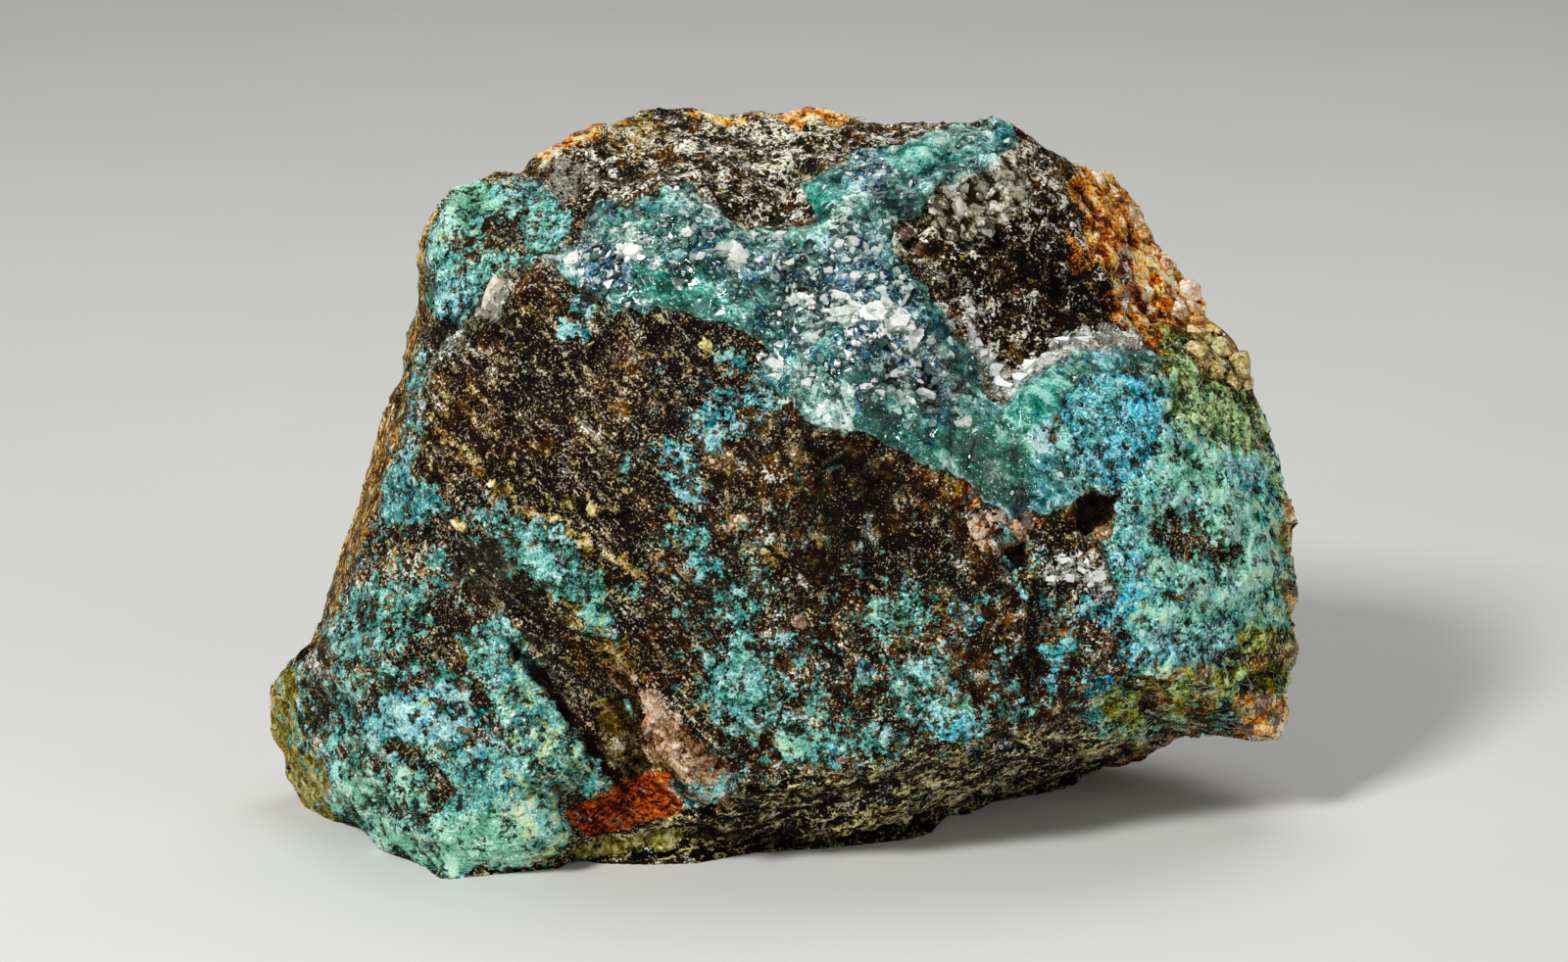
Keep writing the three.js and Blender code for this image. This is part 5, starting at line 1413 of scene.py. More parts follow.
def rim_radius(turn):
    rim = np.array(RIM)[:, :2] - HEART
    angle = np.arctan2(rim[:, 1], rim[:, 0])
    order = np.argsort(angle)
    rim, angle = rim[order], angle[order]
    k = np.searchsorted(angle, turn) % len(rim)
    a, b = rim[k - 1], rim[k]
    dx, dy = np.cos(turn), np.sin(turn)
    det = dx * (a[:, 1] - b[:, 1]) - dy * (a[:, 0] - b[:, 0])
    return (a[:, 0] * (a[:, 1] - b[:, 1]) - a[:, 1] * (a[:, 0] - b[:, 0])) / det


def place(u, v, d):
    """Upright millimetres to millimetres as the stone stands."""
    f = 1 + d / FLARE
    return np.stack([u * f + SEAT[0], v * f * SIN + d * COS + SEAT[1], v * f * COS - d * SIN + SEAT[2]], 1)


def floor_depth(v):
    """How deep a point at height v may lie before it is below the plane the stone stands on."""
    return (v * COS + SEAT[2]) / (SIN - v * COS / FLARE)


def normals_of(p, tris):
    n = np.cross(p[tris[:, 1]] - p[tris[:, 0]], p[tris[:, 2]] - p[tris[:, 0]])
    out = np.zeros_like(p)
    for k in range(3):
        for c in range(3):
            out[:, c] += np.bincount(tris[:, k], n[:, c], len(p))
    return out / np.maximum(np.linalg.norm(out, axis=1), 1e-12)[:, None]


def edges_of(tris):
    e = np.sort(np.concatenate([tris[:, [0, 1]], tris[:, [1, 2]], tris[:, [2, 0]]]), 1)
    key = e[:, 0].astype(np.int64) * (tris.max() + 1) + e[:, 1]
    _, first = np.unique(key, return_index=True)
    return e[first]


def relaxed(x, e, rounds):
    """Averages a value with its neighbours' along the edges e, a number of times."""
    n = len(x)
    deg = np.bincount(e.ravel(), minlength=n)
    for _ in range(rounds):
        s = np.stack([np.bincount(e[:, 0], x[e[:, 1], c], n) + np.bincount(e[:, 1], x[e[:, 0], c], n) for c in range(x.shape[1])], 1)
        x = 0.3 * x + 0.7 * s / deg[:, None]
    return x


FACE_D = depth_grid([tuple(p) for p in RIM + FACE], 0.55)
BACK_D = depth_grid([tuple(p) for p in RIM + BACK], 1.2)
for height, feather, outline in RELIEF:
    FACE_D = FACE_D - height * shape(outline, feather, WOBBLE)

sphere, TRIS = ball(RINGS)
turn = np.arctan2(sphere[:, 2], sphere[:, 0])
tilt = 2 * np.arctan(FRONT_SHARE * np.tan(np.arccos(np.clip(-sphere[:, 1], -1, 1)) / 2))
on_face = tilt <= math.pi / 2
t = np.where(on_face, tilt, math.pi - tilt)
share = (np.sqrt(1 - np.cos(t)) + np.sin(t)) / 2
radius = share * rim_radius(turn)
U, V = HEART[0] + radius * np.cos(turn), HEART[1] + radius * np.sin(turn)
face_d = pick(FACE_D, U, V)
D = np.where(on_face, face_d, np.maximum(pick(BACK_D, U, V), face_d + 0.2))
foot = 0.45 * np.minimum(np.where(on_face, (1 - share) * rim_radius(turn), 0.0), 3.0)  # the face rises from the ground behind its lower edge
D = np.minimum(D, floor_depth(V) - foot / (SIN - V * COS / FLARE))
P = place(U, V, D)
N = normals_of(P, TRIS)
EDGES = edges_of(TRIS)
N = relaxed(N, EDGES, 2)
N /= np.linalg.norm(N, axis=1)[:, None]

# ------------------------------------------------------------------ where everything is, at each point of the skin
past_rim = np.where(on_face, 0.0, (1 - share) * rim_radius(turn))  # how far behind the rim, in millimetres
fade = np.exp(-((past_rim / 2.6) ** 2))
base = smooth(-P[:, 2], -0.6, -0.05)  # 1 on the flat the stone stands on

warp = np.stack([fbm(P, 2.4, 3, 0.5, s) for s in (5, 9, 13)], 1)
Pw = P + 0.5 * warp
RAG = fbm(P, 1.6, 4, 0.66, 141) / 0.36
Z = {}
for name, zones in ROCK.items():
    g = pick(field([(a, max(f * 1.5, 0.5), o) for a, f, o in zones]), U, V)
    b = pick(field(BACKROCK.get(name, [])), U, V)
    v = np.where(on_face, g, np.maximum(g * fade, b * (1 - fade)))
    Z[name] = np.clip(v + RAG * (0.05 if name in ("red", "void") else 0.16) * smooth(v, 0.02, 0.3), 0, 1.2)
for name, zones in TINT.items():
    Z[name] = pick(field(zones), U, V)
for name, zones in VTINT.items():
    Z[name] = pick(field(zones), U, V)
front_crust, back_crust = field([(a, f * 1.8, o) for a, f, o in CRUST]), field(BACKCRUST)
bare = field(BARE)
G_CRUST = front_crust * (1 - bare)
Z["crust"] = np.where(on_face, pick(G_CRUST, U, V), np.maximum(pick(G_CRUST, U, V) * fade, pick(back_crust, U, V) * (1 - fade)))
G_VEIN = field([(a, f * 1.6, o) for a, f, o in VEIN], [w * 1.1 for w in WOBBLE])
Z["vein"] = pick(G_VEIN, U, V) * np.where(on_face, 1, fade)
Z["back"] = np.where(on_face, 0.0, 1 - fade)
Z["crust"] *= 1 - base * ~on_face
Z["vein"] *= 1 - base * ~on_face
Z["rim"] = np.where(on_face, smooth(share, 0.90, 0.99), fade)
Z["rind"] = Z["rind"] * (1 - 0.5 * smooth(-N[:, 0], 0.55, 0.9) * smooth(even(fbm(P, 5.0, 3, 0.55, 161)), 0.4, 0.7)) * (1 - 0.9 * smooth(P[:, 1], 2, 7))
Z["fibre"] = smooth(U, 20, 26) * smooth(-V, -16, -8) * np.where(on_face, 1, fade)
Z["wide"] = even(fbm(P, 8.0, 3, 0.55, 111))
Z["warm"] = even(fbm(P, 3.6, 4, 0.6, 117))
Z["cool"] = even(fbm(P, 3.0, 4, 0.6, 123))
Z["spot"] = even(fbm(P, 1.5, 3, 0.6, 129))

# ------------------------------------------------------------------ the broken surface
lay = np.stack([P[:, 0] * 0.35 + P[:, 2] * 0.5, P[:, 1] * 0.4, P[:, 2] * 1.0 - P[:, 0] * 0.16], 1)
grainy = np.stack([(P[:, 0] * 0.82 - P[:, 2] * 0.57) * 0.3, P[:, 1] * 0.7, P[:, 0] * 0.57 + P[:, 2] * 0.82], 1)
streak = fbm(grainy + 0.15 * warp, 1.3, 4, 0.6, 151)
rough = (
    0.5 * fbm(P, 9, 3, 0.5, 1) * (0.5 + 0.5 * Z["back"])
    + 0.9 * chips(Pw, 7.5, 0.45, 2) * (0.5 + 0.9 * Z["back"]) * (1 - 0.4 * Z["crust"])
    + 0.62 * chips(Pw, 3.4, 0.55, 3, 0.06) * (1 - 0.55 * np.minimum(1, Z["crust"] + Z["vein"]))
    + 0.13 * chips(Pw, 1.5, 0.6, 4, 0.07) * (1 - 0.6 * Z["crust"])
    + 0.05 * fbm(P, 1.0, 2, 0.6, 8)
    + 0.17 * streak * (1 - Z["vein"]) * smooth(-U, -8, 2) * (1 - 0.6 * Z["crust"])
)
core = Z["speck"] * smooth(U, 9, 13)
rough += core * (0.3 * chips(Pw, 2.4, 0.8, 21, 0.07) + 0.1)
rough += Z["smoky"] * 0.45 * chips(P, 2.0, 0.9, 22, 0.07)
rough += Z["rust"] * 0.3 * fbm(P, 1.5, 3, 0.6, 23)
layers = np.abs(perlin(np.stack([lay[:, 0] * 0.12, lay[:, 1] * 0.3, lay[:, 2]], 1) + 0.2 * warp, 1.1, 31))
rough += np.minimum(1, Z["under"]) * (0.75 * layers - 0.25 + 0.2 * fbm(P, 1.2, 3, 0.6, 35))
strips = perlin(np.stack([P[:, 0] * 1.0 + P[:, 2] * 0.38, P[:, 1], P[:, 2] * 0.05], 1) + 0.1 * warp, 0.8, 33)
rough += Z["lobe"] * 0.3 * strips
rough += Z["fibre"] * Z["crust"] * (0.32 * fbm(P, 3.6, 2, 0.5, 41) + 0.18 * chips(Pw, 2.0, 0.7, 43, 0.07))
rough *= 1 - 0.6 * np.minimum(1, Z["red"])
rough *= 1 - 0.65 * np.minimum(1, Z["rind"])
rough *= 1 - 0.35 * smooth(share, 0.93, 1.0) * smooth(-past_rim, -1.5, -0.2)
rough *= 1 - base
rough -= 0.6 * Z["void"] * smooth(fbm(P, 1.6, 3, 0.5, 45), -0.3, 0.4)
P = P + N * rough[:, None]
P[:, 2] = np.maximum(P[:, 2], 0.0)
N = normals_of(P, TRIS)
# painted shade: how far each point lies below its near and its wide neighbours, so that the colours are darker in
# creases and wide hollows and lighter on ridges
near = relaxed(P, EDGES, 5)
Z["crease_shade"] = np.clip(((near - P) * N).sum(1) * 4, -1, 1)
wide = relaxed(near, EDGES, 22)
Z["hollow_shade"] = np.clip(((wide - P) * N).sum(1) * 1.3, -1, 1)

# ------------------------------------------------------------------ meshes into the scene
RIDERS = []


def mesh(name, p, tris, attrs=None, flat=False, per_face=None):
    me = bpy.data.meshes.new(name)
    me.vertices.add(len(p))
    me.vertices.foreach_set("co", (np.asarray(p, np.float32) * 0.001).ravel())
    me.loops.add(3 * len(tris))
    me.loops.foreach_set("vertex_index", np.asarray(tris, np.int32).ravel())
    me.polygons.add(len(tris))
    me.polygons.foreach_set("loop_start", np.arange(0, 3 * len(tris), 3, dtype=np.int32))
    me.polygons.foreach_set("loop_total", np.full(len(tris), 3, np.int32))
    me.polygons.foreach_set("use_smooth", np.full(len(tris), not flat, bool))
    me.update(calc_edges=True)
    me.validate()
    for key, value in (attrs or {}).items():
        a = me.attributes.new(key, "FLOAT", "POINT")
        a.data.foreach_set("value", np.asarray(value, np.float32))
    ob = bpy.data.objects.new(name, me)
    bpy.context.scene.collection.objects.link(ob)
    RIDERS.append(ob)
    return ob


def split(tris, n):
    """Each triangle into four. Returns the pairs to average for the new points and the new triangles."""
    e = np.sort(np.stack([tris[:, [0, 1]], tris[:, [1, 2]], tris[:, [2, 0]]], 1), 2).reshape(-1, 2)
    key = e[:, 0].astype(np.int64) * n + e[:, 1]
    _, first, back = np.unique(key, return_index=True, return_inverse=True)
    mid = n + back.reshape(-1, 3)
    a, b, c = tris.T
    x, y, z = mid.T
    new = np.concatenate([np.stack(s, 1) for s in ((a, x, z), (x, b, y), (z, y, c), (x, y, z))])
    return e[first], new


def cut_out(keep_tri, fine=True):
    """The part of the skin made of the triangles kept, split finer: points, normals, triangles and values."""
    tris = TRIS[keep_tri]
    used, back = np.unique(tris, return_inverse=True)
    tris = back.reshape(-1, 3)
    p, n = P[used], N[used]
    vals = {k: v[used] for k, v in Z.items()}
    if fine:
        pairs, tris = split(tris, len(used))
        p = np.concatenate([p, p[pairs].mean(1)])
        n = np.concatenate([n, n[pairs].mean(1)])
        n /= np.linalg.norm(n, axis=1)[:, None]
        vals = {k: np.concatenate([v, v[pairs].mean(1)]) for k, v in vals.items()}
    return p, n, tris, vals


def trimmed(p, tris, vals, keep):
    """Drops the triangles with no point kept, and the points they leave."""
    tris = tris[keep[tris].any(1)]
    used, back = np.unique(tris, return_inverse=True)
    return p[used], back.reshape(-1, 3), {k: v[used] for k, v in vals.items()}, used


ROCK_KEYS = ("crust", "vein", "speck", "dim", "rust", "rind", "red", "tan", "chunk", "rim", "frost", "smoky", "grey", "void", "under", "lobe", "olive", "blue", "back", "crease_shade", "hollow_shade", "wide", "warm", "cool", "spot")
rock = mesh("rock", P, TRIS, {k: Z[k] for k in ROCK_KEYS})

# The crust: patches with ragged edges, pitted, thickest in the middle.
keep = Z["crust"][TRIS].max(1) > 0.05
p, n, tris, vals = cut_out(keep)
pieces = fbm(p, 2.7, 6, 0.63, 71) + 0.4 * fbm(p, 6.0, 2, 0.5, 77)
gap = vals["crust"] * 1.04 - even(pieces, 0.44)
q = p + 0.2 * np.stack([fbm(p, 0.7, 2, 0.5, s) for s in (3, 4, 5)], 1)
d1, d2, who, way, _, _ = cells(q, 1.0, 81)
calm = (1 - 0.75 * vals["pale"]) * (1 - 0.5 * smooth(vals["crust"], 0.85, 1.0))
pit = smooth(0.5 * _cell[who][:, 1] * calm - d1 * 0.62, -0.02, 0.05)
thick = np.clip(gap * 2.1, -0.3, 0.24)
thick = thick + (thick > 0) * 0.03 * fbm(p, 0.6, 2, 0.6, 83) + (0.03 + 0.06 * vals["fibre"]) * smooth(gap, 0, 0.3) * chips(q, 1.4, 0.6, 85, 0.08)
thick = thick - 0.42 * pit
web = 1 - np.abs(fbm(q, 1.0, 3, 0.6, 87)) / 0.36
thick += vals["fibre"] * smooth(gap, 0.05, 0.3) * 0.09 * np.clip(web, -1, 1)
thick = np.minimum(thick, 0.3 + 0.25 * vals["fibre"]) - 0.5 * smooth(vals["vein"], 0.4, 0.8)
vals["edge"] = smooth(gap, 0.0, 0.2) * (1 - pit)
top = p + n * thick[:, None]
top[:, 2] = np.maximum(top[:, 2], 0.02)
top, tris, vals, used = trimmed(top, tris, vals, thick > -0.12)
left = ~(top[:, 0] > 12)[tris].all(1)
for name, part in (("crust_left", left), ("crust_right", ~left)):
    sub = tris[part]
    used2, back = np.unique(sub, return_inverse=True)
    mesh(name, top[used2], back.reshape(-1, 3), {k: vals[k][used2] for k in ("crust", "blue", "pale", "deep", "olive", "edge", "fibre", "crease_shade", "hollow_shade", "rust", "wide", "warm", "cool", "spot")})

# The vein: smooth, glassy, standing a little proud, with stepped ledges.
keep = Z["vein"][TRIS].max(1) > 0.05
p, n, tris, vals = cut_out(keep)
gap = vals["vein"] + 0.10 * fbm(p, 1.4, 4, 0.6, 90) / 0.36 * smooth(vals["vein"], 0.02, 0.3) - 0.5
q = p + 0.3 * np.stack([fbm(p, 1.5, 2, 0.5, s) for s in (31, 32, 33)], 1)
inner = smooth(gap, 0.0, 0.3)
vals["broken"] = smooth(np.maximum(vals["vblue"], 0.8 * vals["vpale"]) + 0.45 * (vals["cool"] - 0.5) + 0.3 * (vals["spot"] - 0.5) - 0.35 * vals["vgreen"], 0.05, 0.4)
thick = 0.75 * smooth(gap, -0.25, 0.3) - 0.32 + inner * (0.28 * chips(q, 3.6, 0.5, 91, 0.05) + vals["broken"] * (0.15 * chips(p, 1.35, 0.75, 93, 0.05) + 0.06 * chips(p, 0.7, 0.7, 94, 0.06)))
thick -= 0.4 * vals["vdark"] * smooth(fbm(p, 1.8, 3, 0.5, 97), -0.1, 0.4)
vals["edge"] = smooth(gap, -0.05, 0.35)
top = p + n * thick[:, None]
top, tris, vals, used = trimmed(top, tris, vals, thick > -0.15)
mesh("vein", top, tris, {k: vals[k] for k in ("vein", "vblue", "vgreen", "vpale", "vdark", "vlow", "broken", "crease_shade", "hollow_shade", "crust", "edge", "wide", "warm", "cool", "spot")})


# ------------------------------------------------------------------ crystals, lumps, grains and fibres
def shard(rng, points, flat=1.0):
    """An irregular convex splinter with flat faces: the hull of a few points on a ball."""
    q = rng.normal(size=(points, 3))
    q /= np.linalg.norm(q, axis=1)[:, None]
    q *= rng.uniform(0.75, 1.0, (points, 1)) * (1, 1, flat)
    bm = bmesh.new()
    for c in q:
        bm.verts.new(c)
    bmesh.ops.convex_hull(bm, input=bm.verts)
    bmesh.ops.delete(bm, geom=[v for v in bm.verts if not v.link_faces], context="VERTS")
    bmesh.ops.triangulate(bm, faces=bm.faces)
    bmesh.ops.recalc_face_normals(bm, faces=bm.faces)
    bm.verts.index_update()
    p = np.array([v.co for v in bm.verts])
    t = np.array([[v.index for v in f.verts] for f in bm.faces])
    bm.free()
    return p, t


def slab(rng):
    """A cleaved splinter: a flat top, tipped a little, over sloping sides."""
    n = int(rng.integers(4, 8))
    turn = (np.arange(n) + rng.uniform(-0.3, 0.3, n)) * 2 * math.pi / n
    far = rng.uniform(0.55, 1.25, n)
    ring = np.stack([np.cos(turn) * far, np.sin(turn) * far, np.full(n, -1.0)], 1)
    tip = rng.normal(size=2) * 0.3
    top = ring * (0.78, 0.78, 0) + (*(rng.normal(size=2) * 0.1), 0.0)
    top[:, 2] = 0.8 + top[:, :2] @ tip
    p = np.concatenate([ring, top, [(0, 0, 0.86)]])
    t = []
    for i in range(n):
        j = (i + 1) % n
        t += [(i, j, n + j), (i, n + j, n + i), (n + i, n + j, 2 * n)]
        if 0 < i < n - 1:
            t.append((0, j, i))
    return p, np.array(t)


def faceted(q, t, base, rng, contrast=0.34):
    """The splinter with points of its own for each face, and a painted light and shade for each face: lighter the more
    the face looks a given way, mostly outward.
    """
    n = np.cross(q[t[:, 1]] - q[t[:, 0]], q[t[:, 2]] - q[t[:, 0]])
    n /= np.linalg.norm(n, axis=1)[:, None] + 1e-12
    # painted light: a made-up light direction for each splinter, mostly outward; faces turned to it are lighter, the
    # others shaded
    way = rng.normal(size=3) * 0.5 + (0, 0, 0.9)
    return q[t].reshape(-1, 3), np.arange(3 * len(t)).reshape(-1, 3), np.repeat(np.clip(base - 0.6 * contrast + contrast * (n @ way), 0, 1.1), 3)


def turned(rng):
    q = rng.normal(size=4)
    q /= np.linalg.norm(q)
    w, x, y, z = q
    return np.array(
        [
            (1 - 2 * (y * y + z * z), 2 * (x * y - z * w), 2 * (x * z + y * w)),
            (2 * (x * y + z * w), 1 - 2 * (x * x + z * z), 2 * (y * z - x * w)),
            (2 * (x * z - y * w), 2 * (y * z + x * w), 1 - 2 * (x * x + y * y)),
        ]
    )


face_rows = np.where(on_face & (base < 0.5))[0]
_bins = {}
for row in face_rows:
    _bins.setdefault((int(U[row] // 1), int(V[row] // 1)), []).append(row)


def spot(u, v):
    """The skin's point nearest to a place on the face."""
    best, row = 1e9, face_rows[0]
    a, b = int(u // 1), int(v // 1)
    for i in (a - 1, a, a + 1):
        for j in (b - 1, b, b + 1):
            rows = _bins.get((i, j))
            if rows:
                r = np.array(rows)
                d = (U[r] - u) ** 2 + (V[r] - v) ** 2
                k = d.argmin()
                if d[k] < best:
                    best, row = d[k], r[k]
    return row


wideN = relaxed(N, EDGES, 6)
wideN /= np.linalg.norm(wideN, axis=1)[:, None]


def frame_at(row, spin=0.0):
    n = wideN[row]
    a = np.array((1.0, 0.0, 0.0)) - n * n[0]
    a /= np.linalg.norm(a)
    b = np.cross(n, a)
    c, s = math.cos(spin), math.sin(spin)
    return np.stack([a * c + b * s, b * c - a * s, n])


class Pile:
    def __init__(self):
        self.p, self.t, self.a, self.at = [], [], [], 0

    def add(self, p, t, **values):
        self.p.append(p)
        self.t.append(t + self.at)
        self.a.append({k: np.full(len(p), v) if np.isscalar(v) else v for k, v in values.items()})
        self.at += len(p)

    def make(self, name, flat=True):
        keys = self.a[0].keys()
        p = np.concatenate(self.p)
        p[:, 2] = np.maximum(p[:, 2], 0.02)
        return mesh(name, p, np.concatenate(self.t), {k: np.concatenate([a[k] for a in self.a]) for k in keys}, flat=flat)


rng = np.random.default_rng(7)
FLAKES = [shard(rng, 12, 0.55) for _ in range(24)]
CHIPS = [shard(rng, 8, 0.8) for _ in range(32)]
BLOCKS = [shard(rng, 20, 0.9) for _ in range(24)]
SLABS = [slab(rng) for _ in range(32)]
PROUD = 0.42  # how far the vein stands above the skin

# the larger quartz crystals, each a cluster of low flakes grown into one another
white = Pile()
for u, v, w, h, spin in XTAL:
    row = spot(u, v)
    lift = PROUD * smooth(Z["vein"][row], 0.3, 0.7)
    fr = frame_at(row, math.radians(-spin))
    small = min(w, h)
    tall = h > 1.6
    big = w * h > 0.6
    snowy = Z["frost"][row] > 0.3
    for k in range(3 if tall or snowy else 5 + int(w * h * 5)):
        p, t = (BLOCKS[rng.integers(24)] if tall else SLABS[rng.integers(32)]) if k == 0 else SLABS[rng.integers(32)] if rng.random() < 0.7 else FLAKES[rng.integers(24)]
        size = rng.uniform(1.1, 1.45) if k == 0 else rng.uniform(0.3, 0.95 if big else 0.7)
        spun = rng.uniform(0, 2 * math.pi)
        c, s = math.cos(spun), math.sin(spun)
        q = (p @ turned(rng) if tall and k == 0 else p @ np.array([(c, s, 0), (-s, c, 0), (0, 0, 1)])) * size * np.array((w, h * (1.0 if tall else rng.uniform(0.6, 1.0)), (0.8 if tall else 0.45) * small))
        a, b = rng.normal(size=2) * 0.16
        q = q @ np.array([(1, 0, a), (0, 1, b), (-a, -b, 1)])
        far = np.zeros(2) if k == 0 else np.clip(rng.normal(size=2), -1.4, 1.4) * (0.55 if big else 0.8)
        q = q + (far[0] * w, far[1] * h, rng.uniform(-0.08, 0.14) * small)
        q, t, shade = faceted(q, t, rng.uniform(0.8, 1.0) if big and k < 5 or snowy or tall else rng.uniform(0.45, 0.8) if k == 0 else rng.uniform(0.0, 0.7), rng)
        white.add(P[row] + q @ fr + wideN[row] * (lift * 0.9 + 0.06), t, shade=shade, kind=1.0 if tall else 0.0)
frost_rows = np.where((Z["frost"] > 0.4) & on_face)[0]
for row in rng.choice(frost_rows, min(900, len(frost_rows)), replace=False):
    p, t = CHIPS[rng.integers(32)]
    size = 0.08 + 0.2 * rng.random() ** 2
    q = (p @ turned(rng)) * size * np.array((1, rng.uniform(0.5, 1), rng.uniform(0.5, 1)))
    white.add(P[row] + q + N[row] * 0.2 * size, t, shade=rng.uniform(0.4, 1.0), kind=0.5)
white.make("white_crystals")

# broken crystals all through the vein
glassy = Pile()
vein_rows = np.where((Z["vein"] > 0.55) & on_face)[0]
weight = np.clip(0.10 + 0.45 * Z["vpale"][vein_rows] + 0.9 * Z["vblue"][vein_rows] - 0.5 * Z["vlow"][vein_rows] - 0.5 * Z["vgreen"][vein_rows] + 0.35 * (Z["cool"][vein_rows] > 0.6), 0.01, None)
weight *= 0.3 + smooth(V[vein_rows], 3, 8)
for row in rng.choice(vein_rows, 1500, replace=False, p=weight / weight.sum()):
    size = 0.13 + 0.6 * rng.random() ** 2.6
    if rng.random() < 0.6:
        p, t = SLABS[rng.integers(32)]
        q = p * np.array((1, rng.uniform(0.5, 1.0), 0.4)) * size
    else:
        p, t = FLAKES[rng.integers(24)]
        q = (p @ turned(rng)) * size * np.array((1, rng.uniform(0.5, 1.1), rng.uniform(0.5, 1)))
    q, t, shade = faceted(q, t, rng.uniform(0.1, 0.9), rng, 0.4)
    q = q @ frame_at(row, rng.uniform(0, 6.3))
    blue = 0.10 + 0.35 * Z["vblue"][row]
    snow = 0.04 + 0.15 * Z["vpale"][row]
    r = rng.random()
    kind = 1.0 if r < blue and size < 0.3 else 0.5 if r < blue + snow else 0.0
    glassy.add(P[row] + q + wideN[row] * (PROUD - 0.05 + 0.1 * size + 0.1 * rng.random()), t, shade=shade, kind=kind, deep=Z["vdark"][row])
glassy.make("vein_crystals")

smoky = Pile()
for u, v, w, h, spin in SMOKY:
    row = spot(u, v)
    for k in range(4):
        p, t = BLOCKS[rng.integers(24)] if k == 0 else FLAKES[rng.integers(24)]
        size = rng.uniform(0.75, 1.35) if k == 0 else rng.uniform(0.3, 0.8)
        q = (p @ turned(rng)) * size * np.array((w, h * rng.uniform(0.6, 1.0), 0.5 * min(w, h)))
        a, b = rng.normal(size=2) * 0.3
        q = q @ np.array([(1, 0, a), (0, 1, b), (-a, -b, 1)])
        shift = np.zeros(3) if k == 0 else np.array((np.clip(rng.normal(), -1.3, 1.3) * 0.7 * w, np.clip(rng.normal(), -1.3, 1.3) * 0.7 * h, rng.uniform(-0.1, 0.15)))
        q, t, shade = faceted(q + shift, t, rng.uniform(0.15, 0.9), rng, 0.4)
        smoky.add(P[row] + q @ frame_at(row, rng.random() * 6) - N[row] * 0.15, t, shade=shade, kind=0.0)
smoky.make("smoky_quartz")

B8_P, B8_T = ball(7)
lumps, chunks, clear = Pile(), Pile(), Pile()
for u, v, w, h, kind in LUMPS:
    row = spot(u, v)
    fr = frame_at(row, rng.normal() * 0.4)
    if kind in (2, 4) or kind == 1 and Z["rust"][row] < 0.3:
        pile = clear if kind == 2 and u > 30 else chunks
        for k in range(4):
            p, t = FLAKES[rng.integers(24)] if k else BLOCKS[rng.integers(24)]
            size = 1.15 if k == 0 else rng.uniform(0.4, 0.75)
            q = (p @ turned(rng)) * size * np.array((w, h, (0.6 if pile is clear else 0.38) * min(w, h)))
            reach = 0.3 if pile is clear else 0.7
            shift = np.zeros(3) if k == 0 else np.array((np.clip(rng.normal() * reach, -reach, reach) * w, np.clip(rng.normal() * reach, -reach, reach) * h, 0.0))
            q, t, shade = faceted(q + shift, t, rng.uniform(0.2, 0.7 if kind == 1 else 1.0), rng, 0.3)
            pile.add(P[row] + q @ fr + N[row] * (0.18 if pile is clear else -0.12) * min(w, h), t, shade=shade, kind=kind / 5)
        continue
    q = B8_P @ turned(rng)
    for _ in range(9):
        axis = rng.normal(size=3)
        axis /= np.linalg.norm(axis)
        q = q - 0.85 * np.maximum(q @ axis - rng.uniform(0.45, 0.8), 0)[:, None] * axis
    q = q * (1 + 0.22 * fbm(q + 7 * u, 1.1, 4, 0.6, 3))[:, None] * np.array((w, h, 0.8 * min(w, h))) * 1.28
    lumps.add(P[row] + q @ fr - N[row] * (0.52 if kind == 1 else 0.4) * min(w, h), B8_T, shade=rng.random(), kind=kind / 5)
lumps.make("rim_lumps", flat=False)
chunks.make("pale_chunks")
clear.make("yellow_quartz")

# mineral grains over the bare rock, thickest where it is speckled
density = 0.22 + 0.9 * np.minimum(1, Z["speck"]) + 0.6 * np.minimum(1, Z["under"]) + 0.4 * Z["rust"] + 0.2 * Z["tan"] + 0.25 * Z["back"]
density *= (1 - 0.97 * smooth(Z["crust"], 0.2, 0.7)) * (1 - smooth(Z["vein"], 0.1, 0.4)) * (1 - np.minimum(1, Z["red"])) * (1 - 0.7 * np.minimum(1, Z["void"])) * (base < 0.3)
area = np.zeros(len(P))
tri_area = np.linalg.norm(np.cross(P[TRIS[:, 1]] - P[TRIS[:, 0]], P[TRIS[:, 2]] - P[TRIS[:, 0]]), axis=1) / 2
for k in range(3):
    area += np.bincount(TRIS[:, k], tri_area / 3, len(P))
weight = density * area
COUNT = 8500
rows = rng.choice(len(P), COUNT, replace=False, p=weight / weight.sum())
grains = Pile()
for row in rows:
    p, t = CHIPS[rng.integers(32)]
    size = 0.08 + 0.16 * rng.random() ** 2.5
    q = (p @ turned(rng)) * size * np.array((1, rng.uniform(0.5, 1.0), rng.uniform(0.4, 1)))
    grains.add(P[row] + q - N[row] * size * 0.15, t, row=float(row), shade=rng.random())
which = np.concatenate([a["row"] for a in grains.a]).astype(int)
shades = np.concatenate([a["shade"] for a in grains.a])
p = np.concatenate(grains.p)
p[:, 2] = np.maximum(p[:, 2], 0.02)
mesh("grains", p, np.concatenate(grains.t), {"shade": shades, **{k: Z[k][which] for k in ("speck", "dim", "rust", "rind", "under", "tan", "back", "olive", "hollow_shade", "warm")}}, flat=True)

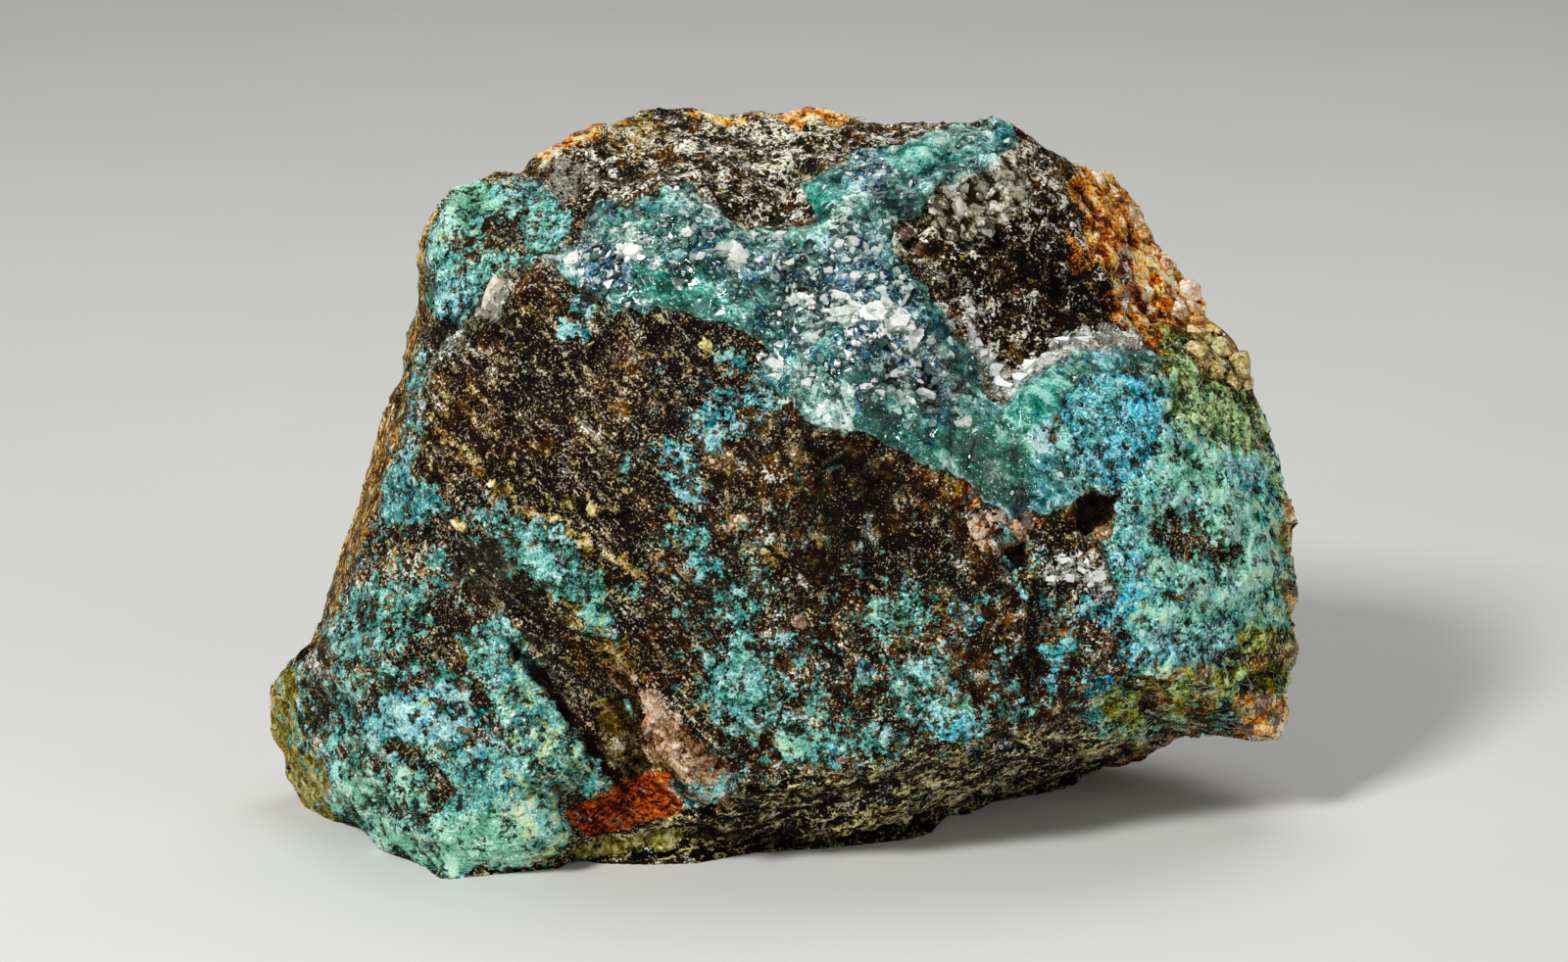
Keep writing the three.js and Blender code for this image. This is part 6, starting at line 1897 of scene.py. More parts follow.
# fibres: thin curved needles lying on the right-hand crust
fib_w = Z["fibre"] * smooth(Z["crust"], 0.4, 0.8) * on_face * area * (1 - 0.6 * Z["olive"]) * (0.3 + 0.7 * smooth(Z["cool"], 0.4, 0.7))
COUNT = 900
rows = rng.choice(len(P), COUNT, replace=False, p=fib_w / fib_w.sum())
SEGS = 6
turn_at = perlin(P[rows], 4.0, 51) * 5.0
fp, ft, fs = [], [], []
ring = np.array([(0, 1, 0), (0, -0.5, 0.87), (0, -0.5, -0.87)])
for k, row in enumerate(rows):
    long = rng.uniform(0.5, 1.5)
    bend = rng.uniform(-0.6, 0.6) / long
    s = np.linspace(-0.5, 0.5, SEGS) * long
    line = np.stack([s, bend * s * s + 0.06 * np.sin(s * 3 + k), 0.24 + 0.05 * np.cos(s * 2.2 + rng.uniform(0, 6))], 1)
    wid = rng.uniform(0.014, 0.03) * np.array((0.35, 0.8, 1.0, 1.0, 0.8, 0.35))
    q = (line[:, None, :] + ring[None] * wid[:, None, None]).reshape(-1, 3)
    fp.append(P[row] + q @ frame_at(row, turn_at[k] + rng.normal() * 0.9))
    at = k * SEGS * 3
    for i in range(SEGS - 1):
        for j in range(3):
            a, b = at + 3 * i + j, at + 3 * i + (j + 1) % 3
            ft.append((a, a + 3, b))
            ft.append((b, a + 3, b + 3))
    e = at + 3 * (SEGS - 1)
    ft += [(at, at + 1, at + 2), (e + 2, e + 1, e)]
    fs.append(np.full(SEGS * 3, rng.random()))
mesh("fibres", np.concatenate(fp), np.array(ft), {"shade": np.concatenate(fs)})
for ob in RIDERS:
    print("TRIS", ob.name, len(ob.data.polygons))


# ------------------------------------------------------------------ materials
def hexc(s):
    c = [int(s[i : i + 2], 16) / 255 for i in (0, 2, 4)]
    return tuple(x / 12.92 if x <= 0.04045 else ((x + 0.055) / 1.055) ** 2.4 for x in c) + (1.0,)


class Tree:
    """A material's node tree, with short ways to add what the stone's materials are made of. Sizes are in millimetres."""

    def __init__(self, name):
        self.mat = bpy.data.materials.new(name)
        self.mat.use_nodes = True
        self.nt = self.mat.node_tree
        self.nt.nodes.clear()
        self.out = self.nt.nodes.new("ShaderNodeOutputMaterial")
        self.bsdf = self.nt.nodes.new("ShaderNodeBsdfPrincipled")
        self.nt.links.new(self.bsdf.outputs[0], self.out.inputs[0])
        self.known = {}
        self.mm = self.vec("SCALE", self.nt.nodes.new("ShaderNodeTexCoord").outputs["Object"], scale=1000.0)

    def put(self, socket, value):
        if isinstance(value, bpy.types.NodeSocket):
            self.nt.links.new(value, socket)
        elif value is not None:
            socket.default_value = value

    def new(self, kind, **props):
        n = self.nt.nodes.new(kind)
        for k, v in props.items():
            setattr(n, k, v)
        return n

    def vec(self, op, a, b=None, scale=None):
        n = self.new("ShaderNodeVectorMath", operation=op)
        self.put(n.inputs[0], a)
        if b is not None:
            self.put(n.inputs[1], b)
        if scale is not None:
            self.put(n.inputs["Scale"], scale)
        return n.outputs["Value"] if op == "DOT_PRODUCT" else n.outputs[0]

    def m(self, op, a, b=None):
        n = self.new("ShaderNodeMath", operation=op)
        self.put(n.inputs[0], a)
        if b is not None:
            self.put(n.inputs[1], b)
        return n.outputs[0]

    def add(self, *terms):
        """The sum of terms, each a value or a pair (value, factor)."""
        total = None
        for term in terms:
            x = self.m("MULTIPLY", *term) if isinstance(term, tuple) else term
            total = x if total is None else self.m("ADD", total, x)
        return total

    def attr(self, name):
        if name not in self.known:
            self.known[name] = self.new("ShaderNodeAttribute", attribute_name=name).outputs["Fac"]
        return self.known[name]

    def noise(self, size, detail=3.0, rough=0.55, at=None, offset=None, colour=False, twist=0.0):
        n = self.new("ShaderNodeTexNoise")
        src = at or self.mm
        if offset is not None:
            src = self.vec("ADD", src, offset)
        self.put(n.inputs["Vector"], src)
        n.inputs["Scale"].default_value = 1.0 / size
        n.inputs["Detail"].default_value = detail
        n.inputs["Roughness"].default_value = rough
        n.inputs["Distortion"].default_value = twist
        return n.outputs["Color"] if colour else n.outputs["Fac"]

    def unit(self, size, detail, rough, **more):
        """Noise with a mean of 0 and a spread of 1."""
        spread = 0.0875 - 0.005 * detail + 0.05 * (0.6 - rough)
        return self.m("MULTIPLY", self.m("SUBTRACT", self.noise(size, detail, rough, **more), 0.5), 1 / spread)

    def level(self, x):
        """A random number between 0 and 1 given a mean of 0 and a spread of 1."""
        return self.m("MULTIPLY", self.m("SUBTRACT", x, 0.5), 3.464)

    def tone(self, z):
        """A value with a mean of 0 and a spread of 1, turned into an even share between 0 and 1."""
        return self.rng(z, -1.9, 1.9)

    def fleck(self, z, z0, sharp=0.1):
        """Crisp flecks where a value rises above z0."""
        return self.rng(z, z0 - sharp, z0 + sharp)

    def cell(self, size, at=None):
        """Distance to the nearest seed, and three random numbers of the cell with their colour."""
        n = self.new("ShaderNodeTexVoronoi", feature="F1")
        self.put(n.inputs["Vector"], at or self.mm)
        n.inputs["Scale"].default_value = 1.0 / size
        sep = self.new("ShaderNodeSeparateColor")
        self.nt.links.new(n.outputs["Color"], sep.inputs[0])
        return n.outputs["Distance"], sep.outputs[0], sep.outputs[1], n.outputs["Color"]

    def border(self, size, at=None):
        n = self.new("ShaderNodeTexVoronoi", feature="DISTANCE_TO_EDGE")
        self.put(n.inputs["Vector"], at or self.mm)
        n.inputs["Scale"].default_value = 1.0 / size
        return n.outputs["Distance"]

    def shaken(self, size, amount, offset=(0.0, 0.0, 0.0)):
        """Coordinates pushed about by noise, so that cells lose their regular edges."""
        n = self.noise(size, 2.0, 0.5, offset=offset, colour=True)
        return self.vec("ADD", self.mm, self.vec("SCALE", self.vec("SUBTRACT", n, (0.5, 0.5, 0.5)), scale=amount))

    def along(self, direction, squeeze, deep=1.0, shake=1.3):
        """Coordinates drawn out along a direction in the plane of the face, and into the stone."""
        dx, dz = direction
        c = self.new("ShaderNodeCombineXYZ")
        src = self.shaken(1.4, shake, (7.0, 3.0, 1.0))
        self.put(c.inputs[0], self.m("MULTIPLY", self.vec("DOT_PRODUCT", src, (dx, 0.0, dz)), squeeze))
        self.put(c.inputs[1], self.vec("DOT_PRODUCT", src, (0.0, deep, 0.0)))
        self.put(c.inputs[2], self.vec("DOT_PRODUCT", src, (-dz, 0.0, dx)))
        return c.outputs[0]

    def ramp(self, fac, stops, kind="LINEAR"):
        n = self.new("ShaderNodeValToRGB")
        n.color_ramp.interpolation = kind
        els = n.color_ramp.elements
        while len(els) > 1:
            els.remove(els[-1])
        for i, (at, col) in enumerate(stops):
            e = els[0] if i == 0 else els.new(at)
            e.position = at
            e.color = hexc(col) if isinstance(col, str) else (col, col, col, 1)
        self.put(n.inputs[0], fac)
        return n.outputs["Color"]

    def five(self, fac, cols):
        return self.ramp(fac, list(zip((0.05, 0.23, 0.5, 0.77, 0.95), cols.split())))

    def mix(self, fac, a, b, blend="MIX"):
        n = self.new("ShaderNodeMix", data_type="RGBA", blend_type=blend, clamp_factor=True)
        self.put(n.inputs[0], fac)
        self.put(n.inputs[6], hexc(a) if isinstance(a, str) else a)
        self.put(n.inputs[7], hexc(b) if isinstance(b, str) else b)
        return n.outputs[2]

    def richer(self, colour, amount):
        n = self.new("ShaderNodeHueSaturation")
        n.inputs["Saturation"].default_value = amount
        self.put(n.inputs["Color"], colour)
        return n.outputs[0]

    def rng(self, x, a, b, c=0.0, d=1.0, smoothed=True):
        n = self.new("ShaderNodeMapRange", interpolation_type="SMOOTHSTEP" if smoothed else "LINEAR")
        for i, v in enumerate((x, a, b, c, d)):
            self.put(n.inputs[i], v)
        return n.outputs[0]

    def bump(self, height, distance, strength=1.0, normal=None):
        n = self.new("ShaderNodeBump")
        n.inputs["Strength"].default_value = strength
        n.inputs["Distance"].default_value = distance * 0.001
        self.put(n.inputs["Height"], height)
        if normal is not None:
            self.put(n.inputs["Normal"], normal)
        return n.outputs[0]

    def tilted(self, cellcolour, amount):
        """The surface's normal tipped a random way in each cell, as small flat faces are."""
        geo = self.new("ShaderNodeNewGeometry").outputs["Normal"]
        way = self.vec("SCALE", self.vec("SUBTRACT", cellcolour, (0.5, 0.5, 0.5)), scale=amount)
        return self.vec("NORMALIZE", self.vec("ADD", geo, way))

    def set(self, **values):
        for k, v in values.items():
            self.put(self.bsdf.inputs[k.replace("_", " ")], v)
        return self.mat


def rock_material():
    t = Tree("broken_rock")
    d_cell, r_cell, q_cell, c_cell = t.cell(0.32, t.shaken(0.4, 0.3))
    rn, qn = t.level(r_cell), t.level(q_cell)
    left = t.m("MULTIPLY", t.rng(t.vec("DOT_PRODUCT", t.mm, (1.0, 0.0, 0.0)), 2.0, -10.0), t.m("SUBTRACT", 1.0, t.attr("back")))
    fabric = t.along((0.72, -0.69), 0.15, 0.2, 0.5)
    clast_d, clast_r, clast_q, _ = t.cell(2.1, t.shaken(1.1, 2.2, (5.0, 1.0, 4.0)))
    torn = t.shaken(0.5, 0.55, (2.0, 8.0, 4.0))
    _, grain_r, grain_q, _ = t.cell(0.62, torn)
    _, long_r, long_q, _ = t.cell(0.42, fabric)
    _, mid_r, mid_q, _ = t.cell(1.15, torn)
    lean = t.m("MULTIPLY", left, 0.8)
    grain = t.add(t.level(grain_r), (t.m("MULTIPLY", t.m("SUBTRACT", long_r, grain_r), lean), 3.464))
    grain2 = t.add(t.level(grain_q), (t.m("MULTIPLY", t.m("SUBTRACT", long_q, grain_q), lean), 3.464))

    def leaning(plain, drawn):
        return t.add(plain, (t.m("MULTIPLY", t.add(drawn, (plain, -1.0)), left), 0.85))

    coarse = leaning(t.unit(1.7, 5.0, 0.70), t.unit(0.75, 4.0, 0.66, at=fabric))
    fine = t.unit(0.27, 2.0, 0.7, offset=(9.0, 4.0, 2.0))
    grit = leaning(t.unit(0.42, 3.0, 0.66, offset=(2.0, 6.0, 8.0)), t.unit(0.36, 3.0, 0.66, at=fabric, offset=(5.0, 2.0, 1.0)))
    grit2 = t.unit(0.40, 3.0, 0.66, offset=(7.0, 1.0, 3.0))
    small = t.unit(0.2, 1.0, 0.6, offset=(2.0, 2.0, 9.0))
    # painted shade: the crease and hollow measures darken every tone below in creases and wide hollows and lighten it
    # on ridges; the shade sum also darkens the dim zones
    crease_shade, hollow_shade, dim = t.attr("crease_shade"), t.attr("hollow_shade"), t.attr("dim")
    wide, warm, cool, spot = (t.attr(k) for k in ("wide", "warm", "cool", "spot"))
    shade = t.add((crease_shade, -0.7), (hollow_shade, -0.6), (dim, -0.8))
    cluster = t.unit(2.8, 3.0, 0.6, offset=(1.0, 7.0, 3.0))
    cluster2 = t.unit(2.2, 3.0, 0.6, offset=(8.0, 2.0, 6.0))
    tone = t.tone(t.add((coarse, 0.48), (fine, 0.22), (rn, 0.1), (grain, 0.32), (t.level(mid_r), 0.36), (t.level(clast_r), 0.5), (cluster, 0.2), shade, (left, -0.72), (t.m("SUBTRACT", wide, 0.5), 1.1), -0.85))
    dark = t.five(tone, "1a0b04 311b0b 4a321d 655038 9a8a70")
    dark = t.mix(t.rng(wide, 0.6, 0.35), dark, t.five(tone, "0a0301 1b1005 30230f 4d4024 857a52"))
    dark = t.mix(t.m("MULTIPLY", t.rng(t.add(warm, (fine, 0.07)), 0.55, 0.85), 0.8), dark, t.five(tone, "1a0802 3c2009 633f19 8c6432 c09b62"))
    dark = t.mix(t.m("MULTIPLY", t.rng(t.add(cool, (fine, 0.07)), 0.6, 0.85), 0.5), dark, t.five(tone, "11120a 2a2c1c 4a4c35 6c6f54 a4a888"))
    reds = t.rng(t.add((t.level(clast_q), 0.25), (t.level(spot), 0.2), (fine, 0.08)), 0.5, 0.7)
    dark = t.mix(t.m("MULTIPLY", reds, 0.6), dark, t.five(tone, "200a04 45200f 6b3a20 91583a bf9270"))
    light = t.add((grain2, 0.62), (grit, 0.3), (fine, 0.25), (qn, 0.2), (cluster, 0.75), (coarse, 0.35), (dim, -0.9), (hollow_shade, -0.4), (crease_shade, -0.4))
    bands = t.fleck(t.add((t.unit(0.5, 3.0, 0.6, at=fabric, offset=(9.0, 0.0, 3.0)), 0.75), (t.unit(2.4, 3.0, 0.6, offset=(3.0, 0.0, 1.0)), 0.5), (fine, 0.3), (grit, 0.25)), 1.75)
    dark = t.mix(t.m("MULTIPLY", t.m("MULTIPLY", bands, left), 0.85), dark, t.five(t.tone(t.add(fine, (rn, 0.6))), "584a2e 806e4e a69678 c9bc9c e8dfca"))
    dark = t.mix(t.m("MULTIPLY", t.fleck(light, 1.8), 0.68), dark, t.five(t.tone(t.add(fine, (rn, 0.6))), "3e2d1a 634e33 8a765a b2a284 dacfb6"))
    dark = t.mix(t.m("MULTIPLY", t.fleck(t.add(small, (qn, 0.3), (cluster2, 0.5), (dim, -0.4)), 2.05), 0.8), dark, "d8ccb0")
    dark = t.mix(t.m("MULTIPLY", t.fleck(t.add((grit2, 0.5), (t.level(mid_q), 0.35), (grain, -0.3), (rn, 0.2), (cluster2, 0.5), (coarse, -0.2), (crease_shade, 0.4)), 1.0), 0.72), dark, "130904")

    def zone(name, low=0.36, high=0.54, push=0.13):
        return t.rng(t.add(t.attr(name), (fine, push)), low, high)

    # black and white speckle
    flat = t.unit(0.44, 3.0, 0.68, at=t.along((0.97, 0.2), 0.8), offset=(3.0, 3.0, 5.0))
    lift = t.add((coarse, 0.35), (flat, 0.5), (t.level(grain_r), 0.5), (fine, 0.3), (qn, 0.25), (cluster, 0.45), (t.level(wide), 0.2), (crease_shade, -0.6), (hollow_shade, -0.3), (dim, -2.0))
    ground = t.five(t.tone(t.add((coarse, 0.6), (fine, 0.6), (rn, 0.3), (dim, -1.8))), "060201 150b04 2a1f0c 4a3e25 776c4c")
    ground = t.mix(t.m("MULTIPLY", t.rng(t.add(warm, (coarse, 0.07), (dim, -0.12)), 0.55, 0.72), 0.6), ground, t.five(t.tone(t.add((coarse, 0.6), (fine, 0.6), (dim, -1.4))), "180803 381a0a 603418 8a5c34 b89468"))
    speck = t.mix(t.fleck(lift, 0.33), ground, t.five(t.tone(t.add((fine, 0.6), (rn, 0.6))), "5c543e 7e765c 9c957b bab49c d6d1bd"))
    speck = t.mix(t.fleck(lift, 0.63), speck, t.five(t.tone(t.add((fine, 0.6), (rn, 0.6))), "c0b9a0 dcd6c0 f0ecdc fffdf2 ffffff"))
    speck = t.mix(t.m("MULTIPLY", t.fleck(t.add((grit2, 0.55), (t.level(grain_q), 0.5), (rn, 0.35), (cluster2, 0.5)), 0.85), 0.94), speck, "090402")
    col = t.mix(zone("speck", 0.42, 0.62), dark, speck)
    col = t.mix(t.m("MULTIPLY", zone("grey"), 0.8), col, t.five(tone, "1d1e17 3a3b31 5a5d50 80836f b0b3a4"))
    # rust: deep brown, orange and pale gold
    rz = t.add((coarse, 0.6), (fine, 0.42), (rn, 0.25), (crease_shade, -0.7), (hollow_shade, -0.5))
    rtone = t.tone(rz)
    patch = t.tone(t.add((t.unit(2.6, 4.0, 0.66, offset=(3.0, 1.0, 6.0)), 0.8), (coarse, 0.3), (t.level(spot), 0.3), (t.attr("rim"), 1.5), -0.15))
    rust = t.mix(t.rng(patch, 0.15, 0.35), t.five(rtone, "180501 481403 7a2c06 aa4c10 d4802e"), t.five(rtone, "340d02 8c3404 ca5c0c ee8826 fcc472"))
    rust = t.mix(t.rng(patch, 0.45, 0.7), rust, t.five(rtone, "662604 c25e0c ee8c22 fcbc60 ffe8bc"))
    rust = t.mix(t.rng(patch, 0.76, 0.95), rust, t.five(rtone, "8c4a14 d8984a f6d088 fdeabc fff8e6"))
    rust = t.mix(t.m("MULTIPLY", t.fleck(t.add((grit2, 0.85), (rn, 0.4), (patch, -0.8)), 0.85), 0.85), rust, "2a0e03")
    rust = t.mix(t.m("MULTIPLY", t.fleck(t.add((grit, 0.85), (qn, 0.4), (patch, 0.9)), 2.05), 0.85), rust, "fbe4b4")
    col = t.mix(zone("rust"), col, rust)
    # the weathered rind along the left edge, striped along its length
    sz = t.unit(0.6, 4.0, 0.68, at=t.along((0.27, 0.96), 0.3))
    strip = t.tone(t.add((sz, 0.65), (coarse, 0.3), (fine, 0.45), (rn, 0.25), (crease_shade, -0.6), (hollow_shade, -0.4)))
    rind = t.ramp(strip, [(0.05, "140802"), (0.25, "482a06"), (0.5, "704410"), (0.7, "a07022"), (0.85, "caa25c"), (0.96, "f8e6b8")])
    col = t.mix(zone("rind"), col, rind)
    tan = t.rng(t.add(t.attr("tan"), (fine, 0.12), (t.unit(0.9, 4.0, 0.7, offset=(1.0, 5.0, 1.0)), 0.30)), 0.56, 0.66)
    col = t.mix(t.m("MULTIPLY", tan, 0.9), col, t.five(rtone, "30200e 6c5632 9c855a c8b484 f2e8c4"))
    # the lower edge: cream flecks in layers on black
    lay = t.unit(0.55, 4.0, 0.68, at=t.along((0.97, 0.24), 0.2, 0.4))
    lz = t.add((lay, 0.75), (fine, 0.25), (rn, 0.25), (t.level(warm), 0.35), (crease_shade, -0.6), (hollow_shade, -0.5), (dim, -0.9), -0.35)
    ltone = t.tone(lz)
    bands = t.ramp(ltone, [(0.05, "060200"), (0.30, "150a03"), (0.50, "30210c"), (0.66, "6e5e36"), (0.80, "b4a774"), (0.94, "f4ebc2")])
    bands = t.mix(t.fleck(t.add((lz, 0.5), (grit, 0.6), (qn, 0.4), -0.15), 0.54), bands, t.five(t.tone(t.add(fine, (rn, 0.5))), "98895a beb080 ded29e f4eac4 fffce0"))
    bands = t.mix(t.m("MULTIPLY", t.fleck(t.add((grit2, 0.8), (lz, -0.4), (rn, 0.3)), 0.75), 0.94), bands, "060201")
    col = t.mix(zone("under"), col, bands)
    lobe = t.ramp(t.tone(t.add((sz, 0.55), (coarse, 0.3), (fine, 0.2), (crease_shade, -0.3))), [(0.05, "3e2e0c"), (0.25, "685c2e"), (0.5, "8a8454"), (0.75, "a6a274"), (0.95, "c8c49a")])
    col = t.mix(zone("lobe"), col, lobe)
    hair = t.unit(0.35, 3.0, 0.66, at=t.along((0.94, 0.34), 0.25))
    red = t.five(t.tone(t.add((hair, 0.7), (coarse, 0.45), (fine, 0.35), (crease_shade, -0.6), (hollow_shade, -0.6), -0.2)), "300802 842408 b4461a cc6a36 e49e70")
    col = t.mix(t.rng(t.add(t.attr("red"), (coarse, 0.06), (fine, 0.03)), 0.46, 0.52), col, red)
    chunk = t.rng(t.add(t.attr("chunk"), (coarse, 0.10), (fine, 0.05)), 0.42, 0.52)
    col = t.mix(t.m("MULTIPLY", chunk, 0.92), col, t.five(t.tone(t.add((coarse, 0.75), (fine, 0.4), (rn, 0.3), (crease_shade, -0.7), (hollow_shade, -0.5))), "2c1a10 5e4534 8e7058 b0927a dfccb6"))
    col = t.mix(t.m("MULTIPLY", zone("smoky"), 0.8), col, t.five(tone, "221a0e 605c44 989780 ccccb8 f6f6ea"))
    # snow: white quartz dust
    snow = t.rng(t.add(t.attr("frost"), (fine, 0.16), (coarse, 0.14)), 0.32, 0.46)
    col = t.mix(snow, col, t.five(tone, "8a877a bcbab0 e0e0d8 f4f4f0 ffffff"))
    # the brown weathered back
    backz = t.m("MULTIPLY", t.attr("back"), t.rng(t.add(warm, (fine, 0.08)), 0.35, 0.7))
    col = t.mix(t.m("MULTIPLY", backz, 0.75), col, t.five(rtone, "1e1006 44290f 6f4a24 9c7440 cdb080"))
    # thin turquoise film round the crust
    film = t.rng(t.add((t.attr("crust"), 2.4), (t.unit(1.2, 5.0, 0.76, offset=(4.0, 4.0, 1.0)), 0.85), (fine, 0.15), (crease_shade, -0.3)), 1.78, 1.88)
    ftone = t.tone(t.add((coarse, 0.5), (fine, 0.4), (crease_shade, -0.6), -0.1))
    filmcol = t.mix(t.rng(t.add(t.attr("blue"), (coarse, 0.15)), 0.3, 0.6), t.five(ftone, "223e38 48746a 70a096 98c4ba c8ece4"), t.five(ftone, "1c4448 44868e 76b8be a4d8da d4f4f2"))
    filmcol = t.mix(t.rng(t.add(t.attr("olive"), (coarse, 0.1)), 0.3, 0.5), filmcol, t.five(ftone, "1c1a04 44420e 72702a 9c9a4c cccc88"))
    col = t.mix(t.m("MULTIPLY", film, t.rng(t.attr("crust"), 0.02, 0.10)), col, filmcol)
    wash = t.rng(t.add(t.attr("vein"), (coarse, 0.07)), 0.08, 0.5)
    col = t.mix(t.m("MULTIPLY", wash, 0.75), col, t.five(tone, "16241f 314a40 53766a 80a296 bcd8ce"))
    # painted shade: near-black in cracks and sunken places, then dark pits
    recess_shade_mask = t.rng(t.add(t.attr("void"), (fine, 0.12)), 0.35, 0.65)
    col = t.mix(t.m("MULTIPLY", recess_shade_mask, 0.93), col, "060201")
    pits = t.rng(t.add(t.unit(0.9, 5.0, 0.76, offset=(8.0, 8.0, 2.0)), (crease_shade, 0.5), (t.attr("lobe"), -1.0)), 1.3, 1.42)
    col = t.mix(t.m("MULTIPLY", pits, 0.85), col, "0b0502")
    # painted shade: near-black in the deep hollows
    col = t.mix(t.rng(hollow_shade, 0.1, 0.9, 0.0, 0.5), col, "080401")
    nrm = t.bump(t.noise(0.3, 3.0, 0.7, offset=(5.0, 5.0, 5.0)), 0.15, 0.9, t.tilted(c_cell, 0.45))
    t.set(Base_Color=t.richer(col, 1.32), Roughness=t.rng(r_cell, 0.0, 1.0, 0.8, 0.4, False), Normal=nrm)
    t.bsdf.inputs["Specular IOR Level"].default_value = 0.07
    return t.mat


def crust_material(name, right):
    t = Tree(name)
    d_cell, r_cell, q_cell, c_cell = t.cell(0.32, t.shaken(0.4, 0.4))
    rn, qn = t.level(r_cell), t.level(q_cell)
    coarse = t.unit(1.8, 5.0, 0.64, offset=(6.0, 2.0, 1.0))
    fine = t.unit(0.26, 2.0, 0.7, offset=(1.0, 2.0, 3.0))
    grit = t.unit(0.42, 3.0, 0.66, offset=(2.0, 6.0, 8.0))
    grit2 = t.unit(0.40, 3.0, 0.66, offset=(7.0, 1.0, 3.0))
    # painted shade: the crease and hollow measures darken the crust's tones in creases and wide hollows and lighten
    # them on ridges
    crease_shade, hollow_shade, edge, cover = (t.attr(k) for k in ("crease_shade", "hollow_shade", "edge", "crust"))
    wide, warm, cool, spot = (t.attr(k) for k in ("wide", "warm", "cool", "spot"))
    # threads: thin lines where a noise crosses its middle
    thread = t.m("ABSOLUTE", t.unit(0.75, 3.0, 0.6, at=t.shaken(1.0, 1.5, (3.0, 3.0, 3.0))))
    thread2 = t.m("ABSOLUTE", t.unit(0.85, 4.0, 0.66, at=t.shaken(1.6, 2.4, (6.0, 1.0, 2.0)), offset=(4.0, 1.0, 9.0)))
    lines = t.m("MULTIPLY", t.m("MAXIMUM", t.rng(thread, 0.22, 0.0), t.rng(thread2, 0.2, 0.0)), t.m("SUBTRACT", 1.0, (t.attr("olive"))))
    cluster = t.unit(2.4, 3.0, 0.6, offset=(2.0, 7.0, 3.0))
    cluster2 = t.unit(2.0, 3.0, 0.6, offset=(8.0, 5.0, 6.0))
    tone = t.tone(t.add((coarse, 0.40 if right else 0.30), (fine, 0.38), (rn, 0.08), (t.attr("pale"), 0.2), (lines, 0.9 if right else 0.3), (crease_shade, -0.8), (hollow_shade, -0.4), (edge, 0.4), 0.02 if right else -0.12))
    turq = t.five(tone, "12403a 35786c 5eaa9c 8ad0c4 c4f2ea")
    blue = t.five(tone, "083a46 187488 38a2b6 64ccdc aaf0f6" if right else "1c3c3c 4a807e 7ab0ac a2d0cc d2f0ec")
    sky = t.five(tone, "063242 10688a 249abe 50c6e0 aeeef8" if right else "1a4450 448c98 7cbcc4 a8dade d6f4f4")
    pale = t.five(tone, "2a5c44 559476 78b896 94d0ac c6eed6")
    deep = t.five(tone, "0a2e30 1e5c5c 3a8080 5ca6a0 92d0c8")
    olive = t.five(tone, "1a2808 40561e 6a8a44 9cb870 d2e6b0")

    def zone(key, low=0.32, high=0.58, push=0.17):
        return t.rng(t.add(t.attr(key), (coarse, push)), low, high)

    col = t.mix(t.rng(t.add(cool, (coarse, 0.12)), 0.55, 0.85), turq, blue)
    col = t.mix(t.m("MULTIPLY", t.rng(warm, 0.65, 0.85), 0.6), col, pale)
    col = t.mix(zone("blue"), col, t.mix(t.rng(spot, 0.35, 0.7), blue, sky))
    col = t.mix(t.m("MULTIPLY", zone("deep"), 0.85), col, deep)
    col = t.mix(t.m("MULTIPLY", zone("pale"), 0.9), col, pale)
    col = t.mix(t.m("MULTIPLY", zone("olive"), 0.88), col, olive)
    below = t.rng(t.vec("DOT_PRODUCT", t.mm, (0.0, 0.0, 1.0)), 30.0, 22.0)
    gold = t.rng(t.add((t.attr("olive"), 0.9), (t.m("MULTIPLY", below, t.attr("olive")), 0.5), (t.level(spot), 0.25), (grit, 0.35), (fine, 0.2)), 1.1, 1.25)
    col = t.mix(t.m("MULTIPLY", gold, 0.8), col, t.five(tone, "322c04 6a5e0e 9e9224 c8bc48 ece48e"))
    if right:
        col = t.mix(t.m("MULTIPLY", t.m("MULTIPLY", lines, t.rng(fine, -0.8, 0.4)), 0.75), col, "d0f4f2")
    lace = t.fleck(t.add((grit, 0.7), (fine, 0.3), (cluster, 0.6), (lines, 0.8 if right else 0.2), (crease_shade, -0.6), (edge, 0.3), (t.attr("olive"), -0.3), (t.attr("pale"), -0.4), (t.attr("blue"), -0.25)), 0.68 if right else 1.5)
    col = t.mix(t.m("MULTIPLY", lace, 0.8), col, t.mix(t.attr("olive"), t.mix(t.attr("blue"), t.five(t.tone(t.add(fine, (rn, 0.5))), "8cccd0 aae0e2 c6eef0 dcf7f7 f6fffe"), t.five(t.tone(t.add(fine, (rn, 0.5))), "58bccc 7cd0de a0e2ea c4f2f4 ecfeff")), "dce6a8"))
    shadow = t.fleck(t.add((grit2, 0.75), (cluster2, 0.65), (rn, 0.2), (crease_shade, 0.5), (t.attr("olive"), 0.3), (t.attr("pale"), -0.3)), 1.15 if right else 1.4)
    col = t.mix(t.m("MULTIPLY", shadow, 0.82 if right else 0.65), col, t.mix(t.attr("olive"), "0f3836", "1e2806"))
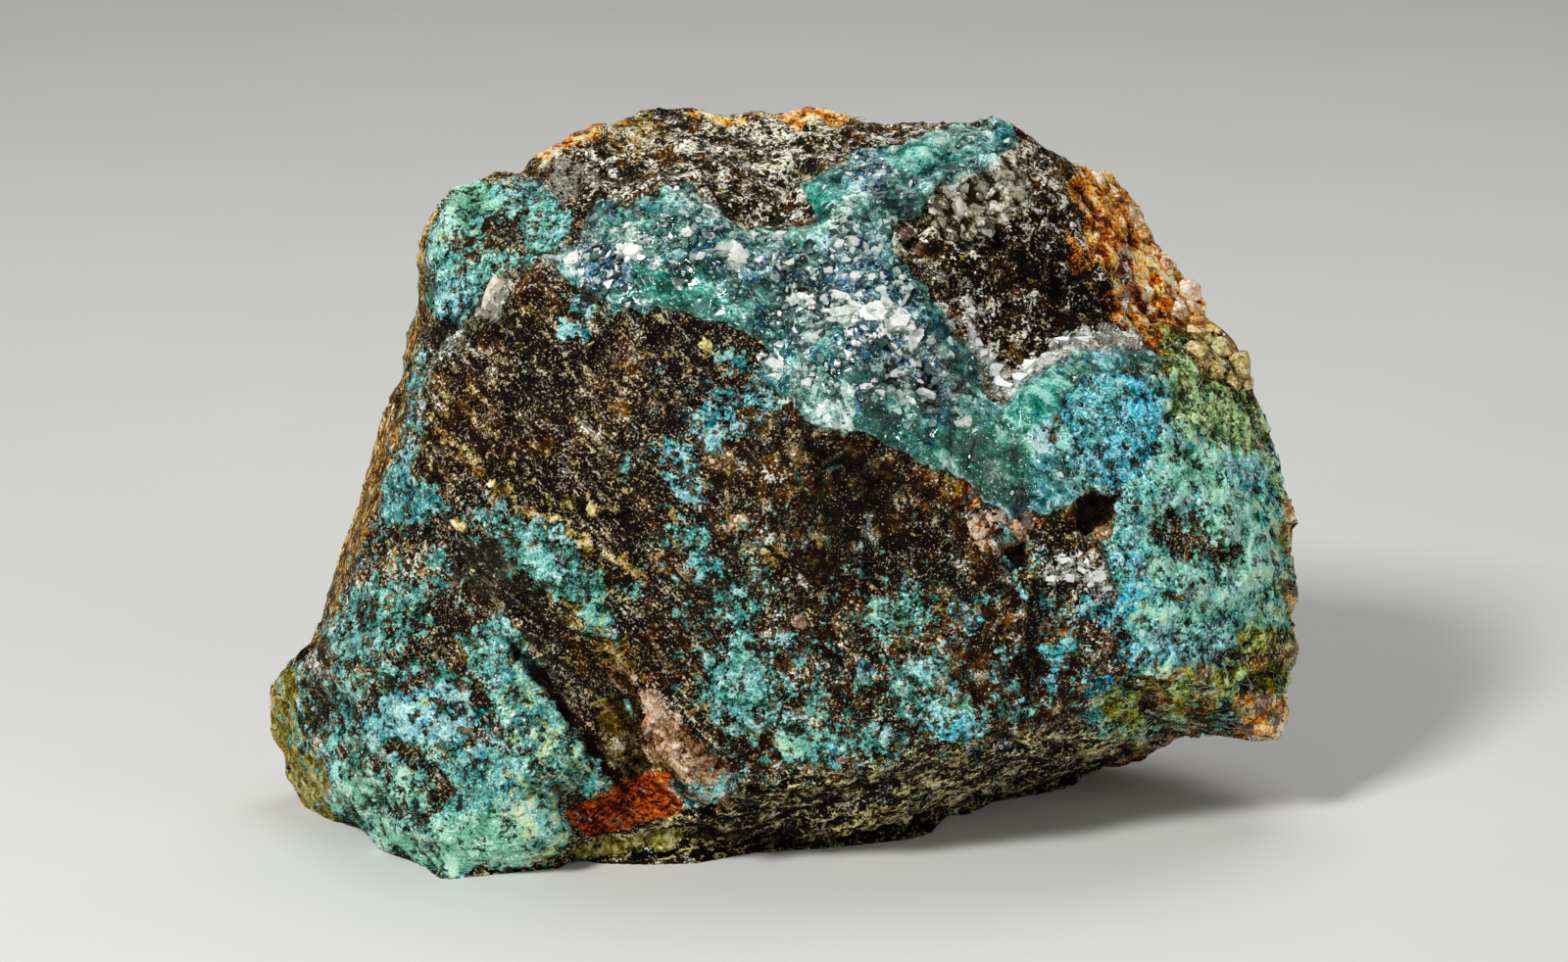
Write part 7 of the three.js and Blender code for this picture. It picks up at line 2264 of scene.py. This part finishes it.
    # brown breaks and dark pits
    pz = t.add((t.unit(1.2, 5.0, 0.78, offset=(5.0, 9.0, 4.0)), 0.95), (qn, 0.12), (fine, 0.12), (crease_shade, 0.6), (t.level(spot), 0.25), (cover, -2.0), (t.attr("pale"), -0.35 if not right else -0.15))
    low = -0.68 if right else -0.66
    pits = t.m("MAXIMUM", t.rng(pz, low - 0.05, low + 0.05), t.rng(t.add(edge, (fine, 0.05)), 0.22, 0.08))
    brown = t.five(t.tone(t.add((rn, 0.3), (fine, 0.5), (coarse, 0.5))), "060200 160b03 2c1d0b 4e3b20 8a7656")
    col = t.mix(t.m("MULTIPLY", pits, 0.96), col, brown)
    dots = t.fleck(t.add((t.unit(0.42, 3.0, 0.66, offset=(3.0, 7.0, 1.0)), 0.8), (rn, 0.25), (cluster2, 0.65), (coarse, -0.25), (crease_shade, 0.5)), 1.25)
    col = t.mix(t.m("MULTIPLY", dots, 0.92), col, "1e1208")
    rusty = t.m("MULTIPLY", t.rng(t.attr("rust"), 0.2, 0.6), t.rng(t.add(spot, (fine, 0.1)), 0.4, 0.7))
    col = t.mix(t.m("MULTIPLY", rusty, 0.8), col, t.five(tone, "2c1004 5c2c0a 8e5218 bc843a e4c07c"))
    # painted shade: near-black in the deep hollows
    col = t.mix(t.rng(hollow_shade, 0.15, 0.95, 0.0, 0.5), col, "080a05")
    nrm = t.bump(t.add(t.noise(0.28, 3.0, 0.7, offset=(5.0, 5.0, 5.0)), (pits, -0.3)), 0.16, 0.85)
    t.set(Base_Color=t.richer(col, 1.2 if right else 1.08), Roughness=t.rng(r_cell, 0.0, 1.0, 0.85, 0.5, False), Normal=nrm)
    t.bsdf.inputs["Specular IOR Level"].default_value = 0.07
    return t.mat


def vein_material():
    t = Tree("glassy_vein")
    straight = t.shaken(1.2, 0.35)
    d_big, r_big, q_big, c_big = t.cell(0.95, straight)
    rim = t.border(0.95, straight)
    d_small, r_small, q_small, c_small = t.cell(0.40, straight)
    coarse = t.unit(3.4, 5.0, 0.62)
    fine = t.unit(0.26, 2.0, 0.7, offset=(3.0, 2.0, 3.0))
    grit = t.unit(0.5, 3.0, 0.66, offset=(2.0, 6.0, 8.0))
    upper = t.rng(t.vec("DOT_PRODUCT", t.mm, (0.3, 0.0, 1.0)), 55.0, 61.0)
    milk = t.mix(upper, t.unit(1.0, 5.0, 0.70, at=t.along((0.8, -0.6), 0.2)), t.unit(1.0, 5.0, 0.70, at=t.along((0.86, 0.5), 0.2)))
    # painted shade: the crease and hollow measures darken the vein's tones in creases and wide hollows and lighten
    # them on ridges
    crease_shade, hollow_shade, edge, broken = (t.attr(k) for k in ("crease_shade", "hollow_shade", "edge", "broken"))
    wide, warm, cool, spot = (t.attr(k) for k in ("wide", "warm", "cool", "spot"))
    vblue, vgreen, vpale, vdark = (t.attr(k) for k in ("vblue", "vgreen", "vpale", "vdark"))
    broken = t.rng(t.add(broken, (coarse, 0.15)), 0.3, 0.6)
    facets = t.m("MULTIPLY", t.add((t.level(r_big), 0.75), (t.level(r_small), 0.45)), broken)
    still = t.m("MULTIPLY", milk, t.m("SUBTRACT", 1.0, (broken)))
    tone = t.tone(t.add((coarse, 0.5), (fine, 0.24), (facets, 0.75), (still, t.rng(t.attr("vlow"), 0.3, 0.8, 0.5, 0.25)), (crease_shade, -0.9), (hollow_shade, -0.6), -0.3))
    body = t.five(tone, "102a22 2a4f46 48776b 70a397 c2e2d8")
    green = t.five(tone, "104438 2a6e5e 468e7c 6cb2a2 aadece")
    teal = t.five(tone, "0a2c30 1f575a 3d7c7c 6aa8a4 b4e0da")
    pale = t.five(tone, "3a5a50 739a8c a0c6b8 cae4d8 f6fcf8")
    grey = t.five(tone, "0d0f0c 222a26 3c4842 627068 9cab9f")
    col = t.mix(t.rng(t.add(wide, (coarse, 0.08)), 0.35, 0.65), body, teal)

    def zone(a, low=0.32, high=0.6, push=0.14):
        return t.rng(t.add(a, (coarse, push)), low, high)

    col = t.mix(t.m("MULTIPLY", zone(vgreen), 0.85), col, green)
    col = t.mix(t.m("MULTIPLY", zone(vblue, 0.3, 0.7), 0.75), col, t.five(tone, "0a1a22 1f3c46 3c626c 6890a0 b8d8e0"))
    col = t.mix(t.m("MULTIPLY", zone(t.attr("vlow"), 0.3, 0.7), 0.9), col, t.five(tone, "0e1812 1d4036 30614f 48806c 8abeac"))
    col = t.mix(t.m("MULTIPLY", zone(vdark, 0.35, 0.7), 0.8), col, grey)
    col = t.mix(t.m("MULTIPLY", zone(vpale), 0.8), col, pale)
    col = t.mix(t.m("MULTIPLY", t.rng(t.add(edge, (coarse, 0.06), (fine, 0.05)), 0.6, 0.2), 0.7), col, t.five(tone, "4a6a60 7ca498 a8ccc0 cce6dc f0f9f5"))
    # blue specks, white flecks and the bright edges of the broken crystals
    bl = t.rng(t.add(t.unit(0.42, 2.0, 0.6, offset=(8.0, 1.0, 4.0)), (t.level(q_small), 0.4), (vblue, 1.2), (t.level(spot), 0.25), (vgreen, -0.6)), 1.95, 2.15)
    col = t.mix(t.m("MULTIPLY", bl, 0.92), col, t.ramp(r_small, [(0.0, "0c2a58"), (0.5, "1f5ca0"), (1.0, "4a96d0")]))
    wh = t.fleck(t.add((t.unit(1.1, 4.0, 0.72, offset=(2.0, 9.0, 9.0)), 0.8), (grit, 0.4), (t.level(r_small), 0.45), (vpale, 0.7), (vgreen, -0.5), (t.attr("vlow"), -0.9), (broken, 0.35)), 2.4)
    col = t.mix(t.m("MULTIPLY", wh, 0.92), col, t.ramp(t.tone(t.add(fine, (t.level(q_small), 0.7))), [(0.1, "9cc0b6"), (0.35, "cfe3db"), (0.6, "f4f9f7")]))
    # painted highlight: a thin bright line along the edges of the broken crystals
    gleam = t.m("MULTIPLY", t.m("MULTIPLY", t.rng(rim, 0.045, 0.0), t.rng(coarse, -0.2, 0.8)), broken)
    col = t.mix(t.m("MULTIPLY", gleam, 0.85), col, "e8f5ef")
    chasm = t.m("MULTIPLY", t.m("MULTIPLY", t.rng(t.border(0.40, straight), 0.05, 0.0), t.rng(coarse, 0.1, -0.8)), broken)
    col = t.mix(t.m("MULTIPLY", chasm, 0.8), col, "12201c")
    dust = t.fleck(t.add(t.unit(0.26, 2.0, 0.6, offset=(1.0, 1.0, 7.0)), (coarse, 0.3)), 1.95)
    col = t.mix(t.m("MULTIPLY", dust, 0.8), col, "dcebe4")
    dots = t.fleck(t.add(t.unit(0.42, 3.0, 0.66, offset=(1.0, 8.0, 7.0)), (coarse, -0.35), (broken, 0.3)), 1.7)
    col = t.mix(t.m("MULTIPLY", dots, 0.75), col, "101a18")
    brown = t.rng(t.add(t.unit(1.4, 4.0, 0.65, offset=(4.0, 8.0, 4.0)), (vdark, 0.6)), 2.1, 2.4)
    col = t.mix(t.m("MULTIPLY", brown, 0.75), col, "24150c")
    # painted shade: near-black in the deep hollows
    col = t.mix(t.rng(hollow_shade, 0.15, 0.95, 0.0, 0.5), col, "081210")
    nrm = t.bump(t.noise(0.5, 3.0, 0.55, offset=(5.0, 5.0, 5.0)), 0.05, 0.6, t.tilted(c_big, t.m("MULTIPLY", broken, 0.5)))
    t.set(Base_Color=t.richer(col, 1.2), Roughness=t.rng(t.add(r_big, (fine, 0.06)), 0.0, 1.0, 0.12, 0.45), Normal=nrm)
    t.bsdf.inputs["Specular IOR Level"].default_value = 0.4
    t.bsdf.inputs["Coat Weight"].default_value = 0.15
    t.bsdf.inputs["Coat Roughness"].default_value = 0.12
    return t.mat


def crystal_material(name, cols, trans, rough):
    t = Tree(name)
    haze = t.noise(0.5, 3.0, 0.6)
    crack = t.rng(t.border(0.55, t.shaken(0.6, 0.5)), 0.06, 0.0)
    # the shade attribute holds each facet's painted light and shade, with a random tone
    s = t.add((t.attr("shade"), 0.9), (haze, 1.3), (crack, -0.22), -0.6)
    col = t.mix(t.rng(t.attr("kind"), 0.8, 0.9), t.five(s, cols), t.five(s, "7a6650 a89478 cbb89c e2d4bc f4ecdc"))
    t.set(Base_Color=col, Roughness=t.rng(haze, 0.35, 0.65, rough, rough + 0.25), Normal=t.bump(t.noise(0.25, 3.0, 0.65, offset=(1.0, 1.0, 1.0)), 0.06, 0.5))
    t.bsdf.inputs["Transmission Weight"].default_value = trans
    t.bsdf.inputs["IOR"].default_value = 1.54
    return t


def shard_material():
    t = crystal_material("vein_shards", "1d3a36 3e655d 638a80 93b8ae d8ece6", 0.2, 0.1)
    haze = t.noise(0.5, 3.0, 0.6, offset=(3.0, 3.0, 3.0))
    # the shade attribute holds each facet's painted light and shade, with a random tone
    s = t.add((t.attr("shade"), 0.9), (haze, 0.9), -0.42)
    kind = t.attr("kind")
    glass = t.mix(t.m("MULTIPLY", t.attr("deep"), 0.8), t.five(s, "16302e 30544f 507870 7ea69c cce6de"), t.five(s, "0c1412 222e2a 3e4e48 66766e a4b0a8"))
    white = t.five(s, "7c9088 aebfb7 d6e0db eff4f1 ffffff")
    blue = t.five(s, "0e2a50 1f4c80 386ea6 5c94c4 a0c8e4")
    col = t.mix(t.rng(kind, 0.22, 0.28), glass, white)
    col = t.mix(t.rng(kind, 0.72, 0.78), col, blue)
    t.set(Base_Color=col)
    return t.mat


def lump_material(name, trans, rosy="a0784c d2a678 ecd0ac f8e8d2 fffcf6"):
    t = Tree(name)
    n = t.noise(1.0, 5.0, 0.68)
    f = t.noise(0.3, 4.0, 0.68, offset=(2.0, 2.0, 2.0))
    # the shade attribute holds painted light and shade on the faceted chunks, and a random tone on the round lumps
    s = t.tone(t.add((n, 9.0), (f, 8.0), (t.attr("shade"), 1.0), -9.0))
    k = t.attr("kind")
    rust = t.five(s, "341403 70380c ae6a1c dca04c f8dcaa")
    pink = t.five(s, rosy)
    yellow = t.five(s, "74601c aa9440 cebe70 e8de9e fcf8d4")
    olive = t.five(s, "1c200a 3c3e14 66622a 948a48 c2b87c")
    brown = t.five(s, "0e0603 26140b 452a1c 6e4e3a a88a70")
    green = t.five(s, "1c4434 3a7a5c 58a482 80c8a4 b4ecd0")
    col = t.mix(t.rng(k, 0.08, 0.12), rust, pink)
    col = t.mix(t.rng(k, 0.28, 0.32), col, yellow)
    col = t.mix(t.rng(k, 0.48, 0.52), col, olive)
    col = t.mix(t.rng(k, 0.68, 0.72), col, brown)
    col = t.mix(t.rng(k, 0.88, 0.92), col, green)
    rusty = t.m("MULTIPLY", t.rng(t.unit(1.2, 5.0, 0.68, offset=(5.0, 5.0, 5.0)), 0.3, 1.1), t.m("SUBTRACT", 1.0, t.rng(k, 0.3, 0.7)))
    col = t.mix(t.m("MULTIPLY", rusty, 0.8), col, t.five(s, "4a1f05 8a4a0e c47a20 e2a450 f2cc88"))
    t.set(Base_Color=col, Roughness=t.rng(f, 0.3, 0.7, 0.3, 0.6), Normal=t.bump(n, 0.25, 0.7))
    t.bsdf.inputs["Transmission Weight"].default_value = trans
    t.bsdf.inputs["IOR"].default_value = 1.54
    return t.mat


def grain_material():
    t = Tree("mineral_grains")
    shade = t.attr("shade")
    s = t.add(shade, (t.noise(0.3, 2.0, 0.6), 0.5), -0.25)
    ds = t.add(s, (t.attr("dim"), -0.4))
    dull = t.ramp(ds, [(0.0, "0c0602"), (0.3, "2a1c0f"), (0.6, "4b3d29"), (0.85, "776c54"), (1.0, "b8b29c")])
    speck = t.ramp(ds, [(0.0, "080402"), (0.35, "21180e"), (0.55, "6a614f"), (0.72, "b8b2a0"), (0.9, "f2efe6")])
    rust = t.ramp(s, [(0.0, "2a1004"), (0.3, "7a4210"), (0.6, "bc7a26"), (0.82, "e2b060"), (1.0, "f8e6c0")])
    tan = t.ramp(s, [(0.0, "4a3824"), (0.4, "8c7250"), (0.7, "b89c78"), (1.0, "e4d6bc")])
    under = t.ramp(s, [(0.0, "080401"), (0.45, "2a2012"), (0.65, "8a8260"), (0.85, "dcd6b6")])
    col = t.mix(t.rng(t.attr("speck"), 0.25, 0.55), dull, speck)
    col = t.mix(t.rng(t.attr("under"), 0.3, 0.6), col, under)
    col = t.mix(t.rng(t.attr("rust"), 0.35, 0.6), col, rust)
    col = t.mix(t.rng(t.attr("rind"), 0.35, 0.6), col, rust)
    col = t.mix(t.m("MULTIPLY", t.rng(t.attr("back"), 0.4, 0.8), 0.5), col, tan)
    col = t.mix(t.rng(t.attr("tan"), 0.4, 0.7), col, tan)
    t.set(Base_Color=col, Roughness=t.rng(shade, 0.0, 1.0, 0.75, 0.35))
    t.bsdf.inputs["Specular IOR Level"].default_value = 0.4
    return t.mat


def fibre_material():
    t = Tree("blue_fibres")
    s = t.add((t.attr("shade"), 0.9), 0.05)
    t.set(Base_Color=t.five(s, "3c7a84 62a4ac 8cc8cc b4e2e2 e8faf6"), Roughness=t.rng(t.noise(1.5, 2.0), 0.3, 0.7, 0.5, 0.65))
    return t.mat


def dress(name, mat):
    bpy.data.objects[name].data.materials.append(mat)


dress("rock", rock_material())
dress("crust_left", crust_material("turquoise_crust", False))
dress("crust_right", crust_material("fibrous_crust", True))
dress("vein", vein_material())
dress("white_crystals", crystal_material("white_quartz", "4c6a60 88a298 c2d0c6 eceee6 ffffff", 0.12, 0.12).mat)
dress("vein_crystals", shard_material())
dress("smoky_quartz", crystal_material("smoky_quartz", "3a3222 7c765e b4ae96 dcd6c0 fcfaee", 0.3, 0.1).mat)
dress("rim_lumps", lump_material("rim_minerals", 0.0))
dress("pale_chunks", lump_material("chunk_minerals", 0.0, "54382a 86644e b08c74 d0b49c f0e0d0"))
dress("yellow_quartz", lump_material("clear_yellow_quartz", 0.12))
dress("grains", grain_material())
dress("fibres", fibre_material())

for ob in RIDERS:
    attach(ob, "root")
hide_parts("plancheite_rock")


# ------------------------------------------------------------------ floor, light and camera
bpy.ops.mesh.primitive_plane_add(size=6)
floor = bpy.context.active_object
floor.name = "floor"
fm = Tree("pale_floor")
fm.set(Base_Color=fm.mix(fm.noise(40.0, 3.0, 0.5), "dfdfdc", "e6e6e3"))
fm.bsdf.inputs["Roughness"].default_value = 0.9
floor.data.materials.append(fm.mat)


def lamp(name, at, size, power, colour=(1, 1, 1)):
    light = bpy.data.lights.new(name, "AREA")
    light.shape = "RECTANGLE"
    light.size, light.size_y = size
    light.energy = power
    light.color = colour
    ob = bpy.data.objects.new(name, light)
    bpy.context.scene.collection.objects.link(ob)
    ob.location = at
    ob.rotation_euler = (Vector((0, 0, 0.03)) - Vector(at)).to_track_quat("-Z", "Y").to_euler()
    return ob


lamp("key", (-0.32, -0.42, 0.50), (0.14, 0.14), 4.0)
lamp("fill", (0.48, -0.40, 0.28), (0.4, 0.4), 0.7)
lamp("top", (0.05, 0.25, 0.6), (0.4, 0.3), 1.3)
world = bpy.data.worlds.new("studio")
world.use_nodes = True
world.node_tree.nodes["Background"].inputs[0].default_value = (1.0, 0.985, 0.955, 1)
world.node_tree.nodes["Background"].inputs[1].default_value = 0.11
bpy.context.scene.world = world
bpy.context.scene.view_settings.view_transform = "Standard"

cam_data = bpy.data.cameras.new("camera")
cam_data.sensor_width = 36
cam_data.lens = 133.7
cam_data.clip_start = 0.01
camera = bpy.data.objects.new("camera", cam_data)
bpy.context.scene.collection.objects.link(camera)
camera.location = (SEAT[0] / 1000, (SEAT[1] - FLARE * COS) / 1000, (SEAT[2] + FLARE * SIN) / 1000)
camera.rotation_euler = Vector((0, COS, -SIN)).to_track_quat("-Z", "Y").to_euler()
bpy.context.scene.camera = camera
